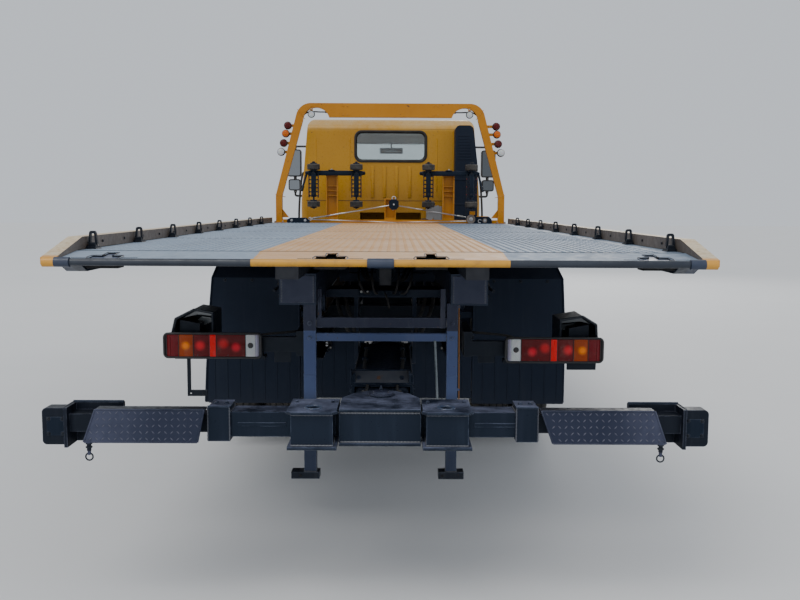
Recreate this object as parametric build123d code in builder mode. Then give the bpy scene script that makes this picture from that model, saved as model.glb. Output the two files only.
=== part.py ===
from build123d import *
from math import atan2, cos, degrees, hypot, radians, sin
import os

os.makedirs("parts", exist_ok=True)

# Flatbed tow truck. Millimetres, +Z up, +Y forward, +X the truck's right side.
# Origin: bottom centre of the whole truck, on the ground.

# ---------------------------------------------------------------- main sizes
TAIL = -3830.0            # rear edge of the deck
DECK_L = 5500.0           # tail edge to headboard
HEAD = TAIL + DECK_L      # plane of the headboard gantry
DECK_Z = 1250.0           # top of the deck plate
DECK_T = 6.0              # deck plate
DECK_IN = 1110.0          # half width of the plate, between the side rails
RAIL_IN, RAIL_OUT = 1112.0, 1165.0
RAIL_TOP, RAIL_BOT = 1298.0, 1200.0
TAIL_LEN, TAIL_DROP = 220.0, 21.0

REAR_AXLE, FRONT_AXLE = -1130.0, 2920.0
TYRE_R, TYRE_W, AXLE_Z = 400.0, 200.0, 400.0
FRONT_X = 820.0                       # centre plane of a front wheel
REAR_X = (650.0, 890.0)               # centre planes of a twin pair
KING_X = 670.0

CAB_BACK, CAB_FRONT = 2220.0, 3900.0
CAB_HALF, CAB_ROOF = 900.0, 2272.0
CAB_WALL = 45.0
NOSE = 3950.0

FRAME_OUT, FRAME_IN = 380.0, 310.0    # chassis side member, web to flange edge
FRAME_BOT, FRAME_TOP = 650.0, 870.0
FRAME_REAR, FRAME_FRONT = -2430.0, 3650.0

TILT_Y, TILT_Z = -2380.0, 930.0       # deck tilt pivot
BEAM_IN, BEAM_OUT = 290.0, 450.0      # tilt frame box beams
BEAM_BOT, BEAM_TOP = 990.0, 1125.0
SLIDE_Z = 1060.0                      # slide cylinder centre

LIFT_X = 200.0
LIFT_FOOT = (-800.0, 580.0)           # lift cylinder foot pin, (y, z)
LIFT_EYE = (-1350.0, 900.0)           # lift cylinder rod eye at rest, (y, z)

BOOM_Y, BOOM_Z = -2180.0, 646.0       # underlift boom pivot
BAR_Y = TAIL + 80                    # crossbar centre
BAR_BOT, BAR_TOP = 609.0, 697.0       # crossbar tube
SWIVEL_Y = TAIL + 170     # crossbar swivel pin
CABPIV_Y, CABPIV_Z = 3760.0, 660.0    # cab tilt pivot


# ---------------------------------------------------------------- shape tools
def block(x0, x1, y0, y1, z0, z1, mode=Mode.ADD):
    """Straight block between two corners."""
    with Locations(((x0 + x1) / 2, (y0 + y1) / 2, (z0 + z1) / 2)):
        Box(abs(x1 - x0), abs(y1 - y0), abs(z1 - z0), mode=mode)


def blocks(x0, x1, y0, y1, z0, z1, mode=Mode.ADD):
    """The same block on both sides of the truck."""
    for s in (-1, 1):
        block(min(s * x0, s * x1), max(s * x0, s * x1), y0, y1, z0, z1, mode)


def outline(pts, r):
    if r:
        FilletPolyline(*pts, radius=r, close=True)
    else:
        Polyline(*pts, close=True)


def prism_x(pts, x0, x1, r=0, mode=Mode.ADD):
    """Profile of (y, z) points, from x0 to x1."""
    with BuildSketch(Plane.YZ.offset(x0)) as sk:
        with BuildLine():
            outline(pts, r)
        make_face()
    extrude(sk.sketch, amount=x1 - x0, dir=(1, 0, 0), mode=mode)


def prism_y(pts, y0, y1, r=0, mode=Mode.ADD):
    """Profile of (x, z) points, from y0 to y1."""
    with BuildSketch(Plane.XZ.offset(-y0)) as sk:
        with BuildLine():
            outline(pts, r)
        make_face()
    extrude(sk.sketch, amount=y1 - y0, dir=(0, 1, 0), mode=mode)


def prism_z(pts, z0, z1, r=0, mode=Mode.ADD):
    """Profile of (x, y) points, from z0 to z1."""
    with BuildSketch(Plane.XY.offset(z0)) as sk:
        with BuildLine():
            outline(pts, r)
        make_face()
    extrude(sk.sketch, amount=z1 - z0, dir=(0, 0, 1), mode=mode)


def rod(p0, p1, r, mode=Mode.ADD):
    """Round bar between two points."""
    v = Vector(*p1) - Vector(*p0)
    with BuildSketch(Plane(origin=p0, z_dir=v)) as sk:
        Circle(r)
    extrude(sk.sketch, amount=v.length, dir=v.normalized(), mode=mode)


def bent(pts, r, bend, mode=Mode.ADD):
    """Round tube along straight runs joined by arcs."""
    with BuildLine() as path:
        FilletPolyline(*pts, radius=bend)
    v = Vector(*pts[1]) - Vector(*pts[0])
    with BuildSketch(Plane(origin=pts[0], z_dir=v)) as sk:
        Circle(r)
    sweep(sk.sketch, path=path.wire(), mode=mode)


def turned(pts, y, z, mode=Mode.ADD):
    """Profile of (x, radius) points turned about the axle line at (y, z)."""
    with BuildSketch(Plane(origin=(0, y, z), x_dir=(1, 0, 0), z_dir=(0, -1, 0))) as sk:
        with BuildLine():
            Polyline(*pts, close=True)
        make_face()
    revolve(sk.sketch, axis=Axis((0, y, z), (1, 0, 0)), mode=mode)


def mirrored(pts):
    return [(-x, z) for x, z in pts]


def save(part, name):
    part.label = name
    export_step(part, "parts/" + name + ".step")


# ================================================================= chassis
RAIL = [(FRAME_OUT, FRAME_BOT), (FRAME_OUT, FRAME_TOP), (FRAME_IN, FRAME_TOP),
        (FRAME_IN, FRAME_TOP - 8), (FRAME_OUT - 8, FRAME_TOP - 8),
        (FRAME_OUT - 8, FRAME_BOT + 8), (FRAME_IN, FRAME_BOT + 8), (FRAME_IN, FRAME_BOT)]
CROSS_Y = (-1750.0, -670.0, 150.0, 950.0, 1780.0, 3560.0)    # cross member centres

with BuildPart() as chassis_frame:
    prism_y(RAIL, FRAME_REAR, FRAME_FRONT)
    prism_y(mirrored(RAIL), FRAME_REAR, FRAME_FRONT)
    for y in CROSS_Y:
        block(-372, 372, y - 35, y + 35, 690, 850)
    for s in (-1, 1):
        # tilt pivot blocks on the rear ends
        x0, x1 = sorted((s * 325, s * 365))
        prism_x([(FRAME_REAR, 862), (TILT_Y + 60, 862), (TILT_Y + 40, TILT_Z + 32),
                 (TILT_Y - 40, TILT_Z + 32), (FRAME_REAR, 900)], x0, x1)
        rod((s * 325, TILT_Y, TILT_Z), (s * 365, TILT_Y, TILT_Z), 44)
        rod((s * 320, TILT_Y, TILT_Z), (s * 370, TILT_Y, TILT_Z), 20.08, Mode.SUBTRACT)
        # cab pivot blocks on the front ends
        block(min(s * 325, s * 365), max(s * 325, s * 365), 3640, CABPIV_Y, 650, 695)
        rod((s * 325, CABPIV_Y, CABPIV_Z), (s * 365, CABPIV_Y, CABPIV_Z), 35)
        rod((s * 320, CABPIV_Y, CABPIV_Z), (s * 370, CABPIV_Y, CABPIV_Z), 18.08, Mode.SUBTRACT)
        # lift cylinder feet, two ears each, below the second cross member
        for x in (165, 225):
            x0, x1 = sorted((s * x, s * (x + 10)))
            prism_x([(LIFT_FOOT[0] - 30, 560), (-640, 690), (-700, 700), (LIFT_FOOT[0] - 20, 620)], x0, x1)
            rod((x0, *LIFT_FOOT), (x1, *LIFT_FOOT), 40)
        rod((s * 160, *LIFT_FOOT), (s * 240, *LIFT_FOOT), 14)
save(chassis_frame.part, "chassis_frame")

with BuildPart() as front_bumper:
    prism_z([(-905, 3800), (-880, 3900), (-780, 3945), (-400, NOSE), (400, NOSE), (780, 3945),
             (880, 3900), (905, 3800), (865, 3800), (840, 3870), (760, 3900), (-760, 3900),
             (-840, 3870), (-865, 3800)], 370, 580)
    for s in (-1, 1):
        x0, x1 = sorted((s * 590, s * 820))
        block(x0, x1, 3896, 3960, 415, 545, Mode.SUBTRACT)
        block(min(s * 330, s * 370), max(s * 330, s * 370), 3600, 3900, 470, 560)
        block(min(s * 330, s * 370), max(s * 330, s * 370), 3560, 3640, 470, 650)
save(front_bumper.part, "front_bumper")

with BuildPart() as headlamps:
    for s in (-1, 1):
        x0, x1 = sorted((s * 594, s * 816))
        block(x0, x1, 3900, 3938, 419, 541)
save(headlamps.part, "headlamps")

with BuildPart() as front_axle:
    prism_y([(-600, 455), (-600, 375), (-480, 345), (-400, 335), (400, 335), (480, 345), (600, 375), (600, 455),
             (480, 420), (400, 410), (-400, 410), (-480, 420)], FRONT_AXLE - 32, FRONT_AXLE + 32)
    for s in (-1, 1):
        block(min(s * 595, s * KING_X), max(s * 595, s * KING_X), FRONT_AXLE - 28, FRONT_AXLE + 28, 375, 425)
        rod((s * KING_X, FRONT_AXLE, 372), (s * KING_X, FRONT_AXLE, 428), 38)
        rod((s * KING_X, FRONT_AXLE, 300), (s * KING_X, FRONT_AXLE, 500), 18.08, Mode.SUBTRACT)
save(front_axle.part, "front_axle")

with BuildPart() as rear_axle:
    rod((-540, REAR_AXLE, AXLE_Z), (540, REAR_AXLE, AXLE_Z), 58)
    rod((-760, REAR_AXLE, AXLE_Z), (760, REAR_AXLE, AXLE_Z), 40)
    for s in (-1, 1):
        rod((s * 480, REAR_AXLE, AXLE_Z), (s * 505, REAR_AXLE, AXLE_Z), 150)
    with BuildSketch(Plane(origin=(0, REAR_AXLE - 125, AXLE_Z), z_dir=(0, 1, 0))) as sk0:
        Circle(110)
    with BuildSketch(Plane(origin=(0, REAR_AXLE - 60, AXLE_Z), z_dir=(0, 1, 0))) as sk1:
        Circle(165)
    loft([sk0.sketch.faces()[0], sk1.sketch.faces()[0]])
    rod((0, REAR_AXLE - 60, AXLE_Z), (0, REAR_AXLE + 60, AXLE_Z), 165)
    with BuildSketch(Plane(origin=(0, REAR_AXLE + 60, AXLE_Z), z_dir=(0, 1, 0))) as sk2:
        Circle(165)
    with BuildSketch(Plane(origin=(0, REAR_AXLE + 240, AXLE_Z + 25), z_dir=(0, 1, 0))) as sk3:
        Circle(60)
    loft([sk2.sketch.faces()[0], sk3.sketch.faces()[0]])
    for s in (-1, 1):
        block(min(s * 325, s * 395), max(s * 325, s * 395), REAR_AXLE - 60, REAR_AXLE + 60, 430, 470)
save(rear_axle.part, "rear_axle")


# columns: axle station, half length, top of the pack at its middle, at its ends, pack thickness
SPRINGS = [(FRONT_AXLE, 560, 470, 600, 60 - 5), (REAR_AXLE, 620, 540, 610, 70)]
with BuildPart() as leaf_springs:
    for yc, half, zm, ze, th in SPRINGS:
        for s in (-1, 1):
            x0, x1 = sorted((s * 325, s * 395))
            with BuildSketch(Plane.YZ.offset(x0)) as sk:
                with BuildLine():
                    ThreePointArc((yc - half, ze), (yc, zm), (yc + half, ze))
                    Line((yc + half, ze), (yc + half, ze - 14))
                    ThreePointArc((yc + half, ze - 14), (yc, zm - th), (yc - half, ze - 14))
                    Line((yc - half, ze - 14), (yc - half, ze))
                make_face()
            extrude(sk.sketch, amount=70, dir=(1, 0, 0))
            for e in (-1, 1):
                yy = yc + e * half
                block(x0, x1, yy - 20, yy + 20, ze - 18, FRAME_BOT)
            rod((x0, yc - half, ze - 6), (x1, yc - half, ze - 6), 24)
            rod((x0, yc + half, ze - 6), (x1, yc + half, ze - 6), 24)
save(leaf_springs.part, "leaf_springs")

with BuildPart() as engine_block:
    block(-250, 250, 2300, 3180, 560, 1100)
save(engine_block.part, "engine_block")

with BuildPart() as propshaft:
    with BuildSketch(Plane.XZ.offset(-2300)) as bell0:
        with Locations((0, 640)):
            RectangleRounded(400, 300, 60)
    with BuildSketch(Plane.XZ.offset(-1880)) as bell1:
        with Locations((0, 630)):
            RectangleRounded(220, 200, 50)
    loft([bell0.sketch.faces()[0], bell1.sketch.faces()[0]])
    rod((0, 1885, 620), (0, 1790, 614), 55)
    rod((0, 1795, 614), (0, REAR_AXLE + 246, 426), 42)
save(propshaft.part, "propshaft")

with BuildPart() as fuel_tank:
    prism_y([(430, 420), (860, 420), (860, 800), (430, 800)], 560, 1420, r=60)
    for y in (640, 1290):
        prism_y([(380, 670), (426, 670), (426, 414), (866, 414), (866, 806), (380, 806)], y, y + 50)
        prism_y([(430, 420), (860, 420), (860, 800), (430, 800)], y, y + 50, r=60)
save(fuel_tank.part, "fuel_tank")

with BuildPart() as battery_box:
    block(-860, -430, 880, 1460, 440, 790)
    block(-430, -380, 950, 1390, 680, 790)
    block(-870, -425, 870, 1470, 790, 815)
save(battery_box.part, "battery_box")

with BuildPart() as hydraulic_tank:
    prism_z([(352, 1935), (500, 1935), (500, 2150), (352, 2150)], 900, 1408, r=25)
    block(330, 380, 1950, 2130, FRAME_TOP, 900)
    rod((400, 1990, 1408), (400, 1990, 1432), 24)
save(hydraulic_tank.part, "hydraulic_tank")

with BuildPart() as air_intake:
    prism_y([(626, 1100), (848, 1100), (848, 1800), (800, 2190), (626, 2190)], 2000, 2180, r=48)
    rod((700, 2085, 1105), (700, 2085, 790), 60)
    block(380, 700, 2062, 2108, 800, 850)
save(air_intake.part, "air_intake")

GUARD_IN, GUARD_OUT = 500.0, 1060.0
# outer edge of each mudguard seen from behind, (x, z) from its foot to its top
GUARD_EDGE = {-1: [(1056, 260), (1034, 694), (1010, 985), (986, 1071), (986, 1090)],
              1: [(1036, 260), (1038, 668), (1019, 1010), (992, 1071), (992, 1090)]}
with BuildPart() as rear_mudguards:
    for s in (-1, 1):
        x0, x1 = sorted((s * GUARD_IN, s * GUARD_OUT))
        # bent cover over the twin wheels, open below
        prism_x([(-1700, 270), (-1700, 1000), (-1630, 1070), (-640, 1070), (-560, 1000), (-560, 560),
                 (-568, 560), (-568, 996), (-644, 1062), (-1626, 1062), (-1692, 996), (-1692, 270)], x0, x1)
        # stays from the chassis side members
        for y in (-1692.0, -605.0):
            block(min(s * 380, s * 520), max(s * 380, s * 520), y, y + 36, 770, 806)
        block(min(s * 500, s * 520), max(s * 500, s * 520), -1692, -1656, 770, 1062)
        block(min(s * 500, s * 520), max(s * 500, s * 520), -605, -568, 770, 1000)
        prism_y([(s * x, z) for x, z in GUARD_EDGE[s] + [(1100, 1090), (1100, 260)]], -1710, -550, mode=Mode.SUBTRACT)
save(rear_mudguards.part, "rear_mudguards")

LAMP_Y = -2680.0
with BuildPart() as tail_lamps:
    for s, a, b, z in ((-1, 583, 1040, 698), (1, 574, 1035, 682)):
        x0, x1 = sorted((s * a, s * b))
        prism_y([(x0, z), (x1, z), (x1, z + 115), (x0, z + 115)], LAMP_Y, LAMP_Y + 48, r=18)
save(tail_lamps.part, "tail_lamps")

# sheet guards beside the lamps, (x, z): outside of each from its inner edge, then back along its inside
HOOD = {-1: [(815, 908), (905, 924), (996, 878), (1013, 808), (1013, 780)],
        1: [(836, 879), (946, 898), (1012, 858), (1016, 799), (1016, 764)]}
HOOD_INSIDE = {-1: [(1005, 780), (1005, 807), (989, 873), (904, 915), (823, 901), (823, 780), (815, 780)],
               1: [(1008, 764), (1008, 797), (1005, 853), (945, 889), (844, 872), (844, 764), (836, 764)]}
with BuildPart() as lamp_brackets:
    for s in (-1, 1):
        d = 0 if s < 0 else -16
        block(min(s * 380, s * 420), max(s * 380, s * 420), -2632, -2250, 700, 820)
        block(min(s * 380, s * 1010), max(s * 380, s * 1010), -2632, -2592, 720 + d, 790 + d)
        # bent sheet guard over the outer end of each lamp, open to the rear
        prism_y([(s * x, z) for x, z in HOOD[s] + HOOD_INSIDE[s]], -2632, -2420)
        prism_y([(s * x, z) for x, z in HOOD[s] + HOOD_INSIDE[s][-1:]], -2428, -2420)
        # sloping sheets inside it and the flange below the lamp
        prism_y([(s * x, z + d) for x, z in ((886, 850), (981, 868), (981, 780), (886, 780))], -2600, -2420)
        block(min(s * 570, s * 1000), max(s * 570, s * 1000), -2632, -2560, 684 + d, 700 + d)
        block(min(s * 880, s * 900), max(s * 880, s * 900), -2632, -2600, 684 + d, 780 + d)
        block(min(s * 580, s * 600), max(s * 580, s * 600), -2632, -2600, 684 + d, 780 + d)
    # number plate frame below the left lamp
    block(-943, -927, -2632, -2620, 504, 700)
    block(-943, -850, -2632, -2620, 504, 533)
    block(-934, -922, -2640, -2610, 512, 520, Mode.SUBTRACT)
    # small sheet below the right lamp
    block(873, 1012, -2632, -2626, 640, 690)
save(lamp_brackets.part, "lamp_brackets")

with BuildPart() as side_guards:
    for s in (-1, 1):
        for z in (500, 740):
            block(min(s * 960, s * 985), max(s * 960, s * 985), -480, 2190, z, z + 90)
        for y in (-430, 400, 1540, 1980):
            block(min(s * 935, s * 960), max(s * 935, s * 960), y, y + 40, 500, 830)
            block(min(s * 380, s * 935), max(s * 380, s * 935), y, y + 40, 770, 820)
save(side_guards.part, "side_guards")

with BuildPart() as exhaust:
    rod((-570, 1640, 520), (-570, 2140, 520), 100)
    bent([(-570, 2140, 520), (-570, 2240, 520), (-420, 2296, 585), (-256, 2316, 592)], 24, 40)
    bent([(-570, 1640, 520), (-570, 1560, 520), (-800, 1560, 470), (-905, 1560, 440)], 30, 35)
    block(-420, -380, 1840, 1900, 655, 700)
    block(-600, -380, 1840, 1900, 612, 660)
save(exhaust.part, "exhaust")


# ================================================================= wheels
TYRE = [(-75, 206), (-75, 226), (-97, 262), (-100, 305), (-93, 368), (-80, 390), (-62, 400),
        (62, 400), (80, 390), (93, 368), (100, 305), (97, 262), (75, 226), (75, 206)]
# steel wheel, dish to +x: rim barrel, dish, hub face
RIM = [(-84, 222), (-77, 222), (-77, 205), (77, 205), (77, 222), (84, 222), (84, 194),
       (58, 186), (46, 150), (62, 112), (62, 75), (48, 75), (48, 106), (32, 146), (40, 186), (-84, 194)]
HAND_HOLES = 8


def tyre_at(x, y):
    turned([(x + a, r) for a, r in TYRE], y, AXLE_Z)


def rim_at(x, y, s):
    turned([(x + s * a, r) for a, r in RIM], y, AXLE_Z)
    with BuildPart(mode=Mode.PRIVATE) as holes:
        for k in range(HAND_HOLES):
            a = radians(360 / HAND_HOLES * k)
            rod((x + s * 20, y + 166 * cos(a), AXLE_Z + 166 * sin(a)),
                (x + s * 80, y + 166 * cos(a), AXLE_Z + 166 * sin(a)), 17)
    add(holes.part, mode=Mode.SUBTRACT)


SIDES = (("left", -1), ("right", 1))
for side, s in SIDES:
    with BuildPart() as tyre:
        tyre_at(s * FRONT_X, FRONT_AXLE)
    save(tyre.part, "front_tyre_" + side)
    with BuildPart() as rim:
        rim_at(s * FRONT_X, FRONT_AXLE, s)
        # hub and cap around the spindle
        turned([(s * (FRONT_X - 60), 31), (s * (FRONT_X - 60), 100), (s * (FRONT_X - 30), 100),
                (s * (FRONT_X - 30), 80), (s * (FRONT_X + 62), 80), (s * (FRONT_X + 62), 52),
                (s * (FRONT_X + 98), 46), (s * (FRONT_X + 98), 0.0), (s * (FRONT_X + 60), 0.0),
                (s * (FRONT_X + 60), 31)], FRONT_AXLE, AXLE_Z)
    save(rim.part, "front_wheel_" + side)
    with BuildPart() as twins:
        for x in REAR_X:
            tyre_at(s * x, REAR_AXLE)
    save(twins.part, "rear_tyres_" + side)
    with BuildPart() as twin_rims:
        rim_at(s * REAR_X[0], REAR_AXLE, s)
        rim_at(s * REAR_X[1], REAR_AXLE, -s)
        # drum and hub between the two dishes, with the axle flange outside
        turned([(s * 530, 60), (s * 530, 172), (s * 700, 172), (s * 700, 110), (s * 840, 110),
                (s * 840, 88), (s * 905, 82), (s * 905, 0.0), (s * 780, 0.0), (s * 780, 41), (s * 542, 41),
                (s * 542, 60)], REAR_AXLE, AXLE_Z)
        block(min(s * 700, s * 840), max(s * 700, s * 840), REAR_AXLE - 20, REAR_AXLE + 20, 460, 500)
    save(twin_rims.part, "rear_wheels_" + side)

    with BuildPart() as knuckle:
        rod((s * KING_X, FRONT_AXLE, 320), (s * KING_X, FRONT_AXLE, 480), 18)
        for z0, z1 in ((325, 366), (434, 475)):
            rod((s * KING_X, FRONT_AXLE, z0), (s * KING_X, FRONT_AXLE, z1), 34)
            block(min(s * KING_X, s * 735), max(s * KING_X, s * 735), FRONT_AXLE - 32, FRONT_AXLE + 32, z0, z1)
        block(min(s * 715, s * 738), max(s * 715, s * 738), FRONT_AXLE - 55, FRONT_AXLE + 55, 325, 475)
        rod((s * 735, FRONT_AXLE, AXLE_Z), (s * (FRONT_X + 50), FRONT_AXLE, AXLE_Z), 30)
        # steering arm to the rear
        block(min(s * 655, s * 690), max(s * 655, s * 690), FRONT_AXLE - 190, FRONT_AXLE - 20, 330, 352)
    save(knuckle.part, "front_knuckle_" + side)


# ================================================================= cab
# side view of the cab, (y, z), with the corner radius at each point
CAB_SIDE = [(CAB_BACK, 790, 30), (CAB_BACK, 2190, 80), (CAB_BACK + 120, CAB_ROOF, 160), (3560, CAB_ROOF, 110),
            (3655, 2190, 60), (3868, 1375, 60), (3898, 1180, 80), (CAB_FRONT, 720, 30)]
# rear view, (x, z)
CAB_REAR = [(-CAB_HALF, 700, 20), (-CAB_HALF, 1380, 150), (-818, CAB_ROOF + 6, 95), (818, CAB_ROOF + 6, 95),
            (CAB_HALF, 1380, 150), (CAB_HALF, 700, 20)]
# plan, (x, y)
CAB_PLAN = [(-CAB_HALF + 4, CAB_BACK, 75), (-CAB_HALF, 3300, 300), (-CAB_HALF + 18, CAB_FRONT - 40, 150),
            (-300, CAB_FRONT + 4, 800), (300, CAB_FRONT + 4, 800), (CAB_HALF - 18, CAB_FRONT - 40, 150),
            (CAB_HALF, 3300, 300), (CAB_HALF - 4, CAB_BACK, 75)]


def cab_form(inset):
    """The cab's outer form, drawn in by a wall thickness."""
    with BuildPart(mode=Mode.PRIVATE) as form:
        with BuildSketch(Plane.YZ.offset(-1000)) as sk:
            with BuildLine():
                FilletPolyline(*[(a, b) for a, b, r in CAB_SIDE], radius=[r for a, b, r in CAB_SIDE], close=True)
            make_face()
            if inset:
                offset(amount=-inset, kind=Kind.INTERSECTION, mode=Mode.REPLACE)
        extrude(sk.sketch, amount=2000, dir=(1, 0, 0))
        with BuildSketch(Plane.XZ.offset(-2000)) as sk:
            with BuildLine():
                FilletPolyline(*[(a, b) for a, b, r in CAB_REAR], radius=[r for a, b, r in CAB_REAR], close=True)
            make_face()
            if inset:
                offset(amount=-inset, kind=Kind.INTERSECTION, mode=Mode.REPLACE)
        extrude(sk.sketch, amount=2200, dir=(0, 1, 0), mode=Mode.INTERSECT)
        with BuildSketch(Plane.XY.offset(500)) as sk:
            with BuildLine():
                FilletPolyline(*[(a, b) for a, b, r in CAB_PLAN], radius=[r for a, b, r in CAB_PLAN], close=True)
            make_face()
            if inset:
                offset(amount=-inset, kind=Kind.INTERSECTION, mode=Mode.REPLACE)
        extrude(sk.sketch, amount=2000, dir=(0, 0, 1), mode=Mode.INTERSECT)
    return form.part


cab_outer = cab_form(0)
cab_inner = cab_form(CAB_WALL)
glass_outer = cab_form(16)
glass_inner = cab_form(23)

# door outline and its window, (y, z)
DOOR = [(2500, 968), (3570, 968), (3570, 1375), (3405, 2110), (2575, 2110), (2500, 2040)]
DOOR_GLASS = [(2575, 1440), (3480, 1440), (3350, 2040), (2620, 2040), (2575, 2000)]
REAR_GLASS = [(-350, 1852), (350, 1852), (350, 2144), (-350, 2144)]
SCREEN = [(-742, 1440), (742, 1440), (700, 2128), (-700, 2128)]
TUNNEL = [(2150, 500), (2150, 1345), (2520, 1345), (2680, 1160), (3280, 1130), (3340, 1000), (3340, 500)]
HUMP = [(2266, 960), (2266, 1380), (2540, 1380), (2710, 1195), (3300, 1168), (3380, 1010), (3380, 960)]
ARCH_R = 530.0

with BuildPart() as cab_shell:
    add(cab_outer)
    with BuildPart(mode=Mode.PRIVATE) as hollow:
        add(cab_inner)
        block(-1000, 1000, 2000, 4200, 500, 975, Mode.SUBTRACT)
    add(hollow.part, mode=Mode.SUBTRACT)
    with BuildPart(mode=Mode.PRIVATE) as skirt:
        add(cab_inner)
        block(-1000, 1000, 2000, 4200, 935, 2600, Mode.SUBTRACT)
        prism_z([(-850, 2266), (850, 2266), (850, 3700), (-850, 3700)], 600, 935)
    add(skirt.part, mode=Mode.SUBTRACT)
    block(-855, 855, 2270, 3848, 700, 780, Mode.SUBTRACT)
    prism_x(HUMP, -345, 345)
    prism_x(TUNNEL, -305, 305, mode=Mode.SUBTRACT)
    block(-430, 430, 2150, 2300, 500, 930, Mode.SUBTRACT)
    # wheel arches through the side skirts
    for s in (-1, 1):
        rod((s * 800, FRONT_AXLE, AXLE_Z), (s * 950, FRONT_AXLE, AXLE_Z), ARCH_R, Mode.SUBTRACT)
        prism_x(DOOR, min(s * 600, s * 1000), max(s * 600, s * 1000), r=40, mode=Mode.SUBTRACT)
    prism_y(REAR_GLASS, 2150, 2330, r=62, mode=Mode.SUBTRACT)
    prism_y(SCREEN, 3500, 4000, r=60, mode=Mode.SUBTRACT)
    for s in (-1, 1):
        # tilt hinge lugs with their pin
        for x in (300, 370):
            x0, x1 = sorted((s * x, s * (x + 20)))
            prism_x([(CABPIV_Y - 35, CABPIV_Z), (CABPIV_Y + 35, CABPIV_Z), (CABPIV_Y + 60, 937), (CABPIV_Y - 60, 937)], x0, x1)
            rod((x0, CABPIV_Y, CABPIV_Z), (x1, CABPIV_Y, CABPIV_Z), 35)
        rod((s * 300, CABPIV_Y, CABPIV_Z), (s * 390, CABPIV_Y, CABPIV_Z), 18)
save(cab_shell.part, "cab_shell")

with BuildPart() as cab_glass:
    with BuildPart(mode=Mode.PRIVATE) as pane:
        add(glass_outer)
        add(glass_inner, mode=Mode.SUBTRACT)
    with BuildPart(mode=Mode.PRIVATE) as rear_pane:
        add(pane.part)
        with BuildSketch(Plane.XZ.offset(-2150)) as sk:
            with BuildLine():
                FilletPolyline(*REAR_GLASS, radius=62, close=True)
            make_face()
            offset(amount=-1, mode=Mode.REPLACE)
        extrude(sk.sketch, amount=180, dir=(0, 1, 0), mode=Mode.INTERSECT)
    with BuildPart(mode=Mode.PRIVATE) as front_pane:
        add(pane.part)
        with BuildSketch(Plane.XZ.offset(-3450)) as sk:
            with BuildLine():
                FilletPolyline(*SCREEN, radius=60, close=True)
            make_face()
            offset(amount=-1, mode=Mode.REPLACE)
        extrude(sk.sketch, amount=600, dir=(0, 1, 0), mode=Mode.INTERSECT)
    add(rear_pane.part)
    add(front_pane.part)
save(cab_glass.part, "cab_glass")

for side, s in SIDES:
    x0, x1 = sorted((s * 600, s * 1000))
    with BuildPart() as door:
        with BuildSketch(Plane.YZ.offset(x0)) as sk:
            with BuildLine():
                FilletPolyline(*DOOR, radius=40, close=True)
            make_face()
            offset(amount=-6, mode=Mode.REPLACE)
        extrude(sk.sketch, amount=400, dir=(1, 0, 0))
        add(cab_outer, mode=Mode.INTERSECT)
        add(cab_inner, mode=Mode.SUBTRACT)
        prism_x(DOOR_GLASS, x0, x1, r=40, mode=Mode.SUBTRACT)
    save(door.part, "door_" + side)
    with BuildPart() as door_glass:
        with BuildSketch(Plane.YZ.offset(x0)) as sk:
            with BuildLine():
                FilletPolyline(*DOOR_GLASS, radius=40, close=True)
            make_face()
            offset(amount=-1, mode=Mode.REPLACE)
        extrude(sk.sketch, amount=400, dir=(1, 0, 0))
        add(glass_outer, mode=Mode.INTERSECT)
        add(glass_inner, mode=Mode.SUBTRACT)
    save(door_glass.part, "door_glass_" + side)

with BuildPart() as seats:
    for s in (-1, 1):
        x0, x1 = sorted((s * 365, s * 780))
        block(x0, x1, 2460, 2900, 975, 1190)
        prism_x([(2400, 1190), (2930, 1190), (2950, 1330), (2560, 1325), (2400, 1310)], x0, x1, r=30)
        prism_x([(2400, 1312), (2545, 1327), (2430, 1880), (2330, 1880)], x0, x1, r=30)
        prism_x([(2345, 1890), (2430, 1890), (2410, 2040), (2335, 2040)],
                min(s * 470, s * 710), max(s * 470, s * 710), r=25)
        block(min(s * 570, s * 610), max(s * 570, s * 610), 2372, 2392, 1870, 1900)
save(seats.part, "seats")

with BuildPart() as dashboard:
    prism_x([(3845, 980), (3845, 1240), (3835, 1380), (3560, 1400), (3470, 1330), (3480, 1200), (3640, 1120), (3700, 980)],
            -800, 800)
    add(cab_inner, mode=Mode.INTERSECT)
save(dashboard.part, "dashboard")

WHEEL_AT = (-500.0, 3290.0, 1400.0)
with BuildPart() as steering_wheel:
    lean = Plane(origin=WHEEL_AT, x_dir=(1, 0, 0), z_dir=(0, -0.64, 0.77))
    with Locations(lean):
        Torus(192, 14)
        Cylinder(45, 30)
        Box(380, 34, 12)
        with Locations((0, -95, 0)):
            Box(34, 190, 12)
    rod((WHEEL_AT[0], WHEEL_AT[1], WHEEL_AT[2]),
        (WHEEL_AT[0], WHEEL_AT[1] + 0.64 * 215, WHEEL_AT[2] - 0.77 * 215), 26)
save(steering_wheel.part, "steering_wheel")

# mirrors: columns x0, x1, z0, z1 of the two heads on each side
MIRROR_HEADS = [(1036, 1200, 1740, 2050), (1045, 1185, 1580, 1712)]
MIRROR_Y = 3690.0
with BuildPart() as mirrors:
    for s in (-1, 1):
        for a, b, c, d in MIRROR_HEADS:
            x0, x1 = sorted((s * a, s * b))
            prism_y([(x0, c), (x1, c), (x1, d), (x0, d)], MIRROR_Y - 40, MIRROR_Y + 45, r=28)
        bent([(s * 838, 3655, 2000), (s * 900, 3670, 2085), (s * 1110, 3690, 2085), (s * 1110, 3690, 2040)], 12, 20)
        bent([(s * 872, 3700, 1520), (s * 930, 3700, 1520), (s * 1110, 3690, 1520), (s * 1110, 3690, 1600)], 12, 20)
        rod((s * 1110, 3690, 1700), (s * 1110, 3690, 1750), 12)
    add(cab_outer, mode=Mode.SUBTRACT)
save(mirrors.part, "mirrors")


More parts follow.
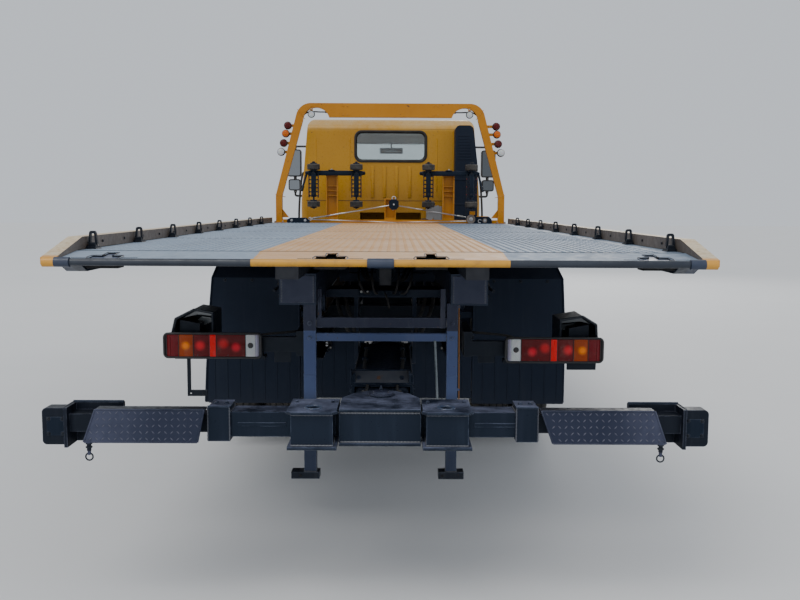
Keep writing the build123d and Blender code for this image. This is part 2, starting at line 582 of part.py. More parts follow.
# ================================================================= tilt frame
with BuildPart() as tilt_frame:
    for s in (-1, 1):
        x0, x1 = sorted((s * BEAM_IN, s * BEAM_OUT))
        block(x0, x1, TAIL + 800, TAIL + 5300, BEAM_BOT, BEAM_TOP)
        block(x0 + 10, x1 - 10, TAIL + 812, TAIL + 5290, BEAM_BOT + 10, BEAM_TOP - 10, Mode.SUBTRACT)
        # pivot lugs and pin
        for x in (300, 370):
            a, b = sorted((s * x, s * (x + 20)))
            prism_x([(TILT_Y - 44, TILT_Z), (TILT_Y + 44, TILT_Z), (TILT_Y + 70, BEAM_BOT), (TILT_Y - 70, BEAM_BOT)], a, b)
            rod((a, TILT_Y, TILT_Z), (b, TILT_Y, TILT_Z), 44)
        rod((s * 300, TILT_Y, TILT_Z), (s * 390, TILT_Y, TILT_Z), 20)
        # rod eye ears of the lift cylinders
        for x in (165, 225):
            a, b = sorted((s * x, s * (x + 10)))
            prism_x([(LIFT_EYE[0] - 50, 960), (LIFT_EYE[0] - 40, LIFT_EYE[1] - 40),
                     (LIFT_EYE[0] + 40, LIFT_EYE[1] - 40), (LIFT_EYE[0] + 50, 960)], a, b)
    # cross members between the beams, below the slide cylinder
    for y in (LIFT_EYE[0], -560.0, 240.0, 1040.0):
        block(-BEAM_IN, BEAM_IN, y - 45, y + 45, 955, 1005)
    for y in (LIFT_EYE[0], -560.0, 240.0, 1040.0):
        blocks(BEAM_IN - 60, BEAM_IN, y - 45, y + 45, 1000, 1060)
    block(-BEAM_IN, BEAM_IN, 1400, 1460, 1000, 1120)
    # underlift mount: saddle under the beams and two hanging cheeks
    block(-BEAM_OUT, BEAM_OUT, -2300, -2080, 950, BEAM_BOT)
    for s in (-1, 1):
        a, b = sorted((s * 140, s * 160))
        prism_x([(-2290, 950), (-2240, 600), (-2120, 600), (-2085, 950)], a, b)
        rod((a, BOOM_Y, BOOM_Z), (b, BOOM_Y, BOOM_Z), 60)
    rod((-160, BOOM_Y, BOOM_Z), (160, BOOM_Y, BOOM_Z), 22)
save(tilt_frame.part, "tilt_frame")

LEG_Y = -2930.0
# each leg: inner and outer face, foot from and to, upright plate from and to
LEGS = {-1: (299, 353, 285, 411, 275, 290), 1: (279, 327, 247, 360, 251, 272)}
with BuildPart() as support_legs:
    for s in (-1, 1):
        a, b, c, d, e, f = (s * v for v in LEGS[s])
        block(min(a, b), max(a, b), LEG_Y - 25, LEG_Y + 25, 231, BEAM_BOT)
        block(min(c, d), max(c, d), LEG_Y - 32, LEG_Y + 32, 200, 231)
        block(min(e, f), max(e, f), LEG_Y - 10, LEG_Y + 24, 878, 1052)
        x = (a + b) / 2
        prism_x([(LEG_Y + 25, 800), (LEG_Y + 25, 760), (-2620, BEAM_BOT), (-2700, BEAM_BOT)], x - 8, x + 8)
    block(-LEGS[-1][0], LEGS[1][0], LEG_Y - 20, LEG_Y + 14, 821, 855)
    block(-LEGS[-1][0], LEGS[1][0], LEG_Y - 10, LEG_Y + 24, 880, 924)
save(support_legs.part, "support_legs")

BARREL0, BARREL1 = TAIL + 1700, TAIL + 5000
with BuildPart() as slide_cylinder:
    rod((0, BARREL0, SLIDE_Z), (0, BARREL1, SLIDE_Z), 45)
    rod((0, BARREL0 + 60, SLIDE_Z), (0, BARREL1 - 30, SLIDE_Z), 36, Mode.SUBTRACT)
    rod((0, BARREL0 - 5, SLIDE_Z), (0, BARREL0 + 70, SLIDE_Z), 25.4, Mode.SUBTRACT)
    block(-20, 20, BARREL1 - 10, 1400, SLIDE_Z - 30, SLIDE_Z + 30)
    for y in (LIFT_EYE[0], -560.0, 240.0, 1040.0):
        with BuildPart(mode=Mode.PRIVATE) as saddle:
            block(-50, 50, y - 30, y + 30, 1005, SLIDE_Z)
            rod((0, y - 40, SLIDE_Z), (0, y + 40, SLIDE_Z), 44, Mode.SUBTRACT)
        add(saddle.part)
save(slide_cylinder.part, "slide_cylinder")

LIFT_LEN = hypot(LIFT_EYE[0] - LIFT_FOOT[0], LIFT_EYE[1] - LIFT_FOOT[1])
LIFT_DIR = ((LIFT_EYE[0] - LIFT_FOOT[0]) / LIFT_LEN, (LIFT_EYE[1] - LIFT_FOOT[1]) / LIFT_LEN)


def on_lift(x, d):
    return (x, LIFT_FOOT[0] + LIFT_DIR[0] * d, LIFT_FOOT[1] + LIFT_DIR[1] * d)


with BuildPart() as lift_barrels:
    for s in (-1, 1):
        x = s * LIFT_X
        rod((x - 20, *LIFT_FOOT), (x + 20, *LIFT_FOOT), 34)
        rod(on_lift(x, 20), on_lift(x, 80), 20)
        rod(on_lift(x, 70), on_lift(x, 520), 45)
        rod(on_lift(x, 100), on_lift(x, 500), 34, Mode.SUBTRACT)
        rod(on_lift(x, 490), on_lift(x, 530), 20.4, Mode.SUBTRACT)
        rod((x - 30, *LIFT_FOOT), (x + 30, *LIFT_FOOT), 14.08, Mode.SUBTRACT)
save(lift_barrels.part, "lift_barrels")

with BuildPart() as lift_rods:
    for s in (-1, 1):
        x = s * LIFT_X
        rod(on_lift(x, 130), on_lift(x, LIFT_LEN), 20)
        rod((x - 20, *LIFT_EYE), (x + 20, *LIFT_EYE), 30)
save(lift_rods.part, "lift_rods")


# ================================================================= deck
# key-hole slots in the tail plate: centre x, (wide rear part and narrow front notch)
SLOTS = (-960.0, -176.0, 176.0, 960.0)
DECK_FRONT = HEAD + 30
with BuildPart() as deck:
    block(-DECK_IN, DECK_IN, TAIL + TAIL_LEN, DECK_FRONT, DECK_Z - DECK_T, DECK_Z)
    # tail plate, sloping down to the tail bar
    prism_x([(TAIL + TAIL_LEN, DECK_Z), (TAIL + TAIL_LEN, DECK_Z - 14), (TAIL + 15, DECK_Z - TAIL_DROP - 14),
             (TAIL + 15, DECK_Z - TAIL_DROP)], -DECK_IN, DECK_IN)
    # sliding beams over the tilt frame
    blocks(325, 415, TAIL + 420, DECK_FRONT, BEAM_TOP + 6, DECK_Z - DECK_T)
    # cross members and edge beams
    for k in range(12):
        y = TAIL + 240 + k * (DECK_FRONT - TAIL - 290) / 11
        block(-DECK_IN, DECK_IN, y, y + 50, 1176 if k else 1208, DECK_Z - DECK_T)
    blocks(DECK_IN - 50, DECK_IN, TAIL + 240, DECK_FRONT, 1208, DECK_Z - DECK_T)
    for x in SLOTS:
        block(x - 52, x + 52, TAIL + 35, TAIL + 100, 1190, 1260, Mode.SUBTRACT)
        block(x - 16, x + 16, TAIL + 80, TAIL + 165, 1190, 1260, Mode.SUBTRACT)
    # bracket that takes the slide rod
    block(-30, 30, -2330, -2260, 1015, 1180)
    block(-324, 324, -2330, -2260, 1170, DECK_Z - DECK_T)
save(deck.part, "deck")

BAR_TZ = DECK_Z - TAIL_DROP - 7
with BuildPart() as tail_bar:
    rod((-1060, TAIL, BAR_TZ), (1060, TAIL, BAR_TZ), 13)
    rod((-45, TAIL - 3, BAR_TZ), (45, TAIL - 3, BAR_TZ), 17)
    for s in (-1, 1):
        rod((s * 1058, TAIL - 3, BAR_TZ), (s * 1150, TAIL - 3, BAR_TZ), 17)
        # bulging plate below the corner
        x0, x1 = sorted((s * 1020, s * 1092))
        prism_x([(TAIL + 2, BAR_TZ - 12), (TAIL + 60, BAR_TZ - 36), (TAIL + 235, BAR_TZ - 36),
                 (TAIL + 235, BAR_TZ - 28), (TAIL + 62, BAR_TZ - 28), (TAIL + 12, BAR_TZ - 8)], x0, x1)
save(tail_bar.part, "tail_bar")

RAIL_END = TAIL + 290
with BuildPart() as side_rails:
    for s in (-1, 1):
        x0, x1 = sorted((s * RAIL_IN, s * RAIL_OUT))
        prism_x([(TAIL + 16, 1212), (TAIL + 16, 1236), (RAIL_END, RAIL_TOP), (DECK_FRONT, RAIL_TOP),
                 (DECK_FRONT, RAIL_BOT), (RAIL_END, RAIL_BOT)], x0, x1)
        # box section, closed at the tail
        block(x0 + 6, x1 - 6, RAIL_END + 10, DECK_FRONT + 5, RAIL_BOT + 6, RAIL_TOP - 6, Mode.SUBTRACT)
save(side_rails.part, "side_rails")

LOOP_Y = [TAIL + 350 + 621 * k for k in range(8)]
with BuildPart() as tie_down_loops:
    for s in (-1, 1):
        for y in LOOP_Y:
            x = s * 1092
            block(x - 17, x + 17, y - 30, y + 30, DECK_Z, DECK_Z + 10)
            with BuildPart(mode=Mode.PRIVATE) as link:
                prism_y([(x - 19, DECK_Z + 6), (x + 19, DECK_Z + 6), (x + 12, DECK_Z + 68), (x - 12, DECK_Z + 68)], y - 7, y + 7, r=9)
                prism_y([(x - 9, DECK_Z + 18), (x + 9, DECK_Z + 18), (x + 6, DECK_Z + 58), (x - 6, DECK_Z + 58)],
                        y - 8, y + 8, r=4, mode=Mode.SUBTRACT)
            add(link.part)
save(tie_down_loops.part, "tie_down_loops")

# headboard gantry, (x, z): outer line, and the opening inside it
G_OUT = [(1070, DECK_Z, 0), (1070, 1505, 60), (846, 2356, 140)]
G_IN = [(1012, 1282, 0), (1012, 1502, 60), (806, 2228, 40)]
with BuildPart() as headboard:
    pts = [(x, z) for x, z, r in G_OUT] + [(-x, z) for x, z, r in reversed(G_OUT)]
    rad = [r for x, z, r in G_OUT] + [r for x, z, r in reversed(G_OUT)]
    with BuildSketch(Plane.XZ.offset(-(HEAD - 30))) as sk:
        with BuildLine():
            FilletPolyline(*pts, radius=rad, close=True)
        make_face()
    extrude(sk.sketch, amount=60, dir=(0, 1, 0))
    pts = [(x, z) for x, z, r in G_IN] + [(-x, z) for x, z, r in reversed(G_IN)]
    rad = [r for x, z, r in G_IN] + [r for x, z, r in reversed(G_IN)]
    with BuildSketch(Plane.XZ.offset(-(HEAD - 40))) as sk:
        with BuildLine():
            FilletPolyline(*pts, radius=rad, close=True)
        make_face()
    extrude(sk.sketch, amount=80, dir=(0, 1, 0), mode=Mode.SUBTRACT)
    # round clearances for the work lamps at the upper corners
    for s in (-1, 1):
        rod((s * 690, HEAD - 40, 2191), (s * 690, HEAD + 40, 2191), 125, Mode.SUBTRACT)
    # channel posts for the dollies, and the centre post, open to the rear
    for x, w, top in ((-545, 110, 1730), (545, 110, 1730), (0, 107, 1480)):
        block(x - w / 2, x + w / 2, HEAD - 30, HEAD + 30, 1280, top)
        block(x - w / 2 + 10, x + w / 2 - 10, HEAD - 31, HEAD + 20, 1300, top - 10, Mode.SUBTRACT)
save(headboard.part, "headboard")

# lamps on the gantry: x, z of four markers on each side, top to bottom
MARKERS_L = ((-954, 2150), (-974, 2076), (-994, 1989), (-1018, 1907))
MARKERS_R = ((984, 2150), (992, 2076), (1005, 1989), (1031, 1907))


def gantry_x(z):
    """Outer face of a slanting gantry leg at height z."""
    return 1070 - (z - 1505) * (1070 - 846) / (2356 - 1505)


with BuildPart() as gantry_lamps:
    for x, z in MARKERS_L + MARKERS_R:
        s = 1 if x > 0 else -1
        rod((x, HEAD - 40, z), (x, HEAD + 5, z), 35)
        block(min(x, s * gantry_x(z - 14)), max(x, s * gantry_x(z - 14)), HEAD - 4, HEAD + 4, z - 12, z + 12)
    for s in (-1, 1):
        rod((s * 730, HEAD - 84, 2250), (s * 730, HEAD - 30, 2250), 33)
save(gantry_lamps.part, "gantry_lamps")

# dollies: inner and outer upright of each, as distances from the middle
with BuildPart() as wheel_dollies:
    for s, a, b, c, d in ((-1, 234, 790, 314, 710), (1, 274, 830, 354, 754)):
        x0, x1 = sorted((s * a, s * b))
        block(x0, x1, HEAD - 76, HEAD - 30, 1690, 1735)
        for u in (c, d):
            x = s * u
            block(x - 22, x + 22, HEAD - 112, HEAD - 76, 1452, 1742)
            for z in (1426, 1767):
                rod((x, HEAD - 94, z - 25), (x, HEAD - 94, z + 25), 62)
            rod((x, HEAD - 94, 1395), (x, HEAD - 94, 1800), 14)
            for z in (1520, 1610):
                block(x - 45, x + 45, HEAD - 100, HEAD - 88, z, z + 14)
        rod((s * b, HEAD - 53, 1712), (s * (b + 30), HEAD - 120, 1560), 12)
save(wheel_dollies.part, "wheel_dollies")

with BuildPart() as winch:
    block(-330, 330, HEAD + 30, HEAD + 40, 1135, 1275)
    block(-330, 330, HEAD + 40, HEAD + 225, 1135, 1145)
    for s in (-1, 1):
        block(min(s * 180, s * 200), max(s * 180, s * 200), HEAD + 40, HEAD + 220, 1145, 1275)
    rod((-180, HEAD + 130, 1212), (180, HEAD + 130, 1212), 42)
    for x in (-176, 160):
        rod((x, HEAD + 130, 1212), (x + 16, HEAD + 130, 1212), 62)
    rod((200, HEAD + 130, 1212), (320, HEAD + 130, 1212), 55)
    rod((-200, HEAD + 130, 1212), (-270, HEAD + 130, 1212), 50)
save(winch.part, "winch")

# taut winch rope: from the left block to the centre block and on to the right roller
ROPE_L = (-744.0, HEAD - 60, 1290.0)
ROPE_C = (24.0, HEAD - 60, 1420.0)
ROPE_R = (707.0, HEAD - 60, 1310.0)
with BuildPart() as winch_rope:
    rod(ROPE_L, ROPE_C, 6)
    rod(ROPE_C, ROPE_R, 6)
    block(12, 36, HEAD - 72, HEAD - 48, 1408, 1432)
save(winch_rope.part, "winch_rope")

with BuildPart() as snatch_blocks:
    block(-962, -750, HEAD - 85, HEAD - 35, DECK_Z, 1300)
    block(765, 953, HEAD - 62, HEAD - 35, DECK_Z, 1318)
    rod((755, HEAD - 80, 1291), (755, HEAD - 40, 1291), 41)
    block(-12, 80, HEAD - 90, HEAD - 72.5, 1374, 1500)
save(snatch_blocks.part, "snatch_blocks")

with BuildPart() as slide_rod:
    rod((0, -2260, SLIDE_Z), (0, BARREL1 - 100, SLIDE_Z), 25)
save(slide_rod.part, "slide_rod")


# ================================================================= underlift
BOOM_END = TAIL + 500
with BuildPart() as underlift_boom:
    block(-122, 122, BOOM_END, -2260, 590, 703)
    block(-112, 112, BOOM_END - 10, -2300, 600, 693, Mode.SUBTRACT)
    for s in (-1, 1):
        a, b = sorted((s * 95, s * 132))
        prism_x([(-2270, 592), (BOOM_Y, BOOM_Z - 50), (BOOM_Y, BOOM_Z + 50), (-2270, 701)], a, b)
        rod((a, BOOM_Y, BOOM_Z), (b, BOOM_Y, BOOM_Z), 50)
    rod((-140, BOOM_Y, BOOM_Z), (140, BOOM_Y, BOOM_Z), 22.08, Mode.SUBTRACT)
save(underlift_boom.part, "underlift_boom")

with BuildPart() as boom_extension:
    block(-104, 104, TAIL + 305, -2420, 607, 686)
    block(-94, 94, TAIL + 320, -2410, 617, 676, Mode.SUBTRACT)
    # tongue into the crossbar's head, with the swivel pin's hole
    block(-34, 34, SWIVEL_Y, TAIL + 310, 618, 707)
    rod((0, SWIVEL_Y, 618), (0, SWIVEL_Y, 707), 34)
    block(-90, 90, TAIL + 292, TAIL + 306, 610, 707)
    rod((0, SWIVEL_Y, 600), (0, SWIVEL_Y, 750), 20.08, Mode.SUBTRACT)
save(boom_extension.part, "boom_extension")

BAR_ENDS = {-1: 602.0, 1: 552.0}      # outer face of each end collar
SOCKET_REAR = -3950.0
with BuildPart() as crossbar:
    block(-BAR_ENDS[-1], BAR_ENDS[1], BAR_Y - 50, BAR_Y + 50, BAR_BOT, BAR_TOP)
    # head: top and bottom plates round the swivel pin, closed at the rear
    for z0, z1 in ((598, 610), (715, 727)):
        prism_z([(-140, TAIL - 50), (140, TAIL - 50), (140, BAR_Y + 50), (100, SWIVEL_Y + 46), (-100, SWIVEL_Y + 46),
                 (-140, BAR_Y + 50)], z0, z1)
        rod((0, SWIVEL_Y, z0), (0, SWIVEL_Y, z1), 100)
    block(-140, 140, TAIL - 50, TAIL - 38, 610, 715)
    for s in (-1, 1):
        block(min(s * 128, s * 140), max(s * 128, s * 140), TAIL - 38, BAR_Y + 50, 610, 715)
    block(-128, 128, BAR_Y - 50, BAR_Y + 50, 610, 715)
    rod((0, SWIVEL_Y, 603), (0, SWIVEL_Y, 722), 20)
    rod((0, SWIVEL_Y, 727), (0, SWIVEL_Y, 739), 42)
    for s in (-1, 1):
        end = BAR_ENDS[s]
        # fork socket behind the tube, open at its sides, with a hole through its top plate
        a, b = sorted((s * 145, s * 311))
        prism_z([(a, SOCKET_REAR + 16), (a + 16, SOCKET_REAR), (b - 16, SOCKET_REAR), (b, SOCKET_REAR + 16),
                 (b, BAR_Y + 3), (a, BAR_Y + 3)], 721, 733)
        block(a, b, SOCKET_REAR + 4, BAR_Y - 50, 600, 612)
        block(a + 12, b - 12, SOCKET_REAR + 12, SOCKET_REAR + 24, 606, 727)
        block(a + 12, b - 12, BAR_Y - 62, BAR_Y - 50, 606, 727)
        block(a, b, BAR_Y - 50, BAR_Y + 3, 690, 721)
        rod((s * 226, -3890, 700), (s * 226, -3890, 740), 22, Mode.SUBTRACT)
        # collar at the end of the tube
        a, b = sorted((s * (end - 76), s * end))
        block(a, b, BAR_Y - 62, BAR_Y + 58, 595, 717)
        a, b = sorted((s * 180, s * (end + 5)))
        block(a, b, BAR_Y - 42, BAR_Y + 42, BAR_BOT + 6, BAR_TOP - 6, Mode.SUBTRACT)
save(crossbar.part, "crossbar")

# how much further out than the drawing each arm rests
ARM_OUT = {-1: 18.0, 1: -14.0}
TREAD_IN = {-1: 591.0, 1: 573.0}
TREAD = [(968, 713), (1002, 603), (610, 603)]
for side, s in SIDES:
    def sx(a, b):
        return sorted((s * (a + ARM_OUT[s]), s * (b + ARM_OUT[s])))

    with BuildPart() as arm:
        a, b = sx(210, 1080)
        block(a, b, BAR_Y - 36, BAR_Y + 36, 621, 685)
        block(a + 8, b - 8, BAR_Y - 28, BAR_Y + 28, 629, 677, Mode.SUBTRACT)
        # sloping tread plate behind the arm, bent over at its top and cut slantwise at both ends
        with BuildPart(mode=Mode.PRIVATE) as tread:
            a, b = sx(560, 1010)
            prism_x([(BAR_Y - 112, 603), (BAR_Y - 88, 713), (BAR_Y - 34, 713), (BAR_Y - 34, 603)], a, b)
            a, b = sx(550, 1020)
            prism_x([(BAR_Y - 103, 600), (BAR_Y - 81, 705), (BAR_Y - 33, 705), (BAR_Y - 33, 600)], a, b, mode=Mode.SUBTRACT)
            prism_y([(s * (x + ARM_OUT[s]), z) for x, z in [(TREAD_IN[s], 713)] + TREAD], BAR_Y - 120, BAR_Y, mode=Mode.INTERSECT)
        add(tread.part)
        for x in (625, 800, 940):
            a, b = sx(x, x + 10)
            prism_x([(BAR_Y - 99, 610), (BAR_Y - 80, 707), (BAR_Y - 34, 707), (BAR_Y - 34, 610)], a, b)
        # back plate, end wall and rounded end plate
        a, b = sx(905, 1087)
        block(a, b, BAR_Y + 36, BAR_Y + 48, 570, 712)
        a, b = sx(1075, 1087)
        block(a, b, BAR_Y - 62, BAR_Y + 48, 570, 712)
        a, b = sx(1087, 1181)
        prism_y([(a, 568), (b, 568), (b, 700), (a, 700)], BAR_Y - 12, BAR_Y + 48, r=16)
        # ring pin hanging below
        rod((s * (985 + ARM_OUT[s]), BAR_Y - 106, 609), (s * (985 + ARM_OUT[s]), BAR_Y - 106, 558), 6)
        rod((s * (985 + ARM_OUT[s]), BAR_Y - 106, 612), (s * (985 + ARM_OUT[s]), BAR_Y - 106, 596), 11)
    save(arm.part, "wheel_lift_" + side)
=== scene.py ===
import math
import random

import bmesh
import bpy
from mathutils import Matrix, Vector


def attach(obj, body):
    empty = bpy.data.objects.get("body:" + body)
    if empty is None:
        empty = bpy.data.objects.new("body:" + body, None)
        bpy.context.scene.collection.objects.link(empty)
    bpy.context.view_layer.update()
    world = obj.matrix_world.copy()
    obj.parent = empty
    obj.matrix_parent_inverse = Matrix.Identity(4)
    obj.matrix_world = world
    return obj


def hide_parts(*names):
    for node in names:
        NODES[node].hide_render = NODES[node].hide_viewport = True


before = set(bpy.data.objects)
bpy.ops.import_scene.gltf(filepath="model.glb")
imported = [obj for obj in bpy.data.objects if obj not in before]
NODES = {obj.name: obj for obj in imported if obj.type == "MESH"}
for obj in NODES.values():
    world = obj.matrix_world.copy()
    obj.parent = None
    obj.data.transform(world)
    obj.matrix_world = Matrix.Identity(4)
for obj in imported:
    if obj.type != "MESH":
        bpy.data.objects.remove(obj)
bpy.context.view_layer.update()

# Flatbed tow truck. Metres, +Z up, +Y forward, +X the truck's right side.
rng = random.Random(11)
TAIL, HEAD = -3.83, 1.67
DECK_Z = 1.25
SIDES = (("left", -1), ("right", 1))


# ------------------------------------------------------------------ mesh tools
def frame_of(d):
    """Two unit vectors square to d."""
    d = Vector(d).normalized()
    a = Vector((0, 0, 1)) if abs(d.z) < 0.9 else Vector((0, 1, 0))
    u = a.cross(d).normalized()
    return u, d.cross(u).normalized()


class Shape:
    """Collects solids into one mesh."""

    def __init__(self):
        self.v, self.f, self.m = [], [], []

    def add(self, verts, faces, mat=0, mtx=None):
        base = len(self.v)
        if mtx is not None:
            verts = [mtx @ Vector(p) for p in verts]
        self.v += [tuple(p) for p in verts]
        self.f += [tuple(base + i for i in f) for f in faces]
        self.m += [mat] * len(faces)

    def take(self, bm, mat=0, mtx=None):
        bm.verts.index_update()
        self.add([v.co.copy() for v in bm.verts], [[v.index for v in f.verts] for f in bm.faces], mat, mtx)
        bm.free()

    def box(self, lo, hi, r=0.002, seg=1, mat=0, mtx=None):
        lo, hi = Vector([min(a, b) for a, b in zip(lo, hi)]), Vector([max(a, b) for a, b in zip(lo, hi)])
        c, s = (lo + hi) / 2, hi - lo
        bm = bmesh.new()
        bmesh.ops.create_cube(bm, size=1)
        for v in bm.verts:
            v.co = Vector((v.co.x * s.x, v.co.y * s.y, v.co.z * s.z)) + c
        r = min(r, 0.45 * min(s))
        if r > 0:
            bmesh.ops.bevel(bm, geom=list(bm.edges), offset=r, segments=seg, affect="EDGES", profile=0.5)
        self.take(bm, mat, mtx)

    def rings(self, rings, mat=0, cap=True, closed=False):
        """Skin between rings of equal point count."""
        base, n = len(self.v), len(rings[0])
        for ring in rings:
            self.v += [tuple(p) for p in ring]
        k = len(rings)
        faces = []
        for i in range(k if closed else k - 1):
            a, b = base + i * n, base + ((i + 1) % k) * n
            faces += [(a + j, a + (j + 1) % n, b + (j + 1) % n, b + j) for j in range(n)]
        if cap and not closed:
            faces.append(tuple(base + j for j in reversed(range(n))))
            faces.append(tuple(base + (k - 1) * n + j for j in range(n)))
        self.f += faces
        self.m += [mat] * len(faces)

    def rod(self, p0, p1, r, n=16, mat=0, r1=None, chamfer=0.0):
        p0, p1 = Vector(p0), Vector(p1)
        u, w = frame_of(p1 - p0)
        d = (p1 - p0).normalized()
        r1 = r if r1 is None else r1
        stations = [(p0, r), (p1, r1)]
        if chamfer:
            stations = [(p0, r - chamfer), (p0 + d * chamfer, r), (p1 - d * chamfer, r1), (p1, r1 - chamfer)]
        self.rings([[p + (u * math.cos(2 * math.pi * j / n) + w * math.sin(2 * math.pi * j / n)) * q for j in range(n)]
                    for p, q in stations], mat)

    def tube(self, pts, r, n=10, mat=0, closed=False, flat=1.0):
        pts = [Vector(p) for p in pts]
        k = len(pts)
        tang = []
        for i in range(k):
            a = pts[i - 1] if (i or closed) else pts[i]
            b = pts[(i + 1) % k] if (i < k - 1 or closed) else pts[i]
            tang.append((b - a).normalized())
        u, w = frame_of(tang[0])
        rings = []
        for i in range(k):
            t = tang[i]
            u = (u - t * u.dot(t)).normalized()
            w = t.cross(u)
            rings.append([pts[i] + u * math.cos(2 * math.pi * j / n) * r + w * math.sin(2 * math.pi * j / n) * r * flat
                          for j in range(n)])
        self.rings(rings, mat, cap=not closed, closed=closed)

    def lathe(self, prof, origin, axis, n=32, mat=0, closed=False):
        """Profile of (distance along the axis, radius)."""
        o, d = Vector(origin), Vector(axis).normalized()
        u, w = frame_of(d)
        self.rings([[o + d * t + (u * math.cos(2 * math.pi * j / n) + w * math.sin(2 * math.pi * j / n)) * max(q, 1e-5)
                     for j in range(n)] for t, q in prof], mat, cap=not closed, closed=closed)

    def bolt(self, p, axis, r=0.009, h=0.007, mat=0, washer=True):
        """Hexagon head on a washer, standing off point p along the axis."""
        p, d = Vector(p), Vector(axis).normalized()
        if washer:
            self.rod(p - d * 0.002, p + d * 0.002, r * 1.35, n=12, mat=mat)
        self.lathe([(0.0, r), (h * 0.75, r), (h, r * 0.8)], p + d * 0.001, d, n=6, mat=mat)

    def prism(self, pts, a, b, axis="x", mat=0, r=0.0, seg=1):
        """Outline of 2-D points swept along an axis: x takes (y, z), y takes (x, z), z takes (x, y)."""
        put = {"x": lambda p, t: (t, p[0], p[1]), "y": lambda p, t: (p[0], t, p[1]), "z": lambda p, t: (p[0], p[1], t)}[axis]
        bm = bmesh.new()
        va = [bm.verts.new(put(p, a)) for p in pts]
        vb = [bm.verts.new(put(p, b)) for p in pts]
        n = len(pts)
        bm.faces.new(va)
        bm.faces.new(vb[::-1])
        for i in range(n):
            bm.faces.new((va[i], vb[i], vb[(i + 1) % n], va[(i + 1) % n]))
        bmesh.ops.recalc_face_normals(bm, faces=bm.faces)
        if r:
            bmesh.ops.bevel(bm, geom=list(bm.edges), offset=r, segments=seg, affect="EDGES", profile=0.5)
        self.take(bm, mat)

    def piece(self, name, body, slot, mats, angle=35.0, mods=()):
        me = bpy.data.meshes.new(name)
        me.from_pydata(self.v, [], self.f)
        me.validate()
        for m in mats:
            me.materials.append(m)
        me.polygons.foreach_set("material_index", self.m[:len(me.polygons)])
        bm = bmesh.new()
        bm.from_mesh(me)
        bmesh.ops.recalc_face_normals(bm, faces=bm.faces)
        bm.to_mesh(me)
        bm.free()
        me.polygons.foreach_set("use_smooth", [True] * len(me.polygons))
        me.set_sharp_from_angle(angle=math.radians(angle))
        ob = bpy.data.objects.new(name, me)
        bpy.context.scene.collection.objects.link(ob)
        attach(ob, body)
        return ob


def arc(c, r, a0, a1, n, plane="yz", t=0.0):
    """Points on an arc, degrees, in one plane; t is the third coordinate."""
    out = []
    for i in range(n + 1):
        a = math.radians(a0 + (a1 - a0) * i / n)
        p, q = c[0] + r * math.cos(a), c[1] + r * math.sin(a)
        out.append({"yz": (t, p, q), "xz": (p, t, q), "xy": (p, q, t)}[plane])
    return out


def smooth_path(pts, n=8):
    """Catmull-Rom line through the points."""
    p = [Vector(q) for q in pts]
    p = [p[0] * 2 - p[1]] + p + [p[-1] * 2 - p[-2]]
    out = []
    for i in range(1, len(p) - 2):
        a, b, c, d = p[i - 1], p[i], p[i + 1], p[i + 2]
        for k in range(n):
            t = k / n
            out.append(0.5 * (2 * b + (c - a) * t + (2 * a - 5 * b + 4 * c - d) * t * t + (3 * b - a - 3 * c + d) * t ** 3))
    out.append(p[-2])
    return out


def round_rect(cx, cz, w, h, r, n=5):
    """Outline points of a rounded rectangle."""
    out = []
    for sx, sz, a in ((1, 1, 0), (-1, 1, 90), (-1, -1, 180), (1, -1, 270)):
        ox, oz = cx + sx * (w / 2 - r), cz + sz * (h / 2 - r)
        out += [(ox + r * math.cos(math.radians(a + 90 * i / n)), oz + r * math.sin(math.radians(a + 90 * i / n)))
                for i in range(n + 1)]
    return out


# ------------------------------------------------------------------ camera and light
cam = bpy.data.cameras.new("camera")
cam.sensor_width = 36.0
cam.lens = 40.95
eye = bpy.data.objects.new("camera", cam)
bpy.context.scene.collection.objects.link(eye)
PITCH, YAW, ROLL = math.radians(-5.96), math.radians(0.31), math.radians(0.28)
ahead = Vector((math.sin(YAW) * math.cos(PITCH), math.cos(YAW) * math.cos(PITCH), math.sin(PITCH)))
turn = ahead.to_track_quat("-Z", "Y").to_matrix().to_4x4() @ Matrix.Rotation(ROLL, 4, "Z")
eye.matrix_world = Matrix.Translation((0.05, -6.93, 1.42)) @ turn
cam.clip_end = 200
bpy.context.scene.camera = eye

world = bpy.data.worlds.new("studio")
bpy.context.scene.world = world
world.use_nodes = True
world.node_tree.nodes["Background"].inputs[0].default_value = (0.84, 0.89, 0.96, 1)
world.node_tree.nodes["Background"].inputs[1].default_value = 0.80
sun = bpy.data.lights.new("sky_key", "SUN")
sun.energy, sun.angle, sun.color = 1.5, math.radians(38), (1.0, 0.97, 0.92)
ob = bpy.data.objects.new("sky_key", sun)
ob.rotation_mode = "QUATERNION"
ob.rotation_quaternion = Vector((0.34, 0.42, -0.84)).to_track_quat("-Z", "Y")
bpy.context.scene.collection.objects.link(ob)
for name, place, aim, size, power, colour in (
        ("fill", (8.0, -8.0, 5.0), (0, -1.5, 0.8), 6.0, 170, (0.93, 0.96, 1.0)),
        ("low", (-1.0, -9.0, 2.2), (0, -2.5, 0.7), 5.0, 60, (0.95, 0.97, 1.0)),
        ("front", (3.5, 11.0, 5.5), (0, 2.0, 1.0), 5.0, 260, (1.0, 0.98, 0.95))):
    lamp = bpy.data.lights.new(name, "AREA")
    lamp.size, lamp.energy, lamp.color = size, power, colour
    ob = bpy.data.objects.new(name, lamp)
    ob.location = place
    ob.rotation_mode = "QUATERNION"
    ob.rotation_quaternion = (Vector(aim) - Vector(place)).to_track_quat("-Z", "Y")
    bpy.context.scene.collection.objects.link(ob)


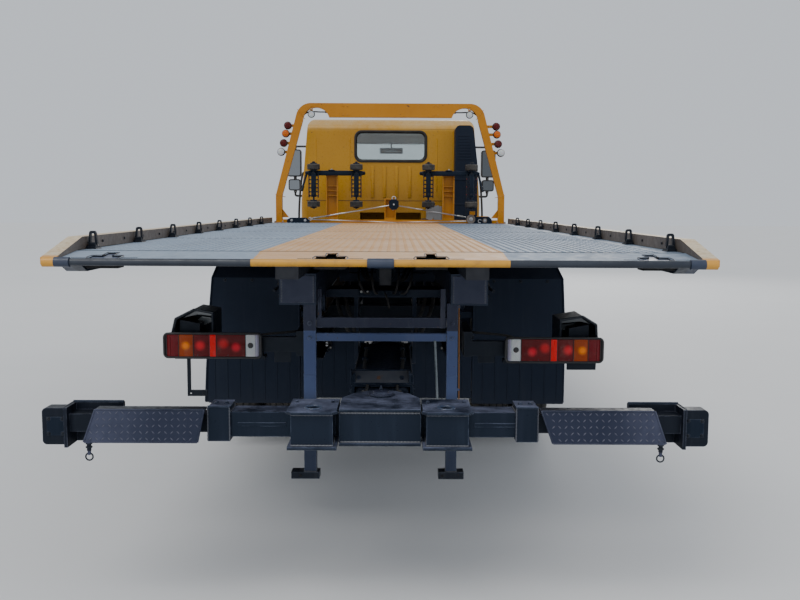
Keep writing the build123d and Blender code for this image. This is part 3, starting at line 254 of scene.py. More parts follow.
# ------------------------------------------------------------------ materials
class Mat:
    """Node material with short calls. Lengths in metres, coordinates are the piece's own."""

    def __init__(self, name):
        self.mat = bpy.data.materials.new(name)
        self.mat.use_nodes = True
        self.nt = self.mat.node_tree
        self.b = self.nt.nodes["Principled BSDF"]
        self.co = self.nt.nodes.new("ShaderNodeTexCoord").outputs["Object"]
        self.geo = self.nt.nodes.new("ShaderNodeNewGeometry")
        self._sep = self._nrm = None

    def node(self, kind, **props):
        n = self.nt.nodes.new(kind)
        for k, v in props.items():
            setattr(n, k, v)
        return n

    def put(self, socket, value):
        if isinstance(value, bpy.types.NodeSocket):
            self.nt.links.new(value, socket)
        elif isinstance(value, (tuple, list)) and len(value) == 3 and socket.type == "RGBA":
            socket.default_value = (*value, 1.0)
        else:
            socket.default_value = value

    def xyz(self):
        if self._sep is None:
            n = self.node("ShaderNodeSeparateXYZ")
            self.put(n.inputs[0], self.co)
            self._sep = n.outputs
        return self._sep

    def normal(self):
        if self._nrm is None:
            n = self.node("ShaderNodeSeparateXYZ")
            self.put(n.inputs[0], self.geo.outputs["Normal"])
            self._nrm = n.outputs
        return self._nrm

    def scaled(self, s):
        n = self.node("ShaderNodeMapping")
        self.put(n.inputs["Vector"], self.co)
        n.inputs["Scale"].default_value = s
        return n.outputs[0]

    def noise(self, scale, detail=4.0, rough=0.6, vec=None, dist=0.0):
        n = self.node("ShaderNodeTexNoise")
        self.put(n.inputs["Vector"], self.co if vec is None else vec)
        n.inputs["Scale"].default_value = scale
        n.inputs["Detail"].default_value = detail
        n.inputs["Roughness"].default_value = rough
        n.inputs["Distortion"].default_value = dist
        return n.outputs["Fac"]

    def cells(self, scale, vec=None, feature="F1"):
        n = self.node("ShaderNodeTexVoronoi", feature=feature)
        self.put(n.inputs["Vector"], self.co if vec is None else vec)
        n.inputs["Scale"].default_value = scale
        return n.outputs["Distance"]

    def math(self, op, a, b=0.0, clamp=False):
        n = self.node("ShaderNodeMath", operation=op, use_clamp=clamp)
        self.put(n.inputs[0], a)
        self.put(n.inputs[1], b)
        return n.outputs[0]

    def span(self, v, a, b, lo=0.0, hi=1.0):
        n = self.node("ShaderNodeMapRange", interpolation_type="SMOOTHSTEP")
        for i, x in enumerate((v, a, b, lo, hi)):
            self.put(n.inputs[i], x)
        return n.outputs[0]

    def mix(self, fac, a, b):
        n = self.node("ShaderNodeMix", data_type="RGBA")
        self.put(n.inputs[0], fac)
        self.put(n.inputs[6], a)
        self.put(n.inputs[7], b)
        return n.outputs[2]

    def bump(self, height, strength=0.3, distance=0.002, under=None):
        n = self.node("ShaderNodeBump")
        n.inputs["Strength"].default_value = strength
        n.inputs["Distance"].default_value = distance
        self.put(n.inputs["Height"], height)
        if under is not None:
            self.put(n.inputs["Normal"], under)
        return n.outputs[0]

    def edge(self, radius=0.006, lo=0.02, hi=0.22):
        """Mask of worn edges: where the rounded normal leaves the face normal."""
        n = self.node("ShaderNodeBevel", samples=4)
        n.inputs["Radius"].default_value = radius
        d = self.node("ShaderNodeVectorMath", operation="DOT_PRODUCT")
        self.put(d.inputs[0], n.outputs[0])
        self.put(d.inputs[1], self.geo.outputs["True Normal"])
        gap = self.math("SUBTRACT", 1.0, d.outputs["Value"], clamp=True)
        return self.span(gap, lo, hi)

    def up(self, a=0.35, b=0.95):
        return self.span(self.normal()[2], a, b)

    def side(self):
        """Mask of upright faces."""
        return self.math("SUBTRACT", 1.0, self.math("ABSOLUTE", self.normal()[2]), clamp=True)

    def streaks(self, scale=26.0, lo=0.5, hi=0.78):
        return self.math("MULTIPLY", self.span(self.noise(scale, 3.0, 0.55, self.scaled((1, 1, 0.09))), lo, hi), self.side())

    def done(self, color, rough, metallic=0.0, normal=None, coat=0.0, **more):
        self.put(self.b.inputs["Base Color"], color)
        self.put(self.b.inputs["Roughness"], rough)
        self.b.inputs["Metallic"].default_value = metallic
        if coat:
            self.b.inputs["Coat Weight"].default_value = coat
            self.b.inputs["Coat Roughness"].default_value = 0.12
        if normal is not None:
            self.put(self.b.inputs["Normal"], normal)
        for k, v in more.items():
            self.b.inputs[k.replace("_", " ")].default_value = v
        return self.mat


DUST = (0.21, 0.19, 0.165)


def paint(name, base, alt, rough=0.42, dust=0.5, dust_and_sky_sheen_col=DUST, worn=None, streak=0.35, coat=0.0, grain=0.25,
          chips=None, chip_col=(0.09, 0.045, 0.025), low=None, metallic=0.0, spec=0.5, zones=(), sheen=(1.0, 1.0, 1.0),
          shade=None):
    """Weathered paint: mottled colour, dust on what faces up (the bluish dust colour of the navy paints is also painted
    sky light on their tops), run marks, worn edges, chips, grime near the ground.
    """
    m = Mat(name)
    blot = m.span(m.noise(1.7, 5.0, 0.62), 0.35, 0.68)
    fine = m.noise(46.0, 5.0, 0.65)
    col = m.mix(blot, base, alt)
    for z0, z1, tone in zones:
        col = m.mix(m.span(m.xyz()[2], z0, z1), col, tone)
    if shade:
        col = shade(m, col)
    if streak:
        col = m.mix(m.math("MULTIPLY", m.streaks(), streak), col, dust_and_sky_sheen_col)
    # dust on what faces up; in a bluish colour it is also painted sky light on the tops
    dusty = m.math("MULTIPLY", m.math("MULTIPLY", m.up(), m.span(m.noise(7.0, 5.0, 0.7), 0.3, 0.72)), dust)
    col = m.mix(dusty, col, dust_and_sky_sheen_col)
    rgh = m.span(fine, 0.25, 0.75, rough - 0.09, rough + 0.12)
    if low:
        # grime that fades out above a height
        z, amount = low
        grime = m.math("MULTIPLY", m.span(m.xyz()[2], z, z - 0.5), m.span(m.noise(5.0, 6.0, 0.7), 0.32, 0.66, 0.25, 1.0))
        col = m.mix(m.math("MULTIPLY", grime, amount), col, (0.13, 0.115, 0.095))
        rgh = m.math("ADD", rgh, m.math("MULTIPLY", grime, 0.3 * amount), clamp=True)
    if worn:
        e = m.math("MULTIPLY", m.edge(), m.span(m.noise(19.0, 4.0, 0.7), 0.36, 0.62))
        col = m.mix(m.math("MULTIPLY", e, 0.75), col, worn)
    if chips:
        spots = m.span(m.noise(chips, 3.0, 0.5, dist=0.6), 0.70, 0.735)
        col = m.mix(spots, col, chip_col)
        rgh = m.math("ADD", rgh, m.math("MULTIPLY", spots, 0.25), clamp=True)
    rgh = m.math("ADD", rgh, m.math("MULTIPLY", dusty, 0.3), clamp=True)
    peel = m.bump(m.noise(260.0, 2.0, 0.5), grain, 0.0006)
    return m.done(col, rgh, metallic, m.bump(m.noise(9.0, 3.0, 0.5), 0.1, 0.004, peel), coat, Specular_IOR_Level=spec,
                  Specular_Tint=(*sheen, 1.0))


def rubber(name, base=(0.018, 0.018, 0.02), dust=0.6):
    m = Mat(name)
    worn = m.span(m.noise(9.0, 6.0, 0.7), 0.36, 0.7)
    col = m.mix(m.math("MULTIPLY", worn, dust), base, (0.095, 0.086, 0.075))
    dusty = m.math("MULTIPLY", m.up(), m.span(m.noise(30.0, 4.0, 0.7), 0.3, 0.7))
    col = m.mix(m.math("MULTIPLY", dusty, 0.5 * dust), col, (0.16, 0.145, 0.125))
    return m.done(col, m.span(m.noise(60.0, 4.0, 0.6), 0.3, 0.7, 0.62, 0.88), 0.0, m.bump(m.noise(420.0, 3.0, 0.6), 0.35, 0.0008))


def metal(name, base, alt, rough=0.35, brushed=None, dirt=0.4, metallic=1.0):
    m = Mat(name)
    vec = m.scaled(brushed) if brushed else m.co
    lines = m.noise(120.0, 3.0, 0.6, vec)
    blot = m.span(m.noise(6.0, 6.0, 0.7), 0.4, 0.72)
    col = m.mix(lines, base, alt)
    col = m.mix(m.math("MULTIPLY", blot, dirt), col, (0.12, 0.1, 0.085))
    rgh = m.math("ADD", m.span(lines, 0.2, 0.8, rough - 0.08, rough + 0.12), m.math("MULTIPLY", blot, 0.22 * dirt), clamp=True)
    return m.done(col, rgh, metallic, m.bump(lines, 0.12, 0.0005))


def lens(name, colour, deep, ribs=240.0, glow=0.0, spots=()):
    """Coloured moulded lens: ribbed, glossy, a little light passes in; spots are painted highlights in its colour."""
    m = Mat(name)
    x, y, z = m.xyz()[0], m.xyz()[1], m.xyz()[2]
    cell = m.math("MULTIPLY", m.math("SINE", m.math("MULTIPLY", x, ribs * 6.28)), m.math("SINE", m.math("MULTIPLY", z, ribs * 6.28)))
    col = m.mix(m.span(cell, -0.4, 0.9), deep, colour)
    # painted highlights: bright round spots mixed into the lens colour
    for sx, sz, reach, bright in spots:
        u = m.math("SUBTRACT", m.math("ABSOLUTE", x), sx)
        v = m.math("SUBTRACT", m.math("ADD", z, m.math("MULTIPLY", m.math("GREATER_THAN", x, 0.0), 0.016)), sz)
        r = m.math("SQRT", m.math("ADD", m.math("MULTIPLY", u, u), m.math("MULTIPLY", v, v)))
        col = m.mix(m.span(r, reach, 0.006), col, bright)
    grime = m.span(m.noise(14.0, 5.0, 0.7), 0.5, 0.8)
    col = m.mix(m.math("MULTIPLY", grime, 0.25), col, (0.2, 0.17, 0.14))
    ex = {"Subsurface Weight": 0.12, "Subsurface Scale": 0.006}
    if glow:
        ex["Emission Color"], ex["Emission Strength"] = (*colour, 1.0), glow
    return m.done(col, m.span(grime, 0.0, 1.0, 0.1, 0.35), 0.0, m.bump(cell, 0.35, 0.0012), 0.12, Specular_IOR_Level=0.2,
                  Specular_Tint=(1.0, 0.75, 0.7, 1.0), **ex)


# In the navy and slate paints below, the bluish dust colour on what faces up is partly painted sky light on the tops,
# most of all on the crossbar.
NAVY = paint("navy_paint", (0.0056, 0.0086, 0.0165), (0.0078, 0.0115, 0.021), 0.36, 0.5, (0.085, 0.10, 0.145),
             worn=(0.06, 0.072, 0.105), streak=0.04, low=(0.4, 0.1), spec=0.17, sheen=(0.6, 0.78, 1.0))
CROSS = paint("crossbar_paint", (0.0060, 0.0086, 0.0165), (0.0084, 0.0116, 0.0212), 0.34, 0.9, (0.125, 0.14, 0.21),
              worn=(0.10, 0.12, 0.175), streak=0.04, low=(0.4, 0.1), spec=0.2, sheen=(0.6, 0.78, 1.0))
END_PLATE = paint("end_plate_paint", (0.030, 0.033, 0.058), (0.040, 0.042, 0.070), 0.42, 0.2, (0.12, 0.13, 0.16),
                  worn=(0.12, 0.13, 0.16), streak=0.05, spec=0.3, sheen=(0.7, 0.82, 1.0))
SADDLE = paint("frame_paint", (0.0150, 0.0190, 0.0350), (0.0205, 0.0250, 0.0430), 0.38, 0.3, (0.085, 0.10, 0.145),
               worn=(0.06, 0.072, 0.105), streak=0.04, spec=0.25, sheen=(0.65, 0.8, 1.0))
SLATE = paint("slate_paint", (0.0165, 0.019, 0.037), (0.023, 0.026, 0.047), 0.36, 0.04, (0.13, 0.14, 0.18),
              worn=(0.12, 0.135, 0.18), streak=0.06, spec=0.22, sheen=(0.7, 0.82, 1.0))


def ramp_shade(m, col):
    """Wheel lift arm: the ramp is lighter towards its outer end; what lies behind it is painted nearly black, a painted
    shade.
    """
    x, y = m.xyz()[0], m.xyz()[1]
    outer_end_lighter = m.math("MULTIPLY", m.span(m.math("ABSOLUTE", x), 0.76, 1.0), m.span(m.noise(16.0, 4.0, 0.7), 0.25, 0.7, 0.45, 0.95))
    col = m.mix(outer_end_lighter, col, (0.052, 0.056, 0.090))
    # painted shade: behind the ramp plate the arm is darkened to nearly black
    return m.mix(m.span(y, -3.8365, -3.8335), col, m.mix(m.span(m.noise(5.0, 4.0, 0.6), 0.35, 0.68), (0.0046, 0.0060, 0.0104), (0.0066, 0.0084, 0.0138)))


ARM = paint("arm_paint", (0.0155, 0.018, 0.035), (0.0215, 0.0245, 0.044), 0.38, 0.04, (0.13, 0.14, 0.18),
            worn=(0.10, 0.11, 0.15), streak=0.04, spec=0.2, sheen=(0.7, 0.82, 1.0), shade=ramp_shade)
SLEEVE = paint("sleeve_paint", (0.024, 0.040, 0.082), (0.03, 0.048, 0.095), 0.3, 0.15, (0.2, 0.2, 0.21),
               worn=(0.12, 0.13, 0.16), streak=0.06)
BLACK = paint("black_paint", (0.0050, 0.0066, 0.0108), (0.0082, 0.0100, 0.0145), 0.4, 0.2, (0.085, 0.085, 0.085),
              worn=(0.045, 0.046, 0.05), streak=0.06, low=(0.6, 0.2), spec=0.25, sheen=(0.7, 0.82, 1.0))
GLOSS = paint("gloss_black_paint", (0.011, 0.0165, 0.026), (0.015, 0.021, 0.031), 0.16, 0.2, (0.13, 0.14, 0.15),
              worn=(0.05, 0.05, 0.05), streak=0.05, coat=0.5)
MUD = paint("mudguard_black", (0.0120, 0.0160, 0.0285), (0.0155, 0.0200, 0.0345), 0.42, 0.2, (0.09, 0.095, 0.105),
            streak=0.05, low=(0.45, 0.2), spec=0.16, sheen=(0.62, 0.78, 1.0), grain=0.5)
LEG = paint("leg_paint", (0.056, 0.082, 0.185), (0.070, 0.098, 0.21), 0.4, 0.25, (0.2, 0.2, 0.2), worn=(0.13, 0.15, 0.2),
            streak=0.12, chips=60.0, spec=0.3,
            sheen=(0.75, 0.85, 1.0), zones=((0.62, 0.50, (0.022, 0.030, 0.058)), (0.2345, 0.2325, (0.006, 0.008, 0.013)), (0.866, 0.869, (0.0215, 0.023, 0.046))))
GANTRY = paint("gantry_paint", (0.46, 0.187, 0.014), (0.41, 0.16, 0.012), 0.32, 0.12, (0.42, 0.26, 0.09),
               worn=(0.55, 0.31, 0.08), streak=0.06, coat=0.04, spec=0.2, sheen=(1.0, 0.85, 0.62), chips=34.0)
RIM = paint("rim_paint", (0.34, 0.345, 0.35), (0.25, 0.25, 0.255), 0.4, 0.4, streak=0.3, chips=40.0, low=(1.0, 0.5), metallic=0.3)
GREY = paint("tank_paint", (0.2, 0.205, 0.215), (0.27, 0.275, 0.285), 0.42, 0.4, worn=(0.36, 0.36, 0.36), streak=0.3)
PLASTIC = paint("black_plastic", (0.016, 0.016, 0.018), (0.024, 0.024, 0.027), 0.5, 0.5, (0.13, 0.12, 0.11), streak=0.15,
                grain=0.6, low=(0.7, 0.5))
SEALS = rubber("seal_rubber", (0.012, 0.012, 0.013), 0.25)
TYRE = rubber("tyre_rubber", (0.02, 0.02, 0.022), 0.75)
HOSE = rubber("hose_rubber", (0.014, 0.014, 0.016), 0.3)
STEEL = metal("bright_steel", (0.42, 0.42, 0.43), (0.56, 0.56, 0.57), 0.34, None, 0.35)
ZINC = metal("zinc_bolts", (0.3, 0.3, 0.29), (0.40, 0.39, 0.35), 0.36, None, 0.5)
RUSTY = metal("raw_steel", (0.2, 0.17, 0.15), (0.32, 0.28, 0.25), 0.55, None, 0.7, 0.7)
CHROME = metal("rod_chrome_finish", (0.72, 0.73, 0.75), (0.8, 0.8, 0.81), 0.12, (1, 60, 1), 0.08)
ALLOY = metal("tank_alloy_finish", (0.6, 0.61, 0.62), (0.74, 0.75, 0.76), 0.3, (14, 1, 1), 0.22)
CAST = paint("cast_iron", (0.05, 0.05, 0.052), (0.075, 0.072, 0.07), 0.65, 0.5, streak=0.3, grain=1.0, chips=24.0)
RED_LENS = lens("red_lens", (0.5, 0.018, 0.012), (0.2, 0.004, 0.004))
DARK_LENS = lens("dark_red_lens", (0.14, 0.008, 0.008), (0.05, 0.002, 0.003))
AMBER_LENS = lens("amber_lens", (0.75, 0.2, 0.012), (0.4, 0.07, 0.004))
CLEAR_LENS = lens("clear_lens", (0.72, 0.74, 0.75), (0.45, 0.47, 0.48))
# mirror glass with a dark base colour, a painted reflection of the dark surroundings it faces
DARKENED_MIRROR = metal("mirror_dark_reflection", (0.11, 0.12, 0.13), (0.14, 0.15, 0.16), 0.04, None, 0.02)
REFLECTOR = metal("lamp_silver", (0.8, 0.8, 0.8), (0.9, 0.9, 0.9), 0.12, None, 0.05)
WHITE = paint("white_plate", (0.62, 0.62, 0.6), (0.55, 0.55, 0.53), 0.45, 0.3, streak=0.3)


def cab_paint():
    m = Mat("cab_paint")
    x, y, z = m.xyz()[0], m.xyz()[1], m.xyz()[2]
    blot = m.span(m.noise(1.3, 5.0, 0.6), 0.35, 0.68)
    col = m.mix(blot, (0.47, 0.24, 0.014), (0.425, 0.208, 0.012))
    # sun-bleached band along the roof
    pale = m.math("MULTIPLY", m.span(z, 2.13, 2.2), m.span(m.noise(6.0, 5.0, 0.7, m.scaled((1, 1, 0.3))), 0.2, 0.62))
    col = m.mix(m.math("MULTIPLY", pale, 0.42), col, (0.5, 0.39, 0.23))
    # painted shade: darker brown low on the back wall
    back = m.span(y, 2.32, 2.24)
    film = m.math("MULTIPLY", m.math("MULTIPLY", back, m.span(z, 1.66, 1.46)), m.span(m.noise(3.4, 5.0, 0.6), 0.25, 0.7, 0.35, 1.0))
    col = m.mix(m.math("MULTIPLY", film, 0.5), col, (0.22, 0.09, 0.01))
    col = m.mix(m.math("MULTIPLY", m.streaks(20.0, 0.55, 0.8), 0.12), col, (0.3, 0.2, 0.09))
    road = m.math("MULTIPLY", m.span(z, 1.25, 0.68), m.span(m.noise(4.0, 6.0, 0.7), 0.3, 0.7, 0.3, 1.0))
    col = m.mix(m.math("MULTIPLY", road, 0.45), col, (0.16, 0.13, 0.1))
    dusty = m.math("MULTIPLY", m.up(0.5, 1.0), m.span(m.noise(8.0, 5.0, 0.7), 0.3, 0.7))
    col = m.mix(m.math("MULTIPLY", dusty, 0.35), col, (0.45, 0.37, 0.25))
    chip = m.span(m.noise(44.0, 2.0, 0.5, dist=0.5), 0.735, 0.76)
    col = m.mix(chip, col, (0.11, 0.06, 0.03))
    rgh = m.math("ADD", m.span(m.noise(40.0, 4.0, 0.6), 0.3, 0.7, 0.24, 0.38), m.math("MULTIPLY", road, 0.3), clamp=True)
    return m.done(col, rgh, 0.0, m.bump(m.noise(7.0, 2.0, 0.4), 0.08, 0.006, m.bump(m.noise(300.0, 2.0, 0.5), 0.12, 0.0005)), 0.08,
                  Specular_IOR_Level=0.25, Specular_Tint=(1.0, 0.88, 0.68, 1.0))


def deck_paint(name, smooth_tail=True):
    """Blue-grey plate with the worn yellow strip down its middle."""
    m = Mat(name)
    x, y, z = m.xyz()[0], m.xyz()[1], m.xyz()[2]
    ax = m.math("ABSOLUTE", x)
    wob = m.math("MULTIPLY", m.math("SUBTRACT", m.noise(40.0, 3.0, 0.6), 0.5), 0.008)
    strip = m.span(m.math("ADD", ax, wob), 0.4435, 0.4405)
    blue = m.mix(m.span(m.noise(2.1, 6.0, 0.65), 0.3, 0.7), (0.105, 0.155, 0.225), (0.16, 0.21, 0.275))
    # painted light: the left strip is painted paler than the right one, where more light falls on it
    blue = m.mix(m.math("MULTIPLY", m.span(x, 0.3, -0.3), 0.42), blue, (0.33, 0.40, 0.49))
    tan = m.mix(m.span(m.noise(2.6, 6.0, 0.65), 0.3, 0.7), (0.50, 0.285, 0.13), (0.56, 0.36, 0.2))
    # fresh yellow is left at the very edges of the strip and at the tail
    rim = m.math("MULTIPLY", m.span(ax, 0.425, 0.44), 0.55)
    tan = m.mix(rim, tan, (0.56, 0.27, 0.04))
    col = m.mix(strip, blue, tan)
    # tyre tracks where cars roll on
    track = m.math("MULTIPLY", m.span(m.math("ABSOLUTE", m.math("SUBTRACT", ax, 0.74)), 0.17, 0.05),
                   m.span(m.noise(5.0, 6.0, 0.7, m.scaled((1, 0.25, 1))), 0.4, 0.75))
    col = m.mix(m.math("MULTIPLY", track, 0.4), col, (0.075, 0.08, 0.09))
    scuff = m.span(m.noise(28.0, 5.0, 0.7, m.scaled((1, 0.12, 1)), 0.4), 0.62, 0.78)
    col = m.mix(m.math("MULTIPLY", scuff, 0.4), col, (0.36, 0.36, 0.35))
    rust = m.span(m.noise(15.0, 6.0, 0.75), 0.68, 0.8)
    col = m.mix(m.math("MULTIPLY", rust, 0.55), col, (0.16, 0.075, 0.035))
    # painted shade: faces that don't face up, and what lies below the deck top away from the tail, are darkened
    under = m.math("MAXIMUM", m.span(m.normal()[2], 0.6, 0.3), m.math("MULTIPLY", m.span(z, 1.2436, 1.2430), m.span(y, TAIL + 0.30, TAIL + 0.31)))
    col = m.mix(under, col, (0.012, 0.015, 0.026))
    rgh = m.span(m.noise(22.0, 5.0, 0.7), 0.3, 0.7, 0.4, 0.62)
    return m.done(col, rgh, 0.0, m.bump(m.noise(180.0, 3.0, 0.6), 0.22, 0.0008), 0.0)


def rail_paint():
    m = Mat("rail_paint")
    x, y, z = m.xyz()[0], m.xyz()[1], m.xyz()[2]
    # inward-facing side: x and the normal's x have opposite signs
    inner = m.span(m.math("MULTIPLY", m.normal()[0], m.math("SIGN", x)), -0.5, -0.9)
    yellow = m.mix(m.span(m.noise(2.0, 5.0, 0.6), 0.35, 0.7), (0.52, 0.22, 0.028), (0.45, 0.19, 0.03))
    brown = m.mix(m.span(m.noise(4.0, 6.0, 0.7), 0.3, 0.7), (0.075, 0.06, 0.052), (0.12, 0.098, 0.083))
    col = m.mix(inner, yellow, brown)
    # painted highlight: the rail top's upward faces are painted pale
    top = m.math("MULTIPLY", m.span(m.normal()[2], 0.25, 0.7), m.span(m.noise(16.0, 6.0, 0.7), 0.25, 0.5, 0.6, 1.0))
    col = m.mix(top, col, m.mix(m.span(m.noise(60.0, 4.0, 0.7), 0.4, 0.7), (0.56, 0.47, 0.33), (0.42, 0.31, 0.17)))
    # a strip of yellow stays at the tail end of each rail
    tip = m.math("MULTIPLY", m.span(y, TAIL + 0.05, TAIL + 0.03), 0.9)
    col = m.mix(tip, col, (0.54, 0.25, 0.035))
    chip = m.span(m.noise(38.0, 3.0, 0.6, dist=0.5), 0.69, 0.73)
    col = m.mix(chip, col, (0.07, 0.045, 0.03))
    # painted shade on the faces that face down
    under = m.span(m.normal()[2], -0.3, -0.8)
    col = m.mix(under, col, (0.02, 0.022, 0.03))
    return m.done(col, m.span(m.noise(40.0, 4.0, 0.6), 0.3, 0.7, 0.38, 0.6), 0.0, m.bump(m.noise(120.0, 3.0, 0.6), 0.25, 0.001))


def tail_paint():
    """Tail bar: dark blue, yellow where the strip ends, blue sleeves."""
    m = Mat("tail_paint")
    x = m.xyz()[0]
    ax = m.math("ABSOLUTE", x)
    navy = m.mix(m.span(m.noise(6.0, 5.0, 0.6), 0.35, 0.7), (0.008, 0.013, 0.024), (0.014, 0.021, 0.035))
    yel = m.mix(m.span(m.noise(30.0, 5.0, 0.7), 0.45, 0.72), (0.52, 0.255, 0.018), (0.38, 0.18, 0.02))
    strip = m.span(ax, 0.4430, 0.4410)
    col = m.mix(strip, navy, yel)
    sleeve = m.mix(m.span(m.noise(9.0, 5.0, 0.6), 0.35, 0.7), (0.018, 0.028, 0.056), (0.028, 0.040, 0.072))
    mid = m.span(ax, 0.0470, 0.0455)
    end = m.span(ax, 1.0570, 1.0585)
    col = m.mix(m.math("ADD", mid, end, clamp=True), col, sleeve)
    # the outermost ends take the rail's yellow
    col = m.mix(m.span(ax, 1.1085, 1.1100), col, (0.54, 0.26, 0.03))
    # pale grey on what faces up: wear and dust, and partly a painted highlight along the top
    worn = m.math("MULTIPLY", m.up(0.2, 0.9), m.span(m.noise(14.0, 5.0, 0.7), 0.45, 0.7))
    col = m.mix(m.math("MULTIPLY", worn, 0.2), col, (0.2, 0.21, 0.22))
    return m.done(col, m.span(m.noise(40.0, 4.0, 0.6), 0.3, 0.7, 0.3, 0.5), 0.0, m.bump(m.noise(120.0, 3.0, 0.6), 0.2, 0.001))


def glass(name, tint=(0.74, 0.8, 0.8), rough=0.03):
    m = Mat(name)
    film = m.span(m.noise(5.0, 5.0, 0.65), 0.3, 0.75, rough, rough + 0.08)
    return m.done(m.mix(m.span(m.noise(3.0, 4.0, 0.6), 0.35, 0.7), tint, (tint[0] * 0.93, tint[1] * 0.94, tint[2] * 0.94)), film, 0.0, None,
                  0.0, Transmission_Weight=1.0, IOR=1.45)


def woven(name, a, b, scale=900.0):
    m = Mat(name)
    x, y, z = m.xyz()[0], m.xyz()[1], m.xyz()[2]
    s = m.math("MULTIPLY", m.math("SINE", m.math("MULTIPLY", x, scale)),
               m.math("SINE", m.math("MULTIPLY", m.math("ADD", y, z), scale)))
    fuzz = m.noise(60.0, 5.0, 0.7)
    col = m.mix(m.span(s, -0.5, 0.6), a, b)
    col = m.mix(m.math("MULTIPLY", m.span(m.noise(5.0, 4.0, 0.6), 0.45, 0.7), 0.35), col, (0.09, 0.085, 0.08))
    return m.done(col, m.span(fuzz, 0.2, 0.8, 0.75, 0.95), 0.0, m.bump(m.math("ADD", s, fuzz), 0.4, 0.0008), 0.0, Sheen_Weight=0.25)


CAB = cab_paint()
DECK = deck_paint("deck_paint")
RAIL = rail_paint()
TAILP = tail_paint()
GLASS = glass("window_glass")
FABRIC = woven("seat_weave", (0.025, 0.026, 0.03), (0.05, 0.052, 0.06))
FABRIC2 = woven("seat_insert", (0.05, 0.055, 0.065), (0.1, 0.105, 0.12), 600.0)

NODE_MATS = {
    "chassis_frame": BLACK, "front_bumper": CAB, "headlamps": REFLECTOR, "front_axle": BLACK, "rear_axle": BLACK,
    "leaf_springs": BLACK, "engine_block": CAST, "propshaft": BLACK, "fuel_tank": ALLOY, "battery_box": BLACK,
    "hydraulic_tank": GREY, "air_intake": MUD, "rear_mudguards": MUD, "tail_lamps": RED_LENS,
    "lamp_brackets": BLACK, "side_guards": GREY, "exhaust": RUSTY, "front_knuckle_left": BLACK,
    "front_knuckle_right": BLACK, "front_tyre_left": TYRE, "front_tyre_right": TYRE, "rear_tyres_left": TYRE,
    "rear_tyres_right": TYRE, "front_wheel_left": RIM, "front_wheel_right": RIM, "rear_wheels_left": RIM,
    "rear_wheels_right": RIM, "cab_shell": CAB, "cab_glass": GLASS, "dashboard": PLASTIC, "steering_wheel": PLASTIC,
    "mirrors": PLASTIC, "door_left": CAB, "door_right": CAB, "door_glass_left": GLASS, "door_glass_right": GLASS,
    "tilt_frame": SADDLE, "support_legs": LEG, "slide_cylinder": NAVY, "lift_barrels": NAVY, "lift_rods": CHROME,
    "deck": DECK, "tail_bar": TAILP, "side_rails": RAIL, "tie_down_loops": BLACK, "headboard": GANTRY,
    "winch": NAVY, "slide_rod": CHROME, "underlift_boom": NAVY, "boom_extension": NAVY, "crossbar": CROSS,
    "wheel_lift_left": ARM, "wheel_lift_right": ARM, "seats": FABRIC, "gantry_lamps": RED_LENS,
    "wheel_dollies": NAVY, "winch_rope": STEEL, "snatch_blocks": NAVY,
}
for name, ob in NODES.items():
    mat = NODE_MATS[name]
    ob.data.materials.clear()
    ob.data.materials.append(mat)


# ------------------------------------------------------------------ deck
def lozenges(shape, u0, u1, v0, v1, pitch, put, length=0.026, width=0.0075, height=0.0018, skip=None):
    """Chequer pattern of alternating ridged lozenges over a rectangle; put(u, v, h) gives the point in space."""
    nu, nv = int((u1 - u0) / pitch), int((v1 - v0) / pitch)
    for i in range(nu):
        for j in range(nv):
            u, v = u0 + (i + 0.5) * pitch, v0 + (j + 0.5) * pitch
            if skip and skip(u, v):
                continue
            a = math.radians(45 if (i + j) % 2 else -45)
            c, s = math.cos(a), math.sin(a)
            p = [(length / 2, 0, -0.0006), (0, width / 2, -0.0006), (-length / 2, 0, -0.0006), (0, -width / 2, -0.0006),
                 (length * 0.28, 0, height), (-length * 0.28, 0, height)]
            shape.add([put(u + x * c - y * s, v + x * s + y * c, h) for x, y, h in p],
                      [(0, 1, 4), (1, 2, 5, 4), (2, 3, 5), (3, 0, 4, 5)])


tread = Shape()
lozenges(tread, -1.046, 1.046, TAIL + 0.232, HEAD - 0.06, 0.034, lambda u, v, h: (u, v, DECK_Z + h))
tread.piece("deck_chequer", "deck", "deck_blue", [DECK], 20)

SEAM = paint("seam_dirt", (0.012, 0.012, 0.014), (0.02, 0.02, 0.022), 0.8, 0.2, streak=0)
# near-black for holes and slots: painted shade inside them
POCKET_SHADE = paint("pocket_painted_shade", (0.003, 0.003, 0.004), (0.006, 0.006, 0.007), 0.8, 0.0, streak=0)
BEAD = paint("weld_bead", (0.045, 0.05, 0.066), (0.085, 0.09, 0.105), 0.45, 0.3, streak=0)
seams = Shape()
for y in (TAIL + 0.22, TAIL + 1.46, TAIL + 2.70, TAIL + 3.94, TAIL + 5.18):
    seams.box((-1.106, y - 0.003, DECK_Z - 0.001), (1.106, y + 0.003, DECK_Z + 0.0008), 0)
for s in (-1, 1):
    seams.box((s * 1.1085, TAIL + 0.24, DECK_Z - 0.004), (s * 1.1115, HEAD, DECK_Z + 0.0015), 0)
seams.piece("deck_seams", "deck", "deck_blue", [SEAM])


def tail_z(y):
    """Top of the sloping tail plate."""
    return DECK_Z - 0.021 * (TAIL + 0.22 - y) / 0.205


keys = Shape()
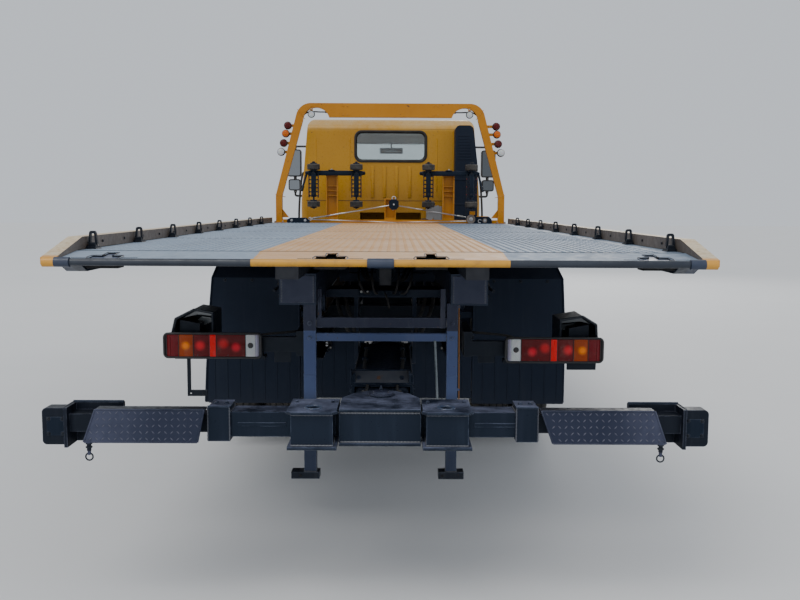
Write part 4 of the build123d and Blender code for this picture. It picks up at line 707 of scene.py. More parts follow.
# near-black walls lining the key slots: painted shade inside the slots
for x in (-0.96, -0.176, 0.176, 0.96):
    for x0, x1, y0, y1 in ((-0.055, -0.052, 0.032, 0.103), (0.052, 0.055, 0.032, 0.103), (-0.055, 0.055, 0.032, 0.035),
                           (-0.055, -0.016, 0.100, 0.103), (0.016, 0.055, 0.100, 0.103), (-0.019, -0.016, 0.100, 0.168),
                           (0.016, 0.019, 0.100, 0.168), (-0.019, 0.019, 0.165, 0.168)):
        keys.box((x + x0, TAIL + y0, 1.198), (x + x1, TAIL + y1, tail_z(TAIL + (y0 + y1) / 2) - 0.0005), 0, mat=1)
    # weld line and raised lip round the slot
    line = [(x + u, TAIL + v, tail_z(TAIL + v) + 0.0008) for u, v in
            ((-0.056, 0.034), (0, 0.028), (0.056, 0.034), (0.062, 0.066), (0.056, 0.102), (0.021, 0.108), (0.021, 0.17), (-0.021, 0.17),
             (-0.021, 0.108), (-0.056, 0.102), (-0.062, 0.066))]
    keys.tube(line, 0.0022, 6, 0, closed=True)
    for s in (-1, 1):
        keys.box((x + s * 0.066, TAIL + 0.058, tail_z(TAIL + 0.06) - 0.001), (x + s * 0.115, TAIL + 0.064, tail_z(TAIL + 0.06) + 0.0008), 0, mat=1)
for x in (-0.96, 0.96):
    for y0, y1, h in ((0.036, 0.099, 0.0515), (0.099, 0.1645, 0.0155)):
        keys.prism([(TAIL + y0, tail_z(TAIL + y0) - 0.012), (TAIL + y1, tail_z(TAIL + y1) - 0.012),
                    (TAIL + y1, tail_z(TAIL + y1) - 0.0035), (TAIL + y0, tail_z(TAIL + y0) - 0.0035)], x - h, x + h, "x", 2, 0.0005)
keys.piece("key_slot_trim", "deck", "deck_blue", [BEAD, POCKET_SHADE, SLEEVE])

# rail trim: countersunk bolts, amber reflectors and splice plates
trim = Shape()
for s in (-1, 1):
    for k in range(18):
        y = TAIL + 0.42 + k * 0.29
        if y < HEAD - 0.02:
            trim.bolt((s * 1.165, y, 1.232), (s, 0, 0), 0.008, 0.006, 0)
            trim.bolt((s * 1.112, y + 0.1, 1.274), (-s, 0, 0), 0.006, 0.004, 0, washer=False)
    for y in (TAIL + 1.2, TAIL + 2.9, TAIL + 4.6):
        trim.box((s * 1.1645, y - 0.055, 1.247), (s * 1.171, y + 0.055, 1.287), 0.003, 1, 1)
        trim.box((s * 1.164, y - 0.05, 1.251), (s * 1.1725, y + 0.05, 1.283), 0.004, 1, 2)
    for y in (TAIL + 1.85, TAIL + 3.7):
        trim.box((s * 1.164, y - 0.06, 1.206), (s * 1.1685, y + 0.06, 1.292), 0.002, 1, 3)
        for u in (-0.045, 0.045):
            for z in (1.216, 1.282):
                trim.bolt((s * 1.1685, y + u, z), (s, 0, 0), 0.006, 0.005, 0, washer=False)
trim.piece("rail_trim", "deck", "gantry_yellow", [BLACK, PLASTIC, AMBER_LENS, RAIL])

# tie-down rings: wedge under each link, bolt through it, weld toes
rings = Shape()
for s in (-1, 1):
    for k in range(8):
        y, x = TAIL + 0.35 + 0.621 * k, s * 1.092
        for e in (-1, 1):
            rings.prism([(x - 0.018, DECK_Z + 0.008), (x + 0.018, DECK_Z + 0.008), (x + 0.011, DECK_Z + 0.024), (x - 0.011, DECK_Z + 0.024)],
                        y + min(e * 0.0075, e * 0.021), y + max(e * 0.0075, e * 0.021), "y", 0, 0.002)
        rings.rod((x - 0.0185, y, DECK_Z + 0.014), (x + 0.0185, y, DECK_Z + 0.014), 0.0055, 10, 1, chamfer=0.001)
        rings.tube([(x - 0.018, y - 0.031, DECK_Z + 0.001), (x + 0.018, y - 0.031, DECK_Z + 0.001), (x + 0.018, y + 0.031, DECK_Z + 0.001),
                    (x - 0.018, y + 0.031, DECK_Z + 0.001)], 0.0035, 6, 0, closed=True)
rings.piece("ring_bases", "deck", "frame_black", [BLACK, RUSTY, STEEL])

# underside: stiffener gussets, hose clips and a hose pair to the slide cylinder bracket
under = Shape()
for k in range(12):
    y = TAIL + 0.24 + k * (1.70 - TAIL - 0.29) / 11 + 0.025
    z = 1.176 if k else 1.208
    for s in (-1, 1):
        under.prism([(s * 0.418, 1.243), (s * 0.418, 1.19), (s * 0.50, 1.243)], y - 0.004, y + 0.004, "y", 0)
        under.bolt((s * 0.7, y, z), (0, 0, -1), 0.008, 0.006, 1)
        under.bolt((s * 0.95, y, z), (0, 0, -1), 0.008, 0.006, 1)
for s in (-1, 1):
    for u in (0, 0.02):
        under.tube(smooth_path([(s * (0.06 + u), -2.27, 1.03), (s * (0.09 + u), -2.22, 1.05), (s * (0.12 + u), -1.9, 1.11), (s * (0.12 + u), -1.2, 1.14),
                                (s * (0.13 + u), 0.6, 1.14), (s * (0.13 + u), 1.55, 1.16)], 5), 0.0075, 8, 2)
    for y in (-1.9, -1.1, -0.3, 0.5, 1.3):
        under.box((s * 0.108, y - 0.012, 1.1), (s * 0.165, y + 0.012, 1.156), 0.004, 1, 0)
under.piece("deck_underside", "deck", "frame_navy", [NAVY, ZINC, HOSE])


# ------------------------------------------------------------------ gantry
def marker_lamp(shape, x, z, colour):
    y0 = HEAD - 0.04
    shape.lathe([(0.0, 0.03), (0.0, 0.0365), (0.012, 0.0375), (0.034, 0.0345), (0.04, 0.03), (0.04, 0.006)], (x, y0 + 0.044, z), (0, -1, 0), 28, 0)
    shape.lathe([(0.0, 0.0305), (0.006, 0.0305), (0.010, 0.026), (0.0125, 0.017), (0.0135, 0.006), (0.0135, 0.0)], (x, y0 + 0.006, z), (0, -1, 0), 28, colour)
    for k in range(3):
        a = 2 * math.pi * k / 3 + 0.5
        shape.bolt((x + 0.0335 * math.cos(a), y0 + 0.0045, z + 0.0335 * math.sin(a)), (0, -1, 0), 0.0025, 0.003, 5, washer=False)
    s = 1 if x > 0 else -1
    edge = 1.07 - (z - 0.014 - 1.505) * (1.07 - 0.846) / (2.356 - 1.505)
    shape.box((x, HEAD - 0.003, z - 0.013), (s * (edge - 0.012), HEAD + 0.005, z + 0.013), 0.002, 1, 4)
    shape.tube([(x, HEAD + 0.004, z), (x - s * 0.02, HEAD + 0.022, z - 0.004), (s * (edge - 0.02), HEAD + 0.02, z - 0.012)], 0.004, 8, 6)


lamps = Shape()
MARKERS_L = ((-0.954, 2.150), (-0.974, 2.076), (-0.994, 1.989), (-1.018, 1.907))
MARKERS_R = ((0.984, 2.150), (0.992, 2.076), (1.005, 1.989), (1.031, 1.907))
for row in (MARKERS_L, MARKERS_R):
    for (x, z), colour in zip(row, (1, 2, 1, 3)):
        marker_lamp(lamps, x, z, colour)
for s in (-1, 1):
    o = (s * 0.73, HEAD - 0.03, 2.25)
    lamps.lathe([(0.0, 0.016), (0.002, 0.024), (0.012, 0.027), (0.013, 0.031), (0.017, 0.031), (0.018, 0.028), (0.021, 0.028), (0.022, 0.0325),
                 (0.026, 0.0325), (0.027, 0.029), (0.030, 0.029), (0.031, 0.0335), (0.052, 0.0335), (0.054, 0.0315), (0.054, 0.0285),
                 (0.046, 0.0275)], o, (0, -1, 0), 32, 0)
    lamps.lathe([(0.036, 0.0), (0.037, 0.012), (0.041, 0.021), (0.049, 0.0285)], o, (0, -1, 0), 32, 7)
    lamps.lathe([(0.046, 0.0), (0.046, 0.0285), (0.0495, 0.0285), (0.051, 0.02), (0.052, 0.0)], o, (0, -1, 0), 32, 3)
    # bracket to the top beam
    lamps.box((s * 0.73 - 0.012, HEAD - 0.052, 2.279), (s * 0.73 + 0.012, HEAD - 0.046, 2.318), 0.001, 1, 4)
    lamps.box((s * 0.73 - 0.012, HEAD - 0.052, 2.313), (s * 0.73 + 0.012, HEAD - 0.026, 2.318), 0.001, 1, 4)
    lamps.bolt((s * 0.73, HEAD - 0.052, 2.30), (0, -1, 0), 0.005, 0.005, 5)
lamps.piece("gantry_lamps_detail", "deck", "lamp_red", [PLASTIC, DARK_LENS, AMBER_LENS, CLEAR_LENS, GANTRY, ZINC, HOSE, REFLECTOR], 30)
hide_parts("gantry_lamps")

gan = Shape()
for s in (-1, 1):
    # flange plates, foot gussets, inner weld lines and post bolts
    gan.box((s * 0.995, HEAD - 0.05, DECK_Z + 0.001), (s * 1.085, HEAD + 0.055, DECK_Z + 0.009), 0.002, 1, 0)
    for x in (1.005, 1.075):
        for y in (HEAD - 0.04, HEAD + 0.045):
            gan.bolt((s * x, y, DECK_Z + 0.009), (0, 0, 1), 0.008, 0.007, 1)
    gan.prism([(s * 1.012, 1.30), (s * 0.95, 1.30), (s * 1.012, 1.38)], HEAD - 0.004, HEAD + 0.004, "y", 0, 0.001)
    for z in (1.33, 1.4, 1.47, 1.54, 1.61, 1.68):
        for u in (-0.049, 0.049):
            gan.bolt((s * 0.545 + u, HEAD - 0.03, z), (0, -1, 0), 0.0035, 0.003, 0, washer=False)
    # rungs clasping the dolly tubes
    for z in (1.6905, 1.7135):
        gan.box((s * 0.545 - 0.07, HEAD - 0.034, z), (s * 0.545 + 0.07, HEAD - 0.029, z + 0.014), 0.001, 1, 0)
    gan.box((s * 0.545 - 0.03, HEAD - 0.088, 1.7355), (s * 0.545 + 0.03, HEAD - 0.028, 1.742), 0.002, 1, 2)
    gan.bolt((s * 0.545, HEAD - 0.06, 1.742), (0, 0, 1), 0.01, 0.009, 1)
    for z in (1.502, 1.547, 1.592):
        gan.box((s * 0.545 - 0.045, HEAD - 0.029, z), (s * 0.545 + 0.045, HEAD + 0.012, z + 0.005), 0.001, 1, 0)
for x in (-0.045, 0.045):
    for z in (1.31, 1.36, 1.41, 1.455):
        gan.bolt((x * 1.08, HEAD - 0.03, z), (0, -1, 0), 0.0035, 0.003, 0, washer=False)
# bolted joints in the top beam and wiring clips along the back
for x in (-0.42, 0.42):
    for z in (2.25, 2.33):
        for u in (-0.02, 0.02):
            gan.bolt((x + u, HEAD - 0.03, z), (0, -1, 0), 0.006, 0.005, 0)
gan.tube(smooth_path([(-0.99, HEAD + 0.034, 1.6), (-0.88, HEAD + 0.036, 2.05), (-0.80, HEAD + 0.036, 2.26), (-0.6, HEAD + 0.036, 2.28), (0, HEAD + 0.036, 2.28),
                      (0.6, HEAD + 0.036, 2.28), (0.80, HEAD + 0.036, 2.26), (0.88, HEAD + 0.036, 2.05), (0.99, HEAD + 0.034, 1.6)], 6), 0.006, 8, 3)
for x in (-0.6, -0.3, 0, 0.3, 0.6):
    gan.box((x - 0.01, HEAD + 0.028, 2.27), (x + 0.01, HEAD + 0.045, 2.29), 0.002, 1, 2)
# weld seams where the tubes meet
for s in (-1, 1):
    for y in (HEAD - 0.031, HEAD + 0.031):
        gan.tube([(s * 0.985, y, 1.49), (s * 1.095 - s * 0.022, y, 1.515)], 0.0025, 6, 0)
        gan.tube([(s * 0.80, y, 2.215), (s * 0.865, y, 2.30)], 0.0025, 6, 0)
gan.piece("gantry_fittings", "deck", "gantry_yellow", [GANTRY, ZINC, NAVY, HOSE])

# ------------------------------------------------------------------ wheel dollies
RED_BOLT = paint("red_bolt_paint", (0.25, 0.012, 0.01), (0.2, 0.01, 0.01), 0.45, 0.3, streak=0)
dol = Shape()
for s, a, b, c, d in ((-1, 0.234, 0.790, 0.314, 0.710), (1, 0.274, 0.830, 0.354, 0.754)):
    x0, x1 = sorted((s * a, s * b))
    dol.box((x0 + 0.03, HEAD - 0.076, 1.69), (x1 - 0.03, HEAD - 0.03, 1.735), 0.006, 2, 0)
    for x, e in ((x0, 1), (x1, -1)):
        dol.rod((x, HEAD - 0.053, 1.7125), (x + e * 0.06, HEAD - 0.053, 1.7125), 0.0165, 20, 0, chamfer=0.003)
        dol.lathe([(0, 0.021), (0.012, 0.021), (0.013, 0.0165)], (x + e * 0.024, HEAD - 0.053, 1.7125), (e, 0, 0), 20, 0)
        dol.rod((x - e * 0.0, HEAD - 0.053 - 0.024, 1.7125), (x, HEAD - 0.053 + 0.024, 1.7125), 0.004, 8, 2)
    for u in (c, d):
        x = s * u
        # upright and its wheel forks
        dol.box((x - 0.022, HEAD - 0.112, 1.49), (x + 0.022, HEAD - 0.076, 1.71), 0.005, 2, 0)
        for z, up in ((1.426, 1), (1.767, -1)):
            z0 = z + up * 0.027
            dol.box((x - 0.03, HEAD - 0.118, min(z0, z0 + up * 0.012)), (x + 0.03, HEAD - 0.07, max(z0, z0 + up * 0.012)), 0.003, 1, 0)
            dol.box((x - 0.03, HEAD - 0.118, z - up * 0.033 - 0.004), (x + 0.03, HEAD - 0.07, z - up * 0.033 + 0.004), 0.002, 1, 0)
            dol.box((x - 0.02, HEAD - 0.082, min(z - up * 0.033, z0)), (x + 0.02, HEAD - 0.072, max(z - up * 0.033, z0)), 0.002, 1, 0)
            # small tyre with ribs, disc and nuts, axis upright
            o = (x, HEAD - 0.094, z)
            prof = [(-0.0245, 0.032), (-0.0255, 0.038), (-0.0265, 0.05), (-0.024, 0.0565), (-0.019, 0.0600)]
            for t in (-0.015, -0.005, 0.005, 0.015):
                prof += [(t - 0.0033, 0.0605), (t - 0.0027, 0.0572), (t + 0.0027, 0.0572), (t + 0.0033, 0.0605)]
            prof += [(0.019, 0.0600), (0.024, 0.0565), (0.0265, 0.05), (0.0255, 0.038), (0.0245, 0.032)]
            dol.lathe(prof, o, (0, 0, 1), 36, 1)
            dol.lathe([(-0.022, 0.0), (-0.0225, 0.013), (-0.018, 0.022), (-0.0225, 0.031), (0.0225, 0.031), (0.018, 0.022), (0.0225, 0.013), (0.022, 0.0)],
                      o, (0, 0, 1), 28, 4)
            for k in range(5):
                t = 2 * math.pi * k / 5
                for e in (-1, 1):
                    dol.bolt((x + 0.018 * math.cos(t), HEAD - 0.094 + 0.018 * math.sin(t), z + e * 0.020), (0, 0, e), 0.0026, 0.0028, 2, washer=False)
        dol.rod((x, HEAD - 0.094, 1.385), (x, HEAD - 0.094, 1.815), 0.0085, 14, 2, chamfer=0.002)
        dol.bolt((x, HEAD - 0.094, 1.808), (0, 0, 1), 0.012, 0.009, 2)
        dol.bolt((x, HEAD - 0.094, 1.392), (0, 0, -1), 0.012, 0.009, 2)
        # ladder-like side frame with rungs and small red bolts
        for e in (-1, 1):
            dol.box((x + e * 0.038, HEAD - 0.1015, 1.485), (x + e * 0.048, HEAD - 0.087, 1.705), 0.0015, 1, 3)
        for z in (1.495, 1.532, 1.569, 1.606, 1.643, 1.68):
            dol.box((x - 0.047, HEAD - 0.1, z), (x + 0.047, HEAD - 0.088, z + 0.0115), 0.0015, 1, 3)
        for e in (-1, 1):
            for z in (1.518, 1.59, 1.662):
                dol.bolt((x + e * 0.0445, HEAD - 0.1, z), (0, -1, 0), 0.0042, 0.004, 5, washer=False)
        dol.bolt((x, HEAD - 0.112, 1.712), (0, -1, 0), 0.009, 0.008, 2)
        dol.bolt((x, HEAD - 0.112, 1.52), (0, -1, 0), 0.007, 0.006, 2)
    dol.rod((s * (b - 0.01), HEAD - 0.06, 1.70), (s * (b + 0.024), HEAD - 0.12, 1.562), 0.010, 14, 0)
    dol.lathe([(0, 0.010), (0.004, 0.0135), (0.05, 0.0135), (0.054, 0.009)], (s * (b + 0.016), HEAD - 0.1065, 1.593), (s * 0.22, -0.4, -0.92), 16, 3)
dol.piece("wheel_dollies_detail", "deck", "frame_navy", [NAVY, TYRE, BLACK, BLACK, RIM, RED_BOLT], 30)
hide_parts("wheel_dollies")


# ------------------------------------------------------------------ winch rope and blocks
def strands(shape, a, b, r=0.0055, lay=0.075, n=6, mat=0):
    """Twisted strands round a straight line."""
    a, b = Vector(a), Vector(b)
    u, w = frame_of(b - a)
    steps = max(12, int((b - a).length / 0.0085))
    for k in range(n):
        pts = []
        for i in range(steps + 1):
            t = i / steps
            g = 2 * math.pi * (k / n + t * (b - a).length / lay)
            pts.append(a + (b - a) * t + (u * math.cos(g) + w * math.sin(g)) * r * 0.66)
        shape.tube(pts, r * 0.36, 5, mat)


YR = HEAD - 0.06
rope = Shape()
strands(rope, (-0.744, YR, 1.290), (0.024, YR, 1.420))
strands(rope, (0.024, YR, 1.420), (0.707, YR, 1.310))
strands(rope, (-0.74, YR - 0.02, 1.283), (0.03, YR - 0.03, 1.258), 0.0045, 0.06)
strands(rope, (0.03, YR - 0.03, 1.258), (0.71, YR - 0.02, 1.272), 0.0045, 0.06)
for x, z, dx, dz in ((-0.69, 1.2991, 0.986, 0.167), (0.655, 1.3184, 0.987, -0.159)):
    rope.rod((x - 0.03 * dx, YR, z - 0.03 * dz), (x + 0.03 * dx, YR, z + 0.03 * dz), 0.009, 14, 1, chamfer=0.002)
rope.lathe([(-0.012, 0.008), (-0.012, 0.014), (0.012, 0.014), (0.012, 0.008)], (0.024, YR, 1.42), (0, 1, 0), 20, 1, closed=True)
rope.piece("winch_rope_strands", "deck", "steel", [STEEL, ZINC], 50)
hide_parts("winch_rope")

blk = Shape()
# left block: long cheek plates over two sheaves, with its eye
for y in (HEAD - 0.083, HEAD - 0.043):
    blk.prism([(-0.960, 1.2515), (-0.754, 1.2515), (-0.751, 1.274), (-0.785, 1.2985), (-0.93, 1.2985), (-0.961, 1.28)], y, y + 0.006, "y", 0, 0.002)
for x, r in ((-0.792, 0.021), (-0.918, 0.0185)):
    blk.lathe([(-0.014, 0.008), (-0.014, r), (-0.006, r - 0.005), (0.006, r - 0.005), (0.014, r), (0.014, 0.008)], (x, YR, 1.2745), (0, 1, 0), 28, 2)
    blk.bolt((x, HEAD - 0.083, 1.2745), (0, -1, 0), 0.009, 0.008, 1)
blk.box((-0.955, HEAD - 0.078, 1.25), (-0.76, HEAD - 0.042, 1.2545), 0.001, 1, 0)
blk.tube(arc((-0.746, 1.287), 0.013, 0, 360, 20, "xz", YR)[:-1], 0.0038, 8, 1, closed=True)
# right roller with a light hub, its fork and the yellow bracket above it
blk.lathe([(-0.019, 0.016), (-0.019, 0.0405), (-0.013, 0.0405), (-0.008, 0.034), (0.008, 0.034), (0.013, 0.0405), (0.019, 0.0405), (0.019, 0.016)],
          (0.755, YR, 1.2912), (0, 1, 0), 36, 2)
blk.lathe([(-0.021, 0.0), (-0.021, 0.010), (-0.019, 0.0175), (0.019, 0.0175), (0.021, 0.010), (0.021, 0.0)], (0.755, YR, 1.2912), (0, 1, 0), 24, 1)
blk.bolt((0.755, YR - 0.021, 1.2912), (0, -1, 0), 0.008, 0.007, 1)
for y in (HEAD - 0.0655, HEAD - 0.04):
    blk.prism([(0.765, 1.2515), (0.952, 1.2515), (0.952, 1.285), (0.925, 1.3165), (0.80, 1.3165), (0.772, 1.30)], y, y + 0.006, "y", 0, 0.002)
blk.box((0.80, HEAD - 0.06, 1.25), (0.945, HEAD - 0.038, 1.300), 0.003, 1, 0)
blk.lathe([(-0.01, 0.0), (-0.01, 0.021), (-0.004, 0.0165), (0.004, 0.0165), (0.01, 0.021), (0.01, 0.0)], (0.885, HEAD - 0.062, 1.279), (0, 1, 0), 24, 2)
blk.bolt((0.885, HEAD - 0.0725, 1.279), (0, -1, 0), 0.008, 0.005, 1)
blk.box((0.805, HEAD - 0.068, 1.314), (0.915, HEAD - 0.036, 1.3195), 0.001, 1, 3)
blk.box((0.742, HEAD - 0.075, 1.3325), (0.793, HEAD - 0.045, 1.3655), 0.002, 1, 3)
blk.box((0.752, HEAD - 0.066, 1.318), (0.783, HEAD - 0.054, 1.336), 0.001, 1, 3)
# hook lying beside it
blk.tube(arc((0.838, 1.273), 0.015, 30, 300, 18, "xz", HEAD - 0.072), 0.0045, 8, 1)
# centre block: plates, sheave, hook and ring
for y in (HEAD - 0.0895, HEAD - 0.077):
    blk.prism([(-0.011, 1.40), (0.012, 1.376), (0.056, 1.376), (0.079, 1.40), (0.079, 1.452), (0.058, 1.473), (0.010, 1.473), (-0.011, 1.452)], y, y + 0.0045, "y", 0, 0.0015)
blk.lathe([(-0.005, 0.008), (-0.005, 0.034), (-0.002, 0.0285), (0.002, 0.0285), (0.005, 0.034), (0.005, 0.008)], (0.034, HEAD - 0.081, 1.424), (0, 1, 0), 32, 2)
blk.bolt((0.034, HEAD - 0.0895, 1.424), (0, -1, 0), 0.009, 0.004, 1, washer=False)
blk.tube(arc((0.034, 1.482), 0.0165, 0, 360, 24, "xz", HEAD - 0.081)[:-1], 0.0048, 8, 1, closed=True)
blk.tube(arc((0.026, 1.388), 0.013, 170, 380, 14, "xz", HEAD - 0.081), 0.004, 8, 1)
blk.piece("snatch_blocks_detail", "deck", "frame_navy", [NAVY, STEEL, RUSTY, GANTRY], 32)
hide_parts("snatch_blocks")

# winch: wound rope, end bearings with bolts, motor fins and hoses
win = Shape()
for k in range(26):
    x = -0.152 + k * 0.0122
    win.lathe([(-0.0055, 0.047), (-0.004, 0.0505), (0, 0.0525), (0.004, 0.0505), (0.0055, 0.047)], (x, HEAD + 0.13, 1.212), (1, 0, 0), 22, 0, closed=True)
for s, r in ((-1, 0.05), (1, 0.055)):
    for k in range(6):
        a = 2 * math.pi * k / 6
        x = s * (0.271 if s < 0 else 0.321)
        win.bolt((x, HEAD + 0.13 + (r - 0.012) * math.cos(a), 1.212 + (r - 0.012) * math.sin(a)), (s, 0, 0), 0.006, 0.006, 1)
    for k in range(5):
        x = s * (0.212 + k * 0.012)
        win.lathe([(-0.002, r), (-0.002, r + 0.006), (0.002, r + 0.006), (0.002, r)], (x, HEAD + 0.13, 1.212), (1, 0, 0), 28, 2, closed=True)
for x in (-0.3, -0.15, 0, 0.15, 0.3):
    win.bolt((x, HEAD + 0.03, 1.262), (0, -1, 0), 0.008, 0.006, 1)
for u in (0, 0.03):
    win.tube(smooth_path([(0.29, HEAD + 0.12 + u, 1.26), (0.31, HEAD + 0.125 + u, 1.285), (0.37, HEAD + 0.13 + u, 1.27), (0.41, HEAD + 0.13 + u, 1.2),
                          (0.42, HEAD + 0.1 + u, 1.14)], 6), 0.008, 8, 3)
win.piece("winch_detail", "deck", "frame_navy", [STEEL, ZINC, NAVY, HOSE])


# ------------------------------------------------------------------ cab
def side_x(z):
    """Outer half width of the cab at height z."""
    return 0.9 if z < 1.38 else 0.9 - (z - 1.38) * 0.082 / 0.898


def front_y(x, z):
    """Front face of the cab below and across the windscreen."""
    if z < 1.18:
        y = 3.9 - (z - 0.72) * 0.002 / 0.46
    elif z < 1.375:
        y = 3.898 - (z - 1.18) * 0.03 / 0.195
    else:
        y = 3.868 - (z - 1.375) * 0.213 / 0.815
    return y - max(0.0, abs(x) - 0.3) * 0.044 / 0.582 - max(0.0, abs(x) - 0.62) ** 2 * 0.35


YB = 2.22
LINING = paint("headliner", (0.78, 0.78, 0.78), (0.7, 0.7, 0.71), 0.75, 0.1, streak=0, grain=0.8)
cb = Shape()
# pressed ribs and creases in the back wall
for x in (-0.18, -0.06, 0.06, 0.19):
    cb.box((x - 0.016, YB - 0.0090, 1.49), (x + 0.016, YB + 0.006, 1.80), 0.0052, 3, 0)
for x in (-0.405, 0.46, -0.74):
    cb.box((x - 0.006, YB - 0.0035, 1.55), (x + 0.006, YB + 0.006, 2.08), 0.0033, 2, 0)
for x0, x1, z in ((-0.84, 0.84, 1.462), (-0.80, 0.80, 2.165)):
    cb.box((x0, YB - 0.0022 if z < 2 else YB + 0.002, z - 0.002), (x1, YB + 0.008, z + 0.002), 0, 1, 3)
# flanges and spot welds along the lower edge
cb.box((-0.85, YB - 0.006, 0.80), (0.85, YB + 0.004, 0.83), 0.003, 1, 0)
for k in range(17):
    x = -0.82 + k * 0.1025
    cb.lathe([(0, 0.006), (0.001, 0.005), (0.0014, 0)], (x, YB - 0.006, 0.815), (0, -1, 0), 10, 0)
# roof: ribs, drip rails, rear seam
for x in (-0.5, -0.25, 0.0, 0.25, 0.5):
    cb.box((x - 0.02, 2.42, 2.268), (x + 0.02, 3.42, 2.2765), 0.004, 2, 0)
for s in (-1, 1):
    cb.tube(smooth_path([(s * (side_x(2.145) + 0.001), 2.31, 2.145), (s * (side_x(2.15) + 0.002), 2.8, 2.15), (s * (side_x(2.15) + 0.0), 3.4, 2.15),
                         (s * 0.815, 3.52, 2.12)], 5), 0.0068, 8, 0)
# rear window: rubber surround in two steps and a bright bead
glass_line = [(x, YB - 0.001, z) for x, z in round_rect(0, 1.998, 0.70, 0.292, 0.062, 7)]
cb.tube(glass_line, 0.0125, 8, 1, closed=True)
cb.tube([(x * 0.975, YB + 0.008, 1.998 + (z - 1.998) * 0.93) for x, y, z in glass_line], 0.008, 6, 1, closed=True)
cb.tube([(x, YB - 0.0115, z) for x, y, z in glass_line], 0.0018, 6, 4, closed=True)
# inner mirror on its stem, seen through the back window
cb.box((-0.13, 3.46, 1.995), (0.13, 3.48, 2.06), 0.012, 3, 2)
cb.box((-0.122, 3.4585, 2.001), (0.122, 3.4605, 2.054), 0.008, 2, 5)
cb.rod((0, 3.475, 2.05), (0, 3.53, 2.12), 0.008, 10, 2)
# pale lining under the roof and over the windscreen
cb.box((-0.72, 2.32, 2.203), (0.72, 3.52, 2.214), 0.004, 1, 9)
cb.prism([(3.50, 2.212), (3.585, 2.20), (3.598, 2.125), (3.588, 2.125), (3.572, 2.19), (3.50, 2.203)], -0.69, 0.69, "x", 9, 0.001)
# windscreen rubber and wipers
ring = []
for x, z in [(-0.72, 1.44), (0.72, 1.44), (0.742, 1.47), (0.70, 2.10), (0.67, 2.128), (-0.67, 2.128), (-0.70, 2.10), (-0.742, 1.47)]:
    ring.append(Vector((x, front_y(x, z) + 0.002, z)))
dense = []
for i, p in enumerate(ring):
    q = ring[(i + 1) % len(ring)]
    n = 10 if (q - p).length > 0.2 else 2
    for k in range(n):
        v = p + (q - p) * (k / n)
        dense.append((v.x, front_y(v.x, v.z) + 0.001, v.z))
cb.tube(dense, 0.013, 8, 1, closed=True)
for x0, x1 in ((-0.52, -0.02), (0.12, 0.62)):
    a = Vector((x0, front_y(x0, 1.395) + 0.012, 1.395))
    b = Vector((x1 - 0.12, front_y(x1 - 0.12, 1.52) + 0.026, 1.515))
    cb.lathe([(0, 0.02), (0.012, 0.018), (0.018, 0.01), (0.018, 0)], a, (0, 0.98, 0.14), 16, 2)
    cb.tube([a + Vector((0, 0.014, 0)), (a + b) / 2 + Vector((0, 0.02, 0)), b], 0.006, 8, 2)
    c = Vector((x1, front_y(x1, 1.50) + 0.014, 1.505))
    d = Vector((x1 - 0.42, front_y(x1 - 0.42, 1.56) + 0.014, 1.565))
    cb.tube([c, (c + d) / 2 + Vector((0, 0.006, 0)), d], 0.0055, 6, 1)
    cb.tube([c + Vector((0, 0.01, 0.002)), (c + d) / 2 + Vector((0, 0.018, 0.002)), d + Vector((0, 0.01, 0.002))], 0.004, 6, 2)
# front panel: grille of slats in a dark recess, corner indicators, steps' trim
cb.prism([(-0.56, 1.145), (0.56, 1.145), (0.52, 0.985), (-0.52, 0.985)], 3.868, 3.896, "y", 2, 0.004)
for k in range(5):
    z = 1.0 + k * 0.031
    w = 0.51 + k * 0.008
    pts = [(x, front_y(x, z) + 0.004, z) for x in [w * (-1 + i / 6) for i in range(13)]]
    cb.tube(pts, 0.0075, 8, 0 if k in (0, 4) else 2)
cb.box((-0.045, 3.90, 1.035), (0.045, 3.913, 1.10), 0.006, 2, 4)
for s in (-1, 1):
    y = front_y(s * 0.77, 1.04)
    cb.box((s * 0.70, y - 0.02, 0.985), (s * 0.845, y + 0.012, 1.075), 0.014, 3, 7)
    cb.box((s * 0.70 - s * 0.006, y - 0.022, 0.979), (s * 0.851, y + 0.006, 1.081), 0.014, 3, 2)
    cb.box((s * 0.895, 3.60, 1.10), (s * 0.906, 3.69, 1.14), 0.005, 2, 7)
    # grab bars beside the doors
    for y0, z0, z1 in ((2.455, 1.15, 1.75),):
        x = side_x(1.4)
        cb.tube(smooth_path([(s * (x - 0.004), y0, z0), (s * (x + 0.038), y0, z0 + 0.035), (s * (side_x(1.45) + 0.04), y0, 1.45),
                             (s * (side_x(z1) + 0.038), y0, z1 - 0.035), (s * (side_x(z1) - 0.004), y0, z1)], 5), 0.011, 10, 2)
        for z in (z0, z1):
            cb.lathe([(0, 0.022), (0.006, 0.02), (0.008, 0.012)], (s * (side_x(z) - 0.002), y0, z), (s, 0, 0), 18, 2)
    # rubber seal that fills the door gap from inside
    cb.tube([(s * (side_x(z) - 0.018), y, z) for y, z in ((2.503, 1.0), (2.503, 1.38), (2.503, 1.7), (2.503, 2.035), (2.58, 2.108), (2.95, 2.108), (3.395, 2.108),
                                                         (3.45, 1.86), (3.51, 1.63), (3.568, 1.38), (3.568, 0.97), (2.7, 0.971))], 0.0085, 8, 1)
    # wheel-arch lip
    cb.tube([(s * 0.902, 2.92 + 0.535 * math.cos(math.radians(a)), 0.4 + 0.535 * math.sin(math.radians(a))) for a in range(40, 146, 7)], 0.009, 8, 2)
    # two-rung step under the door
    for z in (0.745, 0.86):
        cb.box((s * 0.80, 3.49, z), (s * 0.905, 3.72, z + 0.012), 0.004, 1, 8)
        for k in range(6):
            cb.box((s * 0.81, 3.51 + k * 0.035, z + 0.011), (s * 0.895, 3.52 + k * 0.035, z + 0.015), 0.001, 1, 8)
